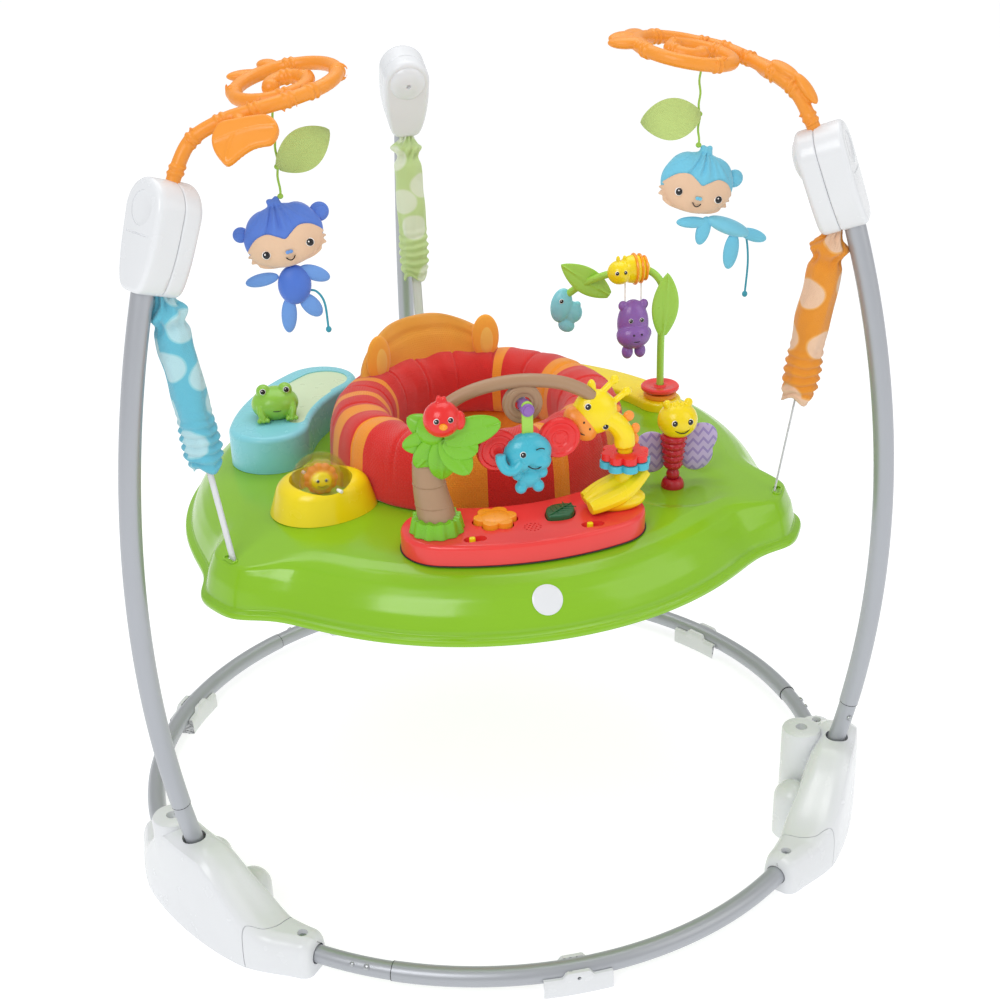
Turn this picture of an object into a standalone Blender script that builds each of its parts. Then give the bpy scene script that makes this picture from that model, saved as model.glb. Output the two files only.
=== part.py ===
"""Baby activity jumper: a round tube base on plastic feet, three bowed legs with spring housings, and a
toy tray that bounces on three sprung straps round a turning fabric seat. Metres, +Z up, front to -Y."""

import math

import bmesh
import bpy
from mathutils import Matrix, Vector

# Fits between neighbouring pieces
SEAT_GAP = 0.0003
RUNNING_GAP = 0.0005
WELD = 1e-6

# A ball below this radius has fewer faces
SMALL_BALL = 0.0125

# Base ring and legs, 22 mm steel tube
LEG_AZIMUTHS = {"left": 210.0, "right": 330.0, "back": 90.0}
TUBE_AZIMUTHS = {"front": 270.0, "left": 150.0, "right": 30.0}
TUBE_RADIUS = 0.011
STUB_RADIUS = 0.0104
RING_RADIUS = 0.420
RING_CENTRE_Y = -0.0200
RING_CLEAR_OF_FLOOR = 0.010
RING_HEIGHT = RING_CLEAR_OF_FLOOR + TUBE_RADIUS
RING_JOINT_ANGLE = 33.5
RING_STEP = 8.5
LEG_BELLY_OUTSIDE = 0.046
LEG_BELLY_HEIGHT = 0.385
LEG_BEND_RADIUS = 1.20
LEG_BOTTOM_HEIGHT = 0.066
LEG_JOINT_HEIGHT = 0.168
LEG_TOP_HEIGHT = 0.803
LEG_STEPS = 7

# Feet that join the ring tubes and carry the legs
FOOT_HALF_ANGLE = 21.5
FOOT_FLAT_ANGLE = 4.5
FOOT_HEIGHT = 0.118
FOOT_END_HEIGHT = 0.046
FOOT_OUTSIDE = 0.040
FOOT_INSIDE = 0.022
FOOT_END_INSET = 0.016
FOOT_SOCKET_ANGLES = (18.0, 22.5, 27.0)
FOOT_BULGE_RADIUS = 0.027
FOOT_BULGE_HEIGHT = 0.052
FOOT_BULGE_ANGLES = (-13.0, 0.0, 13.0)
FOOT_BOSS_RADIUS = 0.023
FOOT_BOSS_HEIGHT = 0.124
FOOT_BOSS_HOLE_RADIUS = 0.0075
FOOT_BOSSES = {"left": (-5.8, 0.017), "right": (0.0, -0.026), "back": (0.0, -0.026)}

# Saddles that hold the ring off the floor
SADDLE_HALF_ANGLE = 5.0
SADDLE_TAB_ANGLE = 1.9
SADDLE_WIDTH = 0.034
SADDLE_HEIGHT = 0.022
SADDLE_TAB_HEIGHT = 0.029

# Spring housings at the tops of the legs
HOUSING_HEIGHT = LEG_TOP_HEIGHT - 0.017
HOUSING_LENGTH = 0.108
HOUSING_WIDTH = 0.058
HOUSING_FOOT_WIDTH = 0.050
HOUSING_SEAM = -0.0135
HOUSING_OUTSIDE = 0.0155
HOUSING_INSIDE = -0.0345
HOUSING_RIM = 0.006
HOUSING_BOSS_RADIUS = 0.0235
HOUSING_BOSS_DEPTH = 0.007
HOUSING_RECESS = 0.0012
HANGER_DEPTH = -0.0238
POCKET_RADIUS = 0.0090
POCKET_DEPTH = 0.0125

# Springs, their fabric sleeves and the straps below
SLEEVE_LENGTH = 0.188
SLEEVE_NECK_RADIUS = 0.0073
SLEEVE_NECK_DROP = 0.008
SLEEVE_RADIUS = 0.0170
SLEEVE_FOLD = 0.0030
SLEEVE_WALL = 0.0012
SLEEVE_ROWS = (0.0, 0.08, 0.17, 0.28, 0.44, 0.60, 0.76, 0.92, 1.0)
SPRING_RADIUS = 0.0072
SPRING_WIRE = 0.0011
SPRING_TURNS = 6
SPRING_START = 0.016
SPRING_END = 0.158
STRAP_WIDTH = 0.0125
STRAP_THICKNESS = 0.0022
STRAP_SLOT_OUTSIDE = 0.003
STRAP_ANCHOR_BELOW = 0.010

# Tray, a 3 mm moulded shell with three strap lobes
DECK_HEIGHT = 0.440
TRAY_WALL = 0.003
TRAY_HOLE_RADIUS = 0.158
TRAY_RIM_RADIUS = 0.346
TRAY_SKIRT = 0.062
TRAY_RIM_HEIGHT = DECK_HEIGHT - TRAY_SKIRT
LOBE_REACH = 0.030
LOBE_DROP = 0.012
LOBE_HALF_ANGLE = 8.0
LOBE_SHARPNESS = 4

# Turning seat
SEAT_COLLAR_RADIUS = TRAY_HOLE_RADIUS - 0.0045
SEAT_COLLAR_DEPTH = 0.034
SEAT_COLLAR_WALL = 0.006
SEAT_FLANGE_OUTER = 0.169
SEAT_FLANGE_INNER = 0.128
SEAT_FLANGE_THICKNESS = 0.006
PAD_RADIUS = 0.133
PAD_HALF_WIDTH = 0.035
PAD_HEIGHT = 0.072
PAD_PANELS = 16
PAD_CHANNEL = 0.0035
BACKREST_AZIMUTH = 106.0
BACKREST_HALF_ANGLE = 46.0
BACKREST_RISE = 0.126
BACKREST_THICKNESS = 0.022
EAR_OFFSETS = (-30.0, 27.0)
SLING_DEPTH = 0.142
SLING_WALL = 0.003
LEG_HOLE_RADIUS = 0.040
LEG_HOLE_AZIMUTHS = (235.0, 305.0)
LEG_HOLE_DROP = 0.090

# Music console on the front of the tray
CONSOLE_INNER = 0.196
CONSOLE_OUTER = 0.290
CONSOLE_AZIMUTHS = (250.0, 290.0)
CONSOLE_HEIGHT = 0.023
CONSOLE_TOP = DECK_HEIGHT + CONSOLE_HEIGHT
BUTTON_PROUD = 0.005
BUTTON_DEPTH = 0.006
BUTTON_TRAVEL = 0.0025
FLOWER_PLACE = (-0.031, -0.230)
FLOWER_RADIUS = 0.0200
LEAF_PLACE = (0.038, -0.233)
LEAF_LENGTH = 0.0400
LEAF_WIDTH = 0.0300
SWITCH_PLACES = {"volume_switch": (-0.060, -0.266), "power_switch": (0.064, -0.266)}
SWITCH_WELL = (0.024, 0.012)
SWITCH_WELL_DEPTH = 0.0055
SWITCH_SIZE = (0.006, 0.005)
SWITCH_TRAVEL = 0.006

# Toy bar over the console, in one upright plane
BAR_Y = -0.233
TRUNK_X = -0.093
TRUNK_RADIUS = 0.0210
TRUNK_SOCKET = 0.010
FRILL_RADIUS = 0.0265
FRILL_HEIGHT = 0.016
BRANCH_RADIUS = 0.0070
BRANCH_RISE = 0.153
BRANCH_TOP = CONSOLE_TOP + BRANCH_RISE
LOOP_RADIUS = 0.0135
LOOP_WIRE = 0.0050
LOOP_DROP = 0.0235
LOOP_HEIGHT = BRANCH_TOP - LOOP_DROP
PIN_RADIUS = 0.0070
ELEPHANT_Y = BAR_Y - 0.015
ELEPHANT_DROP = 0.0495
CROWN_Y = BAR_Y - 0.0290
NECK_X = 0.108
NECK_RADIUS = 0.0082
NECK_SHOULDER_RADIUS = 0.0120
TOY_RING_HEIGHT = CONSOLE_TOP + 0.044
TOY_RING_RADII = (0.0265, 0.0245)
TOY_RING_THICKNESS = 0.0065
TOY_RING_PITCH = 0.0085

# Blue station with the turning frog, behind on the left
BLUE_INNER = 0.194
BLUE_OUTER = 0.287
BLUE_AZIMUTHS = (132.0, 168.0)
BLUE_HEIGHT = 0.044
BLUE_PANEL_DEPTH = 0.002
FROG_RADIUS_PLACE = 0.236
FROG_AZIMUTH = 162.0
FROG_SIZE = 0.025
FROG_PEG_RADIUS = 0.0055
FROG_PEG_LENGTH = 0.010

# Rolling bubble in its yellow base, on the left
BUBBLE_PLACE = (0.2215, 208.0)
BUBBLE_BASE_SIZE = (0.054, 0.043)
BUBBLE_BASE_HEIGHT = 0.038
BUBBLE_RADIUS = 0.029
BUBBLE_WALL = 0.0012
BUBBLE_RINGS = 10
BUBBLE_CENTRE_RISE = 0.0335
AXLE_RADIUS = 0.0020
AXLE_BITE = 0.0040
BUBBLE_GAP = 0.0035

# Butterfly, in front on the right
BUTTERFLY_PLACE = (0.241, 322.0)
BUTTERFLY_FOOT_RADIUS = 0.012
BUTTERFLY_NECK_HEIGHT = DECK_HEIGHT + 0.060
BUTTERFLY_BODY_RADIUS = 0.0140
BUTTERFLY_HEAD_RADIUS = 0.0195
WING_BACK_STEP = 0.0145
WING_THICKNESS = 0.010

# Leaf arch with the hanging hippo, behind on the right
ARCH_BASE_INNER = 0.234
ARCH_BASE_OUTER = 0.286
ARCH_BASE_AZIMUTHS = (17.0, 48.0)
ARCH_BASE_HEIGHT = 0.012
ARCH_STEM_RADIUS = 0.0045
ARCH_SOCKET = 0.006
DISC_RADII = (0.0200, 0.0235)
DISC_THICKNESS = 0.006
DISC_PITCH = 0.0095
BEE_CENTRE = (0.214, 0.080, DECK_HEIGHT + 0.177)
HIPPO_STRING_SPREAD = 0.010
HIPPO_STRING_RADIUS = 0.0010
HIPPO_PIVOT_DROP = 0.013
HIPPO_DROP = 0.076

# Vine arms and the hanging toys
VINE_RADIUS = 0.0068
VINE_RING_REACH = (-0.1365, 0.0060, 0.0838)
VINE_STEM_REACHES = (
    (-0.0245, 0.004, 0.0468),
    (-0.0515, 0.018, 0.0628),
    (-0.0815, 0.040, 0.0728),
    (-0.1095, 0.054, 0.0793),
)
STEM_LEAVES = (
    ((-0.0735, 0.062, 0.0688), (0.024, 0.017, 0.0055), 35),
    ((-0.0535, 0.048, 0.0608), (0.016, 0.022, 0.0055), -20),
)
VINE_RING_RADIUS = 0.050
VINE_RING_SLOPE = 0.20
VINE_HOOK_RADIUS = 0.016
VINE_ROOT_DEPTH = 0.014
VINE_LEAF_ANGLES = {"left": 262.0, "right": 178.0}
CORD_RADIUS = 0.0012
FABRIC_LEAF = (0.062, 0.042, 0.0016)
MONKEY_HEAD = (0.041, 0.015, 0.033)
MONKEY_HEAD_DROPS = {"left": 0.1429, "right": 0.1289}

PART = bpy.data.collections.new("baby_activity_jumper")
WORKSHOP = bpy.data.collections.new("cutters")


def start_scene():
    """Clears the scene and links the two collections."""
    for old in list(bpy.data.objects):
        bpy.data.objects.remove(old)
    for collection in (PART, WORKSHOP):
        bpy.context.scene.collection.children.link(collection)
    WORKSHOP.hide_render = True


def linear(code):
    """An sRGB hex colour as linear values."""
    parts = [int(code[i : i + 2], 16) / 255 for i in (1, 3, 5)]
    return [c / 12.92 if c <= 0.04045 else ((c + 0.055) / 1.055) ** 2.4 for c in parts]


def look(name, code, roughness=0.35, metallic=0.0, alpha=1.0):
    """A plain Principled material in the piece's colour."""
    material = bpy.data.materials.new(name)
    material.use_nodes = True
    shader = material.node_tree.nodes["Principled BSDF"]
    shader.inputs["Base Color"].default_value = (*linear(code), 1.0)
    shader.inputs["Roughness"].default_value = roughness
    shader.inputs["Metallic"].default_value = metallic
    shader.inputs["Alpha"].default_value = alpha
    return material


def polar(radius, azimuth, height=0.0):
    """A point at an azimuth in degrees, counted from +X."""
    turn = math.radians(azimuth)
    return Vector((radius * math.cos(turn), radius * math.sin(turn), height))


def mix(a, b, share):
    return a + (b - a) * share


def smooth_step(value):
    value = min(max(value, 0.0), 1.0)
    return value * value * (3.0 - 2.0 * value)


def working_object(mesh):
    """A helper object that no render shows."""
    obj = bpy.data.objects.new("working", mesh)
    WORKSHOP.objects.link(obj)
    obj.hide_render = True
    obj.display_type = "WIRE"
    return obj


def from_bmesh(bm, recalculate=True):
    bmesh.ops.remove_doubles(bm, verts=bm.verts, dist=WELD)
    if recalculate:
        bmesh.ops.recalc_face_normals(bm, faces=bm.faces)
    mesh = bpy.data.meshes.new("working")
    bm.to_mesh(mesh)
    bm.free()
    return working_object(mesh)


def settle(obj, recalculate=True):
    """Applies an object's modifiers, or turns a curve into a mesh, and welds it."""
    bpy.context.view_layer.update()
    graph = bpy.context.evaluated_depsgraph_get()
    mesh = bpy.data.meshes.new_from_object(obj.evaluated_get(graph), depsgraph=graph)
    bm = bmesh.new()
    bm.from_mesh(mesh)
    bmesh.ops.remove_doubles(bm, verts=bm.verts, dist=WELD)
    if recalculate:
        bmesh.ops.recalc_face_normals(bm, faces=bm.faces)
    bm.to_mesh(mesh)
    bm.free()
    if obj.type == "MESH":
        obj.modifiers.clear()
        obj.data = mesh
        return obj
    settled = working_object(mesh)
    settled.matrix_world = obj.matrix_world
    bpy.data.objects.remove(obj)
    return settled


def boolean(base, operation, *tools):
    """Joins or cuts one object with others, which are used up."""
    for tool in tools:
        modifier = base.modifiers.new(operation, "BOOLEAN")
        modifier.operation = operation
        modifier.solver = "EXACT"
        modifier.object = tool
        settle(base, recalculate=False)
        bpy.data.objects.remove(tool)
    return base


def join(base, *others):
    return boolean(base, "UNION", *others)


def cut(base, *others):
    return boolean(base, "DIFFERENCE", *others)


def moved(obj, matrix):
    obj.data.transform(matrix)
    return obj


def ball(centre, radii, turn=0.0, axis="Y", segments=8, rings=4):
    """A sphere scaled to an ellipsoid, turned in degrees about one axis. A small one has fewer faces."""
    if max(radii) < SMALL_BALL:
        segments = 6
    bm = bmesh.new()
    bmesh.ops.create_uvsphere(bm, u_segments=segments, v_segments=rings, radius=1.0)
    size = Matrix.Diagonal((*radii, 1.0))
    place = Matrix.Translation(centre) @ Matrix.Rotation(math.radians(turn), 4, axis)
    bm.transform(place @ size)
    return from_bmesh(bm)


def block(centre, size):
    bm = bmesh.new()
    bmesh.ops.create_cube(bm, size=1.0)
    bm.transform(Matrix.Translation(centre) @ Matrix.Diagonal((*size, 1.0)))
    return from_bmesh(bm)


def rod(start, end, radius, end_radius=None, segments=8):
    """A round bar or cone from one point to another."""
    start, end = Vector(start), Vector(end)
    bm = bmesh.new()
    bmesh.ops.create_cone(
        bm,
        cap_ends=True,
        segments=segments,
        radius1=radius,
        radius2=radius if end_radius is None else end_radius,
        depth=(end - start).length,
    )
    turn = (end - start).to_track_quat("Z", "Y").to_matrix().to_4x4()
    bm.transform(Matrix.Translation((start + end) / 2) @ turn)
    return from_bmesh(bm)


def pipe(points, radius, swell=None, resolution=2):
    """A tube along points, with its radius times swell at each point."""
    curve = bpy.data.curves.new("pipe", "CURVE")
    curve.dimensions = "3D"
    curve.bevel_depth = radius
    curve.bevel_resolution = resolution
    curve.use_fill_caps = True
    spline = curve.splines.new("POLY")
    spline.points.add(len(points) - 1)
    for index, point in enumerate(points):
        spline.points[index].co = (*point, 1.0)
        spline.points[index].radius = swell[index] if swell else 1.0
    obj = bpy.data.objects.new("pipe", curve)
    WORKSHOP.objects.link(obj)
    return settle(obj)


def turned(profile, steps, centre, closed=False):
    """A profile of (radius, height) pairs turned about an upright axis through centre."""
    mesh = bpy.data.meshes.new("profile")
    edges = [(i, i + 1) for i in range(len(profile) - 1)]
    if closed:
        edges.append((len(profile) - 1, 0))
    mesh.from_pydata([(radius, 0.0, height) for radius, height in profile], edges, [])
    obj = working_object(mesh)
    screw = obj.modifiers.new("turn", "SCREW")
    screw.steps = screw.render_steps = steps
    screw.use_merge_vertices = True
    screw.merge_threshold = WELD
    return moved(settle(obj), Matrix.Translation(centre))


def slab(outline, bottom, top, rim=0.0, rim_segments=1):
    """A flat outline raised from one height to another, with its upper rim rounded."""
    bm = bmesh.new()
    floor = bm.faces.new([bm.verts.new((x, y, bottom)) for x, y in outline])
    raised = bmesh.ops.extrude_face_region(bm, geom=[floor])["geom"]
    lid = [item for item in raised if isinstance(item, bmesh.types.BMFace)][0]
    bmesh.ops.translate(bm, verts=lid.verts, vec=(0.0, 0.0, top - bottom))
    if rim:
        bmesh.ops.bevel(
            bm,
            geom=list(lid.edges),
            offset=rim,
            segments=rim_segments,
            profile=0.5,
            affect="EDGES",
            material=-1,
        )
    open_edges = [edge for edge in bm.edges if edge.is_boundary]
    bmesh.ops.holes_fill(bm, edges=open_edges, sides=0)
    return from_bmesh(bm)


def loft(sections, ring=False, caps=True, recalculate=True):
    """A skin through sections that each hold equally many points."""
    bm = bmesh.new()
    rows = [[bm.verts.new(point) for point in section] for section in sections]
    if ring:
        rows.append(rows[0])
    for lower, upper in zip(rows, rows[1:]):
        for i in range(len(lower)):
            j = (i + 1) % len(lower)
            bm.faces.new((lower[i], lower[j], upper[j], upper[i]))
    if caps and not ring:
        bm.faces.new(rows[0][::-1])
        bm.faces.new(rows[-1])
    return from_bmesh(bm, recalculate)


def arc(centre, radius, start, end, steps):
    """Points along an arc in a plane, with angles in degrees."""
    points = []
    for step in range(steps + 1):
        turn = math.radians(mix(start, end, step / steps))
        points.append((centre[0] + radius * math.cos(turn), centre[1] + radius * math.sin(turn)))
    return points


def bean(inner, outer, azimuths, steps=6):
    """The outline of a curved slot round the tray's centre, with half-round ends."""
    start, end = azimuths
    half = (outer - inner) / 2
    last = polar(inner + half, end)
    first = polar(inner + half, start)
    outline = arc((0, 0), outer, start, end, steps)
    outline += arc(last, half, end, end + 180, 6)[1:-1]
    outline += arc((0, 0), inner, end, start, steps)
    outline += arc(first, half, start + 180, start + 360, 6)[1:-1]
    return outline


def stand():
    """The empty at the ring's centre that carries every piece. It puts the origin under the whole."""
    if "jumper" not in bpy.data.objects:
        empty = bpy.data.objects.new("jumper", None)
        empty.location.y = RING_CENTRE_Y
        PART.objects.link(empty)
    return bpy.data.objects["jumper"]


def piece(name, obj, material, pivot=None, azimuth=0.0, crease=42.0):
    """Makes a working object into the named piece, hung from its joint's empty where it moves."""
    WORKSHOP.objects.unlink(obj)
    PART.objects.link(obj)
    obj.name = name
    obj.hide_render = False
    obj.display_type = "TEXTURED"
    obj.data.name = name
    obj.data.materials.clear()
    obj.data.materials.append(material)
    obj.data.shade_smooth()
    obj.data.set_sharp_from_angle(angle=math.radians(crease))
    obj.rotation_euler.z = math.radians(azimuth)
    if pivot:
        obj.data.transform(Matrix.Translation(-pivot.location))
    obj.parent = pivot or stand()
    return obj


def spread(name, obj, azimuths, material):
    """Equal pieces at several azimuths, which share one mesh."""
    for side, azimuth in azimuths.items():
        copy = working_object(obj.data)
        piece(f"{name}_{side}", copy, material, azimuth=azimuth)
    bpy.data.objects.remove(obj)


def joint_empty(name, place):
    empty = bpy.data.objects.new(name, None)
    empty.empty_display_size = 0.02
    empty.location = place
    empty.parent = stand()
    PART.objects.link(empty)
    return empty


def leg_point(height):
    """A point on a leg's centreline, in the upright plane at azimuth 0."""
    rise = height - LEG_BELLY_HEIGHT
    sweep = math.sqrt(LEG_BEND_RADIUS**2 - rise**2)
    return Vector((RING_RADIUS + LEG_BELLY_OUTSIDE - LEG_BEND_RADIUS + sweep, 0.0, height))


def housing_place():
    """The housing's own frame: +X away from the tray, +Z up along the leg."""
    lean = math.asin((HOUSING_HEIGHT - LEG_BELLY_HEIGHT) / LEG_BEND_RADIUS)
    return Matrix.Translation(leg_point(HOUSING_HEIGHT)) @ Matrix.Rotation(-lean, 4, "Y")


def hanger_point():
    """Where the spring leaves the underside of the housing."""
    return housing_place() @ Vector((HANGER_DEPTH, 0.0, -HOUSING_LENGTH / 2))


def anchor_point():
    """Where the strap passes through the tray's lobe."""
    return Vector((TRAY_RIM_RADIUS + STRAP_SLOT_OUTSIDE, 0.0, DECK_HEIGHT))


def suspension_place():
    """A frame at the hanger with +Z up along the spring."""
    upward = (hanger_point() - anchor_point()).normalized()
    sideways = Vector((0.0, 1.0, 0.0))
    outward = sideways.cross(upward)
    turn = Matrix((outward, sideways, upward)).transposed().to_4x4()
    return Matrix.Translation(hanger_point()) @ turn


def tube_angles():
    """The azimuths of a ring tube's points, counted from its middle: stub first, then the main part."""
    sockets = [60.0 - angle for angle in FOOT_SOCKET_ANGLES]
    joint = RING_JOINT_ANGLE - 60.0
    count = round((sockets[-1] - joint) / RING_STEP)
    main = [mix(joint + 0.2, sockets[-1], i / count) for i in range(count + 1)]
    stub = [-angle for angle in sockets] + [joint]
    return stub, main + sockets[-2::-1]


def chord_radius(angle):
    """The ring tube's radius at an azimuth from its middle, on the straight between its points."""
    stub, main = tube_angles()
    corners = stub + main
    for start, end in zip(corners, corners[1:]):
        if start <= angle <= end:
            half, middle = math.radians(end - start) / 2, (start + end) / 2
            return RING_RADIUS * math.cos(half) / math.cos(math.radians(angle - middle))
    return RING_RADIUS


def leg_heights():
    """The heights of a leg's points: the drawn-down stub, then the main part."""
    stub = [mix(LEG_BOTTOM_HEIGHT, LEG_JOINT_HEIGHT, i / 2) for i in range(3)]
    main = [mix(LEG_JOINT_HEIGHT + 0.0015, LEG_TOP_HEIGHT, i / LEG_STEPS) for i in range(LEG_STEPS + 1)]
    return stub, main


def socket(points, radius):
    """A cutter whose flats clear a tube of this radius along the same points."""
    sides = 10
    return pipe(points, (radius + SEAT_GAP) / math.cos(math.pi / sides), resolution=3)


def make_base(steel, white):
    """Three ring tubes with drawn-down stubs, and the saddles under their middles."""
    stub, main = tube_angles()
    points = [polar(RING_RADIUS, angle, RING_HEIGHT) for angle in stub + main]
    swell = [STUB_RADIUS / TUBE_RADIUS] * len(stub) + [1.0] * len(main)
    spread("base_tube", pipe(points, TUBE_RADIUS, swell), TUBE_AZIMUTHS, steel)

    steps = 4
    groove = (TUBE_RADIUS + SEAT_GAP) / math.cos(math.pi / steps / 2)
    wide = SADDLE_WIDTH / 2
    ends = (SADDLE_HALF_ANGLE, SADDLE_TAB_ANGLE + 0.1)
    heights = [SADDLE_HEIGHT, SADDLE_HEIGHT, SADDLE_TAB_HEIGHT]
    angles = [*ends, SADDLE_TAB_ANGLE]
    saddle = []
    for angle, height in zip(
        [-a for a in angles] + [0.0] + angles[::-1], heights + [SADDLE_TAB_HEIGHT] + heights[::-1]
    ):
        profile = [(wide, 0.0), (wide, height), (groove, height)]
        profile += arc((0, RING_HEIGHT), groove, 0, -180, steps)
        profile += [(-groove, height), (-wide, height), (-wide, 0.0)]
        middle = chord_radius(angle)
        saddle.append([polar(middle + x, angle, z) for x, z in profile])
    spread("floor_pad", loft(saddle), TUBE_AZIMUTHS, white)


def foot_section(offset):
    """The cross-section of a foot, square to the ring, at an angle from its leg."""
    away = abs(offset)
    fall = smooth_step((away - FOOT_FLAT_ANGLE) / (FOOT_HALF_ANGLE * 0.72 - FOOT_FLAT_ANGLE))
    height = mix(FOOT_HEIGHT, FOOT_END_HEIGHT, fall)
    inset = FOOT_END_INSET * smooth_step((away - FOOT_HALF_ANGLE / 2) / (FOOT_HALF_ANGLE / 2))
    outer = RING_RADIUS + FOOT_OUTSIDE - inset
    inner = RING_RADIUS - FOOT_INSIDE + inset / 3
    profile = (
        (outer - 0.006, 0.0),
        (outer, 0.008),
        (outer, height * 0.55),
        (outer - 0.004, height - 0.010),
        (outer - 0.013, height),
        (inner + 0.010, height),
        (inner + 0.002, height - 0.008),
        (inner, 0.0),
    )
    return [polar(radius, offset, rise) for radius, rise in profile]


def make_feet(white):
    """Moulded feet: a saddle-backed shell with sockets for the leg and the two ring tubes."""
    offsets = [FOOT_HALF_ANGLE * share for share in (-1, -0.75, -0.5, -0.21)]
    offsets += [-offset for offset in reversed(offsets)]
    stub, _ = leg_heights()
    for side, (boss_angle, boss_step) in FOOT_BOSSES.items():
        foot = loft([foot_section(offset) for offset in offsets])
        for angle in FOOT_BULGE_ANGLES:
            profile = [(0.0, 0.0), (FOOT_BULGE_RADIUS, 0.0)]
            profile += arc((0, FOOT_BULGE_HEIGHT), FOOT_BULGE_RADIUS, 0, 90, 2)[:-1]
            profile += [(0.0, FOOT_BULGE_HEIGHT + FOOT_BULGE_RADIUS)]
            join(foot, turned(profile, 8, polar(RING_RADIUS - FOOT_INSIDE - 0.004, angle)))
        low = polar(RING_RADIUS + boss_step, boss_angle, 0.02)
        high = polar(RING_RADIUS + boss_step, boss_angle, FOOT_BOSS_HEIGHT)
        join(foot, rod(low, high, FOOT_BOSS_RADIUS, FOOT_BOSS_RADIUS - 0.001, segments=10))
        hole = rod(high - Vector((0, 0, 0.012)), high + Vector((0, 0, 0.01)), FOOT_BOSS_HOLE_RADIUS)
        cut(foot, hole)
        heights = [LEG_BOTTOM_HEIGHT - SEAT_GAP, *stub[1:]]
        cut(foot, socket([leg_point(height) for height in heights], TUBE_RADIUS))
        deepest = FOOT_SOCKET_ANGLES[0] - 0.1
        for sign in (-1, 1):
            angles = (deepest, *FOOT_SOCKET_ANGLES)
            route = [polar(RING_RADIUS, sign * angle, RING_HEIGHT) for angle in angles]
            cut(foot, socket(route, TUBE_RADIUS))
        piece(f"foot_{side}", foot, white, azimuth=LEG_AZIMUTHS[side])


def make_legs(steel):
    stub, main = leg_heights()
    swell = [STUB_RADIUS / TUBE_RADIUS] * len(stub) + [1.0] * len(main)
    leg = pipe([leg_point(height) for height in stub + main], TUBE_RADIUS, swell)
    spread("leg", leg, LEG_AZIMUTHS, steel)


def housing_outline():
    """A capsule with a narrower, softer foot, in the housing's width and height."""
    half = HOUSING_WIDTH / 2
    low = HOUSING_FOOT_WIDTH / 2
    corner = 0.018
    bottom = -HOUSING_LENGTH / 2
    outline = arc((0, HOUSING_LENGTH / 2 - half), half, 0, 180, 6)
    outline += arc((corner - low, bottom + corner), corner, 180, 270, 2)
    outline += arc((low - corner, bottom + corner), corner, 270, 360, 2)
    return outline


def housing_shell(near, far):
    """A half housing between two depths, with the rim of its far side rounded."""
    lie = Matrix(((0, 0, 1, 0), (1, 0, 0, 0), (0, 1, 0, 0), (0, 0, 0, 1)))
    if far < near:
        lie = Matrix.Scale(-1, 4, (1, 0, 0)) @ lie
    shell = slab(housing_outline(), abs(near) * (1 if far < near else -1), abs(far), HOUSING_RIM)
    moved(shell, lie)
    if far < near:
        shell.data.flip_normals()
    return shell


def vine_root():
    """The point on the seam where the vine arm enters the housing, and the way it points."""
    place = housing_place()
    root = place @ Vector((HOUSING_SEAM, 0.0, HOUSING_LENGTH / 2 - VINE_ROOT_DEPTH))
    upward = (place.to_3x3() @ Vector((0.0, 0.0, 1.0))).normalized()
    return root, upward


def vine_stem():
    """The vine arm's route in the plane at azimuth 0: up out of the housing, over and inwards."""
    root, upward = vine_root()
    route = [root, root + upward * (VINE_ROOT_DEPTH + 0.004)]
    return route + [root + Vector(reach) for reach in VINE_STEM_REACHES]


def vine_centre():
    """The middle of the ring that the vine curls into."""
    return vine_root()[0] + Vector(VINE_RING_REACH)


def vine_ring():
    """The curl: one turn of the ring, then a spiral in to the hook."""
    points = []
    for angle in range(90, 711, 28):
        inward = smooth_step((angle - 330) / 210)
        radius = mix(VINE_RING_RADIUS, VINE_HOOK_RADIUS, inward)
        flat = polar(radius, angle)
        points.append(flat + Vector((0, 0, -VINE_RING_SLOPE * flat.x)))
    return points


def hook_place():
    """The lowest side of the hook, at azimuth 0."""
    return vine_centre() + vine_ring()[-1]


def make_housings(white):
    place = housing_place()
    root, upward = vine_root()
    for side, azimuth in LEG_AZIMUTHS.items():
        outer = housing_shell(HOUSING_SEAM + SEAT_GAP / 2, HOUSING_OUTSIDE)
        recess = [(y * 0.62, z * 0.62 + 0.018) for y, z in housing_outline()]
        oval = slab(recess, HOUSING_OUTSIDE - HOUSING_RECESS, HOUSING_OUTSIDE + 0.01)
        lie = Matrix(((0, 0, 1, 0), (1, 0, 0, 0), (0, 1, 0, 0), (0, 0, 0, 1)))
        cut(outer, moved(oval, lie))
        inner = housing_shell(HOUSING_SEAM - SEAT_GAP / 2, HOUSING_INSIDE)
        boss_height = HOUSING_LENGTH / 2 - HOUSING_WIDTH / 2
        boss = ball(
            (HOUSING_INSIDE + 0.004, 0, boss_height),
            (HOUSING_BOSS_DEPTH + 0.004, HOUSING_BOSS_RADIUS, HOUSING_BOSS_RADIUS),
            segments=10,
            rings=6,
        )
        join(inner, boss)
        screw = Vector((HOUSING_INSIDE - HOUSING_BOSS_DEPTH, 0, boss_height))
        cut(inner, rod(screw - Vector((0.01, 0, 0)), screw + Vector((0.008, 0, 0)), 0.003, segments=8))
        for shell in (outer, inner):
            moved(shell, place)
        pocket = rod((0, 0, -0.02), (0, 0, POCKET_DEPTH), POCKET_RADIUS, segments=10)
        cut(inner, moved(pocket, suspension_place()))
        heights = [*leg_heights()[1][-3:-1], LEG_TOP_HEIGHT + SEAT_GAP]
        cut(outer, socket([leg_point(height) for height in heights], TUBE_RADIUS))
        if side != "back":
            for shell in (outer, inner):
                cut(shell, socket([root - upward * SEAT_GAP, root + upward * 0.04], VINE_RADIUS))
        piece(f"housing_outer_{side}", outer, white, azimuth=azimuth)
        piece(f"housing_inner_{side}", inner, white, azimuth=azimuth)


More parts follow.
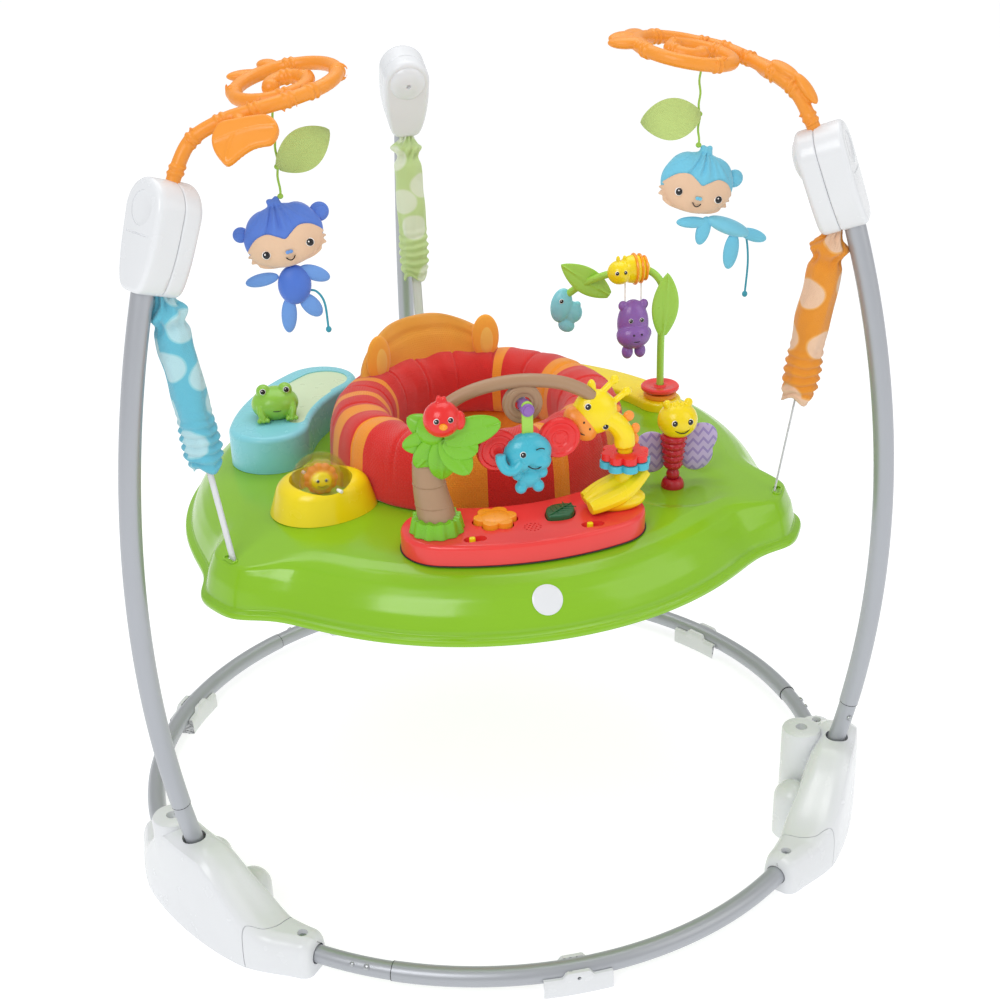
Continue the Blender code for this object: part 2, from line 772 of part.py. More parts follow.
def coil(radius, start, end, turns, steps=6):
    """Points of a helix that hangs down from the hanger."""
    points = []
    for i in range(turns * steps + 1):
        turn = 2 * math.pi * i / steps
        drop = mix(start, end, i / (turns * steps))
        points.append(Vector((radius * math.cos(turn), radius * math.sin(turn), -drop)))
    return points


def print_least_gap(points, radius, steps):
    """Prints the least gap between a coil's turns, measured between its points."""
    least = 1.0
    for i, first in enumerate(points):
        for second in points[i + steps // 2 + 1 :]:
            least = min(least, (first - second).length)
    print(f"least gap between spring turns {1000 * (least - 2 * radius):.1f} mm")


def sleeve_section(drop, sides=8):
    """The gathered sleeve's outline at a distance below the hanger."""
    share = drop / SLEEVE_LENGTH
    neck = smooth_step((drop - SLEEVE_NECK_DROP) / 0.018)
    bunch = math.exp(-(((share - 0.16) / 0.07) ** 2))
    tail = smooth_step((share - 0.90) / 0.10)
    radius = mix(SLEEVE_NECK_RADIUS, SLEEVE_RADIUS, neck) + 0.0015 * bunch
    radius = mix(radius, SLEEVE_NECK_RADIUS + 0.002, tail)
    outline = []
    for side in range(sides):
        turn = 2 * math.pi * side / sides
        fold = math.sin(3 * turn + 26 * share) * math.sin(2 * turn - 17 * share)
        reach = radius + SLEEVE_FOLD * fold * neck * (1 - tail)
        outline.append(Vector((reach * math.cos(turn), reach * math.sin(turn), -drop)))
    return outline


def make_suspension(steel, white, sleeve_looks):
    """A coil spring in a gathered sleeve, and the strap from it to the tray, at each leg."""
    place = suspension_place()
    wire = coil(SPRING_RADIUS, SPRING_START, SPRING_END, SPRING_TURNS)
    print_least_gap(wire, SPRING_WIRE, 6)
    shank = [Vector((0, 0, POCKET_DEPTH - 0.002)), Vector((0, 0, -SPRING_START + 0.006))]
    tail = [Vector((0, 0, -SPRING_END - 0.005)), Vector((0, 0, -SPRING_END - 0.009))]
    length = (hanger_point() - anchor_point()).length
    drops = [-0.008 + (SLEEVE_LENGTH + 0.008) * share for share in SLEEVE_ROWS]
    strap_top = SPRING_END + 0.013
    for side, azimuth in LEG_AZIMUTHS.items():
        spring = pipe(shank + wire + tail, SPRING_WIRE, resolution=0)
        piece(f"spring_{side}", moved(spring, place), steel, azimuth=azimuth)
        skin = loft([sleeve_section(drop) for drop in reversed(drops)], caps=False, recalculate=False)
        wall = skin.modifiers.new("cloth", "SOLIDIFY")
        wall.thickness = SLEEVE_WALL
        wall.offset = -1
        settle(skin)
        piece(f"sleeve_{side}", moved(skin, place), sleeve_looks[side], azimuth=azimuth, crease=80)
        drop = length + LOBE_DROP + STRAP_ANCHOR_BELOW
        middle = Vector((0, 0, -(strap_top + drop) / 2))
        strap = block(middle, (STRAP_THICKNESS, STRAP_WIDTH, drop - strap_top))
        bar = block((0, 0, -drop + 0.001), (0.005, STRAP_WIDTH + 0.009, 0.004))
        join(strap, bar)
        piece(f"strap_{side}", moved(strap, place), white, azimuth=azimuth)


def lobe(azimuth):
    """How far a strap lobe stands out at an azimuth, from 0 to 1."""
    away = min(abs((azimuth - leg + 180) % 360 - 180) for leg in LEG_AZIMUTHS.values())
    return 1 / (1 + (away / LOBE_HALF_ANGLE) ** LOBE_SHARPNESS)


def tray_azimuths():
    """Azimuths round the tray, closer together at the lobes."""
    offsets = [-60, -46, -32, -20, -12, -7, -3]
    offsets += [0] + [-offset for offset in reversed(offsets[1:])]
    return [90 + turn + offset for turn in (0, 120, 240) for offset in offsets]


def make_tray(lime):
    """A moulded shell: hole lip, flat deck, rounded shoulder, skirt with a bead and a bottom flange."""
    skirt = DECK_HEIGHT - TRAY_RIM_HEIGHT
    profile = (
        (TRAY_HOLE_RADIUS, 0.0, DECK_HEIGHT - 0.0145),
        (TRAY_HOLE_RADIUS + 0.001, 0.0, DECK_HEIGHT),
        (TRAY_RIM_RADIUS - 0.072, 0.0, DECK_HEIGHT),
        (TRAY_RIM_RADIUS - 0.064, LOBE_REACH + 0.043, DECK_HEIGHT),
        (TRAY_RIM_RADIUS - 0.042, LOBE_REACH + 0.028, DECK_HEIGHT - 0.10 * skirt),
        (TRAY_RIM_RADIUS - 0.021, LOBE_REACH + 0.013, DECK_HEIGHT - 0.40 * skirt),
        (TRAY_RIM_RADIUS - 0.0095, LOBE_REACH + 0.005, TRAY_RIM_HEIGHT + 0.013),
        (TRAY_RIM_RADIUS, LOBE_REACH, TRAY_RIM_HEIGHT),
    )
    azimuths = tray_azimuths()
    rings = []
    for radius, reach, height in profile:
        sink = LOBE_DROP * (height - TRAY_RIM_HEIGHT) / skirt if reach else 0.0
        ring = []
        for angle in azimuths:
            out = lobe(angle)
            ring.append(polar(radius + reach * out, angle, height - sink * out))
        rings.append(ring)
    tray = loft(rings[::-1], caps=False, recalculate=False)
    wall = tray.modifiers.new("wall", "SOLIDIFY")
    wall.thickness = TRAY_WALL
    wall.offset = -1
    settle(tray)
    slot = (STRAP_THICKNESS + 0.003, STRAP_WIDTH + 0.003, 0.05)
    for azimuth in LEG_AZIMUTHS.values():
        way = suspension_place()
        length = (hanger_point() - anchor_point()).length
        opening = moved(block((0, 0, -length), slot), way)
        cut(tray, moved(opening, Matrix.Rotation(math.radians(azimuth), 4, "Z")))
    return tray


def make_seat(white, red, orange, pivot):
    """A turning ring in the tray's hole, the padded ring with its backrest, and the sling with leg holes."""
    top = DECK_HEIGHT + SEAT_GAP
    collar = SEAT_COLLAR_RADIUS
    profile = [
        (SEAT_FLANGE_INNER, top),
        (collar - SEAT_COLLAR_WALL, top),
        (collar - SEAT_COLLAR_WALL, top - SEAT_COLLAR_DEPTH),
        (collar, top - SEAT_COLLAR_DEPTH),
        (collar, top),
        (SEAT_FLANGE_OUTER, top),
        (SEAT_FLANGE_OUTER, top + SEAT_FLANGE_THICKNESS),
        (SEAT_FLANGE_INNER, top + SEAT_FLANGE_THICKNESS),
    ]
    piece("seat_ring", turned(profile, 24, (0, 0, 0), closed=True), white, pivot)

    bottom = top + SEAT_FLANGE_THICKNESS + SEAT_GAP
    sections = []
    for step in range(PAD_PANELS * 2):
        azimuth = 180 * step / PAD_PANELS
        pinch = PAD_CHANNEL if step % 2 == 0 else 0.0
        section = []
        for point in range(8):
            turn = math.radians(45 * point + 22.5)
            wide = (PAD_HALF_WIDTH - pinch) * math.cos(turn) / math.cos(math.radians(22.5))
            high = (PAD_HEIGHT / 2) * math.sin(turn) / math.cos(math.radians(22.5))
            if high > 0:
                high -= pinch
            section.append(polar(PAD_RADIUS + wide, azimuth, bottom + PAD_HEIGHT / 2 + high))
        sections.append(section)
    pad = loft(sections, ring=True)
    low = bottom + PAD_HEIGHT * 0.6
    panel = []
    for step in range(9):
        share = step / 4 - 1
        azimuth = BACKREST_AZIMUTH + BACKREST_HALF_ANGLE * share
        rise = math.cos(share * math.pi / 2) ** 0.55 if abs(share) < 1 else 0
        crest = mix(low + 0.014, DECK_HEIGHT + BACKREST_RISE, rise)
        half = BACKREST_THICKNESS / 2
        lean = 0.010
        face = (
            (PAD_RADIUS - half + 0.004, low),
            (PAD_RADIUS + half + 0.004, low),
            (PAD_RADIUS + half + lean, mix(low, crest, 0.7)),
            (PAD_RADIUS + half * 0.4 + lean, crest),
            (PAD_RADIUS - half * 0.4 + lean, crest),
            (PAD_RADIUS - half + lean, mix(low, crest, 0.7)),
        )
        panel.append([polar(radius, azimuth, height) for radius, height in face])
    join(pad, loft(panel))
    for offset in EAR_OFFSETS:
        azimuth = BACKREST_AZIMUTH + offset
        centre = polar(PAD_RADIUS + 0.016, azimuth, DECK_HEIGHT + BACKREST_RISE - 0.024)
        ear = ball((0, 0, 0), (0.007, 0.016, 0.026))
        moved(ear, Matrix.Translation(centre) @ Matrix.Rotation(math.radians(azimuth), 4, "Z"))
        join(pad, ear)
    piece("seat_pad", pad, red, pivot, crease=75)

    edge = SEAT_FLANGE_INNER - 0.001
    drops = ((0.0, 1.0), (0.35, 0.96), (0.66, 0.85), (0.88, 0.62), (1.0, 0.28))
    rings = []
    for share, size in drops:
        height = top - SLING_DEPTH * share
        rings.append([polar(edge * size, 20 * i, height) for i in range(18)])
    sling = loft(rings[::-1], caps=False, recalculate=False)
    bm = bmesh.new()
    bm.from_mesh(sling.data)
    lowest = min(vertex.co.z for vertex in bm.verts)
    rim = [e for e in bm.edges if e.is_boundary and e.verts[0].co.z < lowest + WELD]
    bmesh.ops.holes_fill(bm, edges=rim, sides=0)
    bmesh.ops.recalc_face_normals(bm, faces=bm.faces)
    bm.to_mesh(sling.data)
    bm.free()
    cloth = sling.modifiers.new("cloth", "SOLIDIFY")
    cloth.thickness = SLING_WALL
    cloth.offset = -1
    settle(sling)
    for azimuth in LEG_HOLE_AZIMUTHS:
        start, end = (polar(radius, azimuth, DECK_HEIGHT - LEG_HOLE_DROP) for radius in (0.03, 0.20))
        cut(sling, rod(start, end, LEG_HOLE_RADIUS, segments=12))
    piece("seat_sling", sling, orange, pivot, crease=75)


def flower(radius, petals=6):
    """A flower outline round the origin."""
    outline = []
    for step in range(petals * 4):
        turn = 2 * math.pi * step / (petals * 4)
        reach = radius * (0.90 + 0.12 * math.cos(petals * turn))
        outline.append((reach * math.cos(turn), reach * math.sin(turn)))
    return outline


def leaf(length, width, steps=6):
    """A pointed leaf outline along X round the origin."""
    upper = []
    for step in range(steps + 1):
        share = step / steps
        upper.append((length * (share - 0.5), width / 2 * math.sin(math.pi * share) ** 0.75))
    return upper + [(x, -y) for x, y in reversed(upper[1:-1])]


def placed(outline, place, turn=0.0):
    cosine, sine = math.cos(math.radians(turn)), math.sin(math.radians(turn))
    return [(place[0] + x * cosine - y * sine, place[1] + x * sine + y * cosine) for x, y in outline]


def branch_route():
    """The palm trunk and the branch that arches from it to the giraffe, with the radius at each point."""
    rise = BRANCH_RISE
    stations = (
        (TRUNK_X, -TRUNK_SOCKET / rise, TRUNK_RADIUS),
        (TRUNK_X, 0.10, TRUNK_RADIUS - 0.001),
        (TRUNK_X - 0.005, 0.30, TRUNK_RADIUS - 0.0035),
        (TRUNK_X - 0.007, 0.50, TRUNK_RADIUS - 0.006),
        (TRUNK_X - 0.003, 0.66, TRUNK_RADIUS - 0.009),
        (TRUNK_X + 0.006, 0.79, BRANCH_RADIUS + 0.002),
        (TRUNK_X + 0.022, 0.91, BRANCH_RADIUS),
        (TRUNK_X + 0.052, 0.98, BRANCH_RADIUS),
        (TRUNK_X + 0.091, 1.00, BRANCH_RADIUS),
        (NECK_X - 0.071, 0.96, BRANCH_RADIUS),
        (NECK_X - 0.047, 0.89, BRANCH_RADIUS),
        (NECK_X - 0.035, 0.83, BRANCH_RADIUS - 0.001),
    )
    points = [Vector((x, BAR_Y, CONSOLE_TOP + rise * share)) for x, share, _ in stations]
    return points, [radius for _, _, radius in stations]


def branch_tube(clearance=0.0):
    points, radii = branch_route()
    return pipe(points, 1.0, [radius + clearance for radius in radii], resolution=2)


def make_console(coral, orange, green, yellow, buttons, switches):
    """The music console with its buttons and switches, each in its own well."""
    bottom = DECK_HEIGHT + SEAT_GAP
    console = slab(bean(CONSOLE_INNER, CONSOLE_OUTER, CONSOLE_AZIMUTHS, 6), bottom, CONSOLE_TOP, 0.005)
    trunk = (TRUNK_X, BAR_Y, CONSOLE_TOP - TRUNK_SOCKET - SEAT_GAP)
    cut(console, rod(trunk, (TRUNK_X, BAR_Y, CONSOLE_TOP + 0.02), TRUNK_RADIUS + 5 * SEAT_GAP, segments=14))
    well = BUTTON_DEPTH + BUTTON_TRAVEL + SEAT_GAP
    shapes = {
        "flower_button": (flower, (FLOWER_RADIUS,), FLOWER_PLACE, 0.0, orange),
        "leaf_button": (leaf, (LEAF_LENGTH, LEAF_WIDTH), LEAF_PLACE, 38.0, green),
    }
    for name, (shape, sizes, place, turn, material) in shapes.items():
        wide = [size + 2 * RUNNING_GAP + 0.0006 for size in sizes]
        hole = placed(shape(*wide), place, turn)
        cut(console, slab(hole, CONSOLE_TOP - well, CONSOLE_TOP + 0.01))
        outline = placed(shape(*sizes), place, turn)
        top = CONSOLE_TOP + BUTTON_PROUD
        button = slab(outline, CONSOLE_TOP - BUTTON_DEPTH, top, 0.0015)
        piece(name, button, material, buttons[name])
    for name, place in SWITCH_PLACES.items():
        length, width = SWITCH_WELL
        half = (length - width) / 2
        outline = arc((half, 0), width / 2, -90, 90, 5) + arc((-half, 0), width / 2, 90, 270, 5)
        floor = CONSOLE_TOP - SWITCH_WELL_DEPTH
        cut(console, slab(placed(outline, place), floor, CONSOLE_TOP + 0.01))
        size = (*SWITCH_SIZE, SWITCH_WELL_DEPTH + 0.002)
        start = Vector((place[0] - SWITCH_TRAVEL / 2, place[1], floor + SEAT_GAP + size[2] / 2))
        piece(name, block(start, size), yellow, switches[name])
    piece("console", console, coral)


def make_palm(brown, green):
    """The trunk with its frill and hanging loop, and the crown with the bird, seated on the trunk."""
    palm = branch_tube()
    frill_low = CONSOLE_TOP + SEAT_GAP
    frill = placed(flower(FRILL_RADIUS, 6), (TRUNK_X, BAR_Y))
    frill = slab(frill, frill_low, frill_low + FRILL_HEIGHT, 0.003)
    hoop = [
        Vector((LOOP_RADIUS * math.cos(a), BAR_Y, LOOP_HEIGHT + LOOP_RADIUS * math.sin(a)))
        for a in [2 * math.pi * i / 12 for i in range(12)]
    ]
    loop_sections = []
    for i, centre in enumerate(hoop):
        outward = (centre - Vector((0, BAR_Y, LOOP_HEIGHT))).normalized()
        ring = []
        for k in range(6):
            turn = 2 * math.pi * k / 6
            ring.append(centre + LOOP_WIRE * (outward * math.cos(turn) + Vector((0, math.sin(turn), 0))))
        loop_sections.append(ring)
    join(palm, frill, loft(loop_sections, ring=True))
    piece("palm_branch", palm, brown)

    crown_centre = Vector((TRUNK_X + 0.010, CROWN_Y, CONSOLE_TOP + 0.104))
    crown = ball(crown_centre + Vector((-0.008, 0.010, 0.006)), (0.019, 0.018, 0.019), segments=10, rings=6)
    for angle, length in ((38, 0.052), (-28, 0.046), (-75, 0.050), (-122, 0.048), (-168, 0.040)):
        way = Vector((math.cos(math.radians(angle)), 0, math.sin(math.radians(angle))))
        join(crown, ball(crown_centre + way * length / 2, (length / 2 + 0.004, 0.0055, 0.0125), turn=-angle))
    join(crown, ball(crown_centre + Vector((-0.005, -0.010, 0.021)), (0.0185, 0.0170, 0.0185)))
    cut(crown, branch_tube(SEAT_GAP))
    piece("palm_crown", crown, green)


def make_elephant(blue, pivot):
    """The elephant on its strap, with the pin that swings in the branch's loop."""
    pin_end = BAR_Y + LOOP_WIRE + 0.003
    front = BAR_Y - LOOP_WIRE - 0.004
    low = LOOP_HEIGHT - ELEPHANT_DROP
    head = ball((-0.001, ELEPHANT_Y, low), (0.0255, 0.0130, 0.0215), segments=10, rings=6)
    places = ((-0.031, low + 0.007), (0.032, low + 0.013))
    ears = [ball((x, ELEPHANT_Y + 0.0025, z), (0.019, 0.0045, 0.020)) for x, z in places]
    trunk = ball((-0.027, ELEPHANT_Y - 0.003, low - 0.007), (0.013, 0.006, 0.0065), turn=35)
    body = ball((0.000, ELEPHANT_Y, low - 0.026), (0.0130, 0.0090, 0.0130))
    feet = [ball((x, ELEPHANT_Y - 0.003, low - 0.037), (0.006, 0.006, 0.0065)) for x in (-0.009, 0.009)]
    strap_length = ELEPHANT_DROP - 0.0145
    strap = block((0, front + 0.0015, LOOP_HEIGHT - strap_length / 2), (0.008, 0.003, strap_length))
    eye = rod((0, front, LOOP_HEIGHT), (0, front + 0.003, LOOP_HEIGHT), 0.0095)
    pin = rod((0, front + 0.001, LOOP_HEIGHT), (0, pin_end, LOOP_HEIGHT), PIN_RADIUS)
    button = rod((0, pin_end - 0.002, LOOP_HEIGHT), (0, pin_end, LOOP_HEIGHT), LOOP_RADIUS - 0.002)
    piece("elephant", join(head, *ears, trunk, body, *feet, strap, eye, pin, button), blue, pivot)


def make_giraffe(yellow, red, pivot):
    """The giraffe's head on the branch, its neck through the turning rings, and the banana foot."""
    chin = BRANCH_TOP - 0.060
    neck = rod((NECK_X, BAR_Y, CONSOLE_TOP + 0.017), (NECK_X, BAR_Y, chin - 0.008), NECK_RADIUS)
    ledge = (NECK_X, BAR_Y, TOY_RING_HEIGHT - SEAT_GAP)
    shoulder = rod((NECK_X, BAR_Y, CONSOLE_TOP + 0.015), ledge, NECK_SHOULDER_RADIUS)
    nape = rod((NECK_X, BAR_Y, chin - 0.018), (NECK_X - 0.017, BAR_Y, chin + 0.010), 0.0100, 0.0125)
    brow = (NECK_X - 0.029, BAR_Y + 0.007, chin + 0.010)
    head = ball(brow, (0.029, 0.0145, 0.0175), turn=-24, segments=10, rings=6)
    muzzle = ball((NECK_X - 0.048, BAR_Y + 0.006, chin), (0.0165, 0.0135, 0.0160))
    horns = []
    for step in (-0.020, -0.009):
        horn = (NECK_X + step, BAR_Y, chin + 0.019)
        horns.append(rod(horn, (horn[0] + 0.004, BAR_Y, chin + 0.043), 0.0038, 0.0048))
    foot = ball((NECK_X - 0.010, BAR_Y - 0.001, CONSOLE_TOP + 0.011), (0.033, 0.0175, 0.0150))
    bananas = []
    for step, lift in ((-0.012, 0.000), (0.000, 0.006), (0.011, 0.002)):
        route = [
            (NECK_X - 0.046, BAR_Y + step - 0.003, CONSOLE_TOP + 0.007),
            (NECK_X - 0.028, BAR_Y + step, CONSOLE_TOP + 0.014 + lift),
            (NECK_X - 0.004, BAR_Y + step, CONSOLE_TOP + 0.024 + lift),
            (NECK_X + 0.022, BAR_Y + step * 0.6, CONSOLE_TOP + 0.0355 + lift * 0.3),
        ]
        bananas.append(pipe(route, 0.0085, (0.45, 0.9, 1.0, 0.35), resolution=1))
    giraffe = join(neck, shoulder, nape, head, muzzle, *horns, foot, *bananas)
    under = block((NECK_X - 0.010, BAR_Y, CONSOLE_TOP + SEAT_GAP - 0.02), (0.10, 0.06, 0.04))
    cut(giraffe, under, branch_tube(SEAT_GAP))
    piece("giraffe", giraffe, yellow)

    bore = (NECK_RADIUS + RUNNING_GAP) / math.cos(math.pi / 8)
    hub = rod((0, 0, 0), (0, 0, TOY_RING_PITCH + TOY_RING_THICKNESS), bore + 0.004)
    for level, radius in enumerate(TOY_RING_RADII):
        low = level * TOY_RING_PITCH
        join(hub, slab(flower(radius, 5), low, low + TOY_RING_THICKNESS))
    cut(hub, rod((0, 0, -0.01), (0, 0, 0.03), bore))
    moved(hub, Matrix.Translation((NECK_X, BAR_Y, TOY_RING_HEIGHT)))
    piece("giraffe_rings", hub, red, pivot)


def make_blue_station(aqua, green, pivot):
    """The kidney-shaped station with its sunk panel, and the frog turning on a peg."""
    bottom = DECK_HEIGHT + SEAT_GAP
    top = DECK_HEIGHT + BLUE_HEIGHT
    station = slab(bean(BLUE_INNER, BLUE_OUTER, BLUE_AZIMUTHS, 5), bottom, top, 0.009, 2)
    panel = bean(BLUE_INNER + 0.014, BLUE_OUTER - 0.018, (BLUE_AZIMUTHS[0] - 2, FROG_AZIMUTH - 15), 5)
    cut(station, slab(panel, top - BLUE_PANEL_DEPTH, top + 0.01))
    place = polar(FROG_RADIUS_PLACE, FROG_AZIMUTH)
    low = place + Vector((0, 0, top - FROG_PEG_LENGTH - 2 * RUNNING_GAP))
    cut(station, rod(low, place + Vector((0, 0, top + 0.01)), FROG_PEG_RADIUS + RUNNING_GAP))
    piece("blue_station", station, aqua)

    centre = place + Vector((0, 0, top + FROG_SIZE * 0.62))
    frog = ball(centre, (FROG_SIZE, FROG_SIZE * 0.92, FROG_SIZE * 0.74), segments=10, rings=6)
    for side in (-1, 1):
        eye = centre + Vector((side * 0.012, 0.004, FROG_SIZE * 0.62))
        hand = centre + Vector((side * 0.016, -0.017, -0.008))
        join(frog, ball(eye, (0.0068,) * 3))
        join(frog, ball(hand, (0.0085, 0.0085, 0.005)))
    base = place + Vector((0, 0, top + SEAT_GAP))
    cut(frog, block(base - Vector((0, 0, 0.02)), (0.08, 0.08, 0.04)))
    join(frog, rod(base - Vector((0, 0, FROG_PEG_LENGTH)), base + Vector((0, 0, 0.006)), FROG_PEG_RADIUS))
    piece("frog", frog, green, pivot)


def bubble_centre():
    radius, azimuth = BUBBLE_PLACE
    return polar(radius, azimuth, DECK_HEIGHT + BUBBLE_CENTRE_RISE)


def bubble_axis():
    return polar(1.0, BUBBLE_PLACE[1] + 90)


def make_bubble(yellow, clear, orange, pivot):
    """An egg-shaped base with a bearing well, and the clear ball that rolls in it round the lion."""
    length, width = BUBBLE_BASE_SIZE
    outline = []
    for step in range(20):
        turn = 2 * math.pi * step / 20
        outline.append((length * math.cos(turn), width * math.sin(turn) * (1 - 0.12 * math.cos(turn))))
    radius, azimuth = BUBBLE_PLACE
    bottom = DECK_HEIGHT + SEAT_GAP
    top = DECK_HEIGHT + BUBBLE_BASE_HEIGHT
    base = slab(placed(outline, polar(radius, azimuth), azimuth + 90), bottom, top, 0.010, 2)
    centre, axis = bubble_centre(), bubble_axis()
    well = BUBBLE_RADIUS + BUBBLE_GAP
    reach = well + AXLE_BITE
    cut(base, ball(centre, (well,) * 3, segments=12, rings=8))
    play = AXLE_RADIUS + RUNNING_GAP
    cut(base, rod(centre - axis * (reach + RUNNING_GAP), centre + axis * (reach + RUNNING_GAP), play))
    piece("bubble_base", base, yellow)

    bm = bmesh.new()
    bmesh.ops.create_uvsphere(bm, u_segments=10, v_segments=BUBBLE_RINGS, radius=BUBBLE_RADIUS)
    poles = [vertex for vertex in bm.verts if abs(vertex.co.z) > BUBBLE_RADIUS * 0.999]
    bmesh.ops.delete(bm, geom=poles, context="VERTS")
    shell = from_bmesh(bm)
    wall = shell.modifiers.new("wall", "SOLIDIFY")
    wall.thickness = BUBBLE_WALL
    wall.offset = -1
    settle(shell)
    turn = axis.to_track_quat("Z", "Y").to_matrix().to_4x4()
    piece("bubble", moved(shell, Matrix.Translation(centre) @ turn), clear, pivot)

    pole_gap = (BUBBLE_RADIUS - BUBBLE_WALL) * math.sin(math.pi / BUBBLE_RINGS) * 0.92 - RUNNING_GAP
    seat = BUBBLE_RADIUS * math.cos(math.pi / BUBBLE_RINGS)
    figure = rod(centre - axis * reach, centre + axis * reach, AXLE_RADIUS)
    for side in (-1, 1):
        inner = centre + axis * side * (seat - 0.0022)
        join(figure, rod(inner, centre + axis * side * seat, pole_gap))
    join(figure, rod(centre - Vector((0, 0, 0.004)), centre + Vector((0, 0, 0.003)), 0.0175, segments=12))
    join(figure, ball(centre + Vector((0, 0, 0.004)), (0.0125, 0.0125, 0.010)))
    piece("lion_figure", figure, orange, pivot)


def make_butterfly(crimson, lavender, pivot):
    """The ribbed body on its stem with the round head, and the padded wings behind it."""
    place = polar(*BUTTERFLY_PLACE)
    low = DECK_HEIGHT + SEAT_GAP
    foot = BUTTERFLY_FOOT_RADIUS
    profile = [(0.0, low)] + [(x, low + foot + y) for x, y in arc((0, 0), foot, -60, 0, 2)]
    profile += [(0.0048, low + foot + 0.002), (0.0048, low + 0.020)]
    ribs = 3
    height = BUTTERFLY_NECK_HEIGHT - low - 0.020
    for rib in range(ribs):
        swell = mix(0.72, 1.0, rib / (ribs - 1)) * BUTTERFLY_BODY_RADIUS
        start = low + 0.020 + height * rib / ribs
        profile += [(swell * 0.80, start + 0.001), (swell, start + height * 0.16)]
    profile += [(0.008, BUTTERFLY_NECK_HEIGHT), (0.0, BUTTERFLY_NECK_HEIGHT)]
    body = turned(profile, 10, place)
    head = BUTTERFLY_HEAD_RADIUS
    middle = place + Vector((0, 0, BUTTERFLY_NECK_HEIGHT + head * 0.80))
    head_radii = (head, head * 0.85, head * 0.92)
    join(body, ball(middle, head_radii, segments=10, rings=6))
    for side in (-1, 1):
        join(body, ball(middle + Vector((side * 0.012, 0, head * 0.86)), (0.0052,) * 3))
    piece("butterfly", body, crimson, pivot)

    root = place + Vector((0, WING_BACK_STEP, mix(low, BUTTERFLY_NECK_HEIGHT, 0.62)))
    half = WING_THICKNESS / 2
    wings = ball(root, (0.016, half, 0.013))
    for side in (-1, 1):
        join(wings, ball(root + Vector((side * 0.025, 0, 0.012)), (0.021, half, 0.019), turn=side * -28))
        join(wings, ball(root + Vector((side * 0.023, 0, -0.012)), (0.019, half, 0.014), turn=side * 25))
    keep_off = BUTTERFLY_BODY_RADIUS + SEAT_GAP
    below, above = place + Vector((0, 0, low - 0.01)), place + Vector((0, 0, low + 0.12))
    cut(wings, rod(below, above, keep_off, segments=16))
    cut(wings, ball(middle, [size + SEAT_GAP for size in head_radii], segments=10, rings=6))
    piece("butterfly_wings", wings, lavender, pivot)


def arch_route():
    """The stem of the leaf arch, up from its base, over and across towards the seat."""
    foot = polar((ARCH_BASE_INNER + ARCH_BASE_OUTER) / 2, ARCH_BASE_AZIMUTHS[0])
    low = DECK_HEIGHT + ARCH_BASE_HEIGHT - ARCH_SOCKET
    bee = Vector(BEE_CENTRE)
    rises = ((0.0, 0.0, -0.087), (0.003, 0.0, -0.047), (-0.002, 0.001, -0.017))
    overs = ((0.012, 0, -0.001), (-0.024, 0.002, -0.003), (-0.054, 0.020, -0.018), (-0.074, 0.034, -0.036))
    route = [foot + Vector((0, 0, low))]
    route += [foot + Vector((x, y, bee.z + z)) for x, y, z in rises]
    route += [bee + Vector(step) for step in overs]
    return foot, route


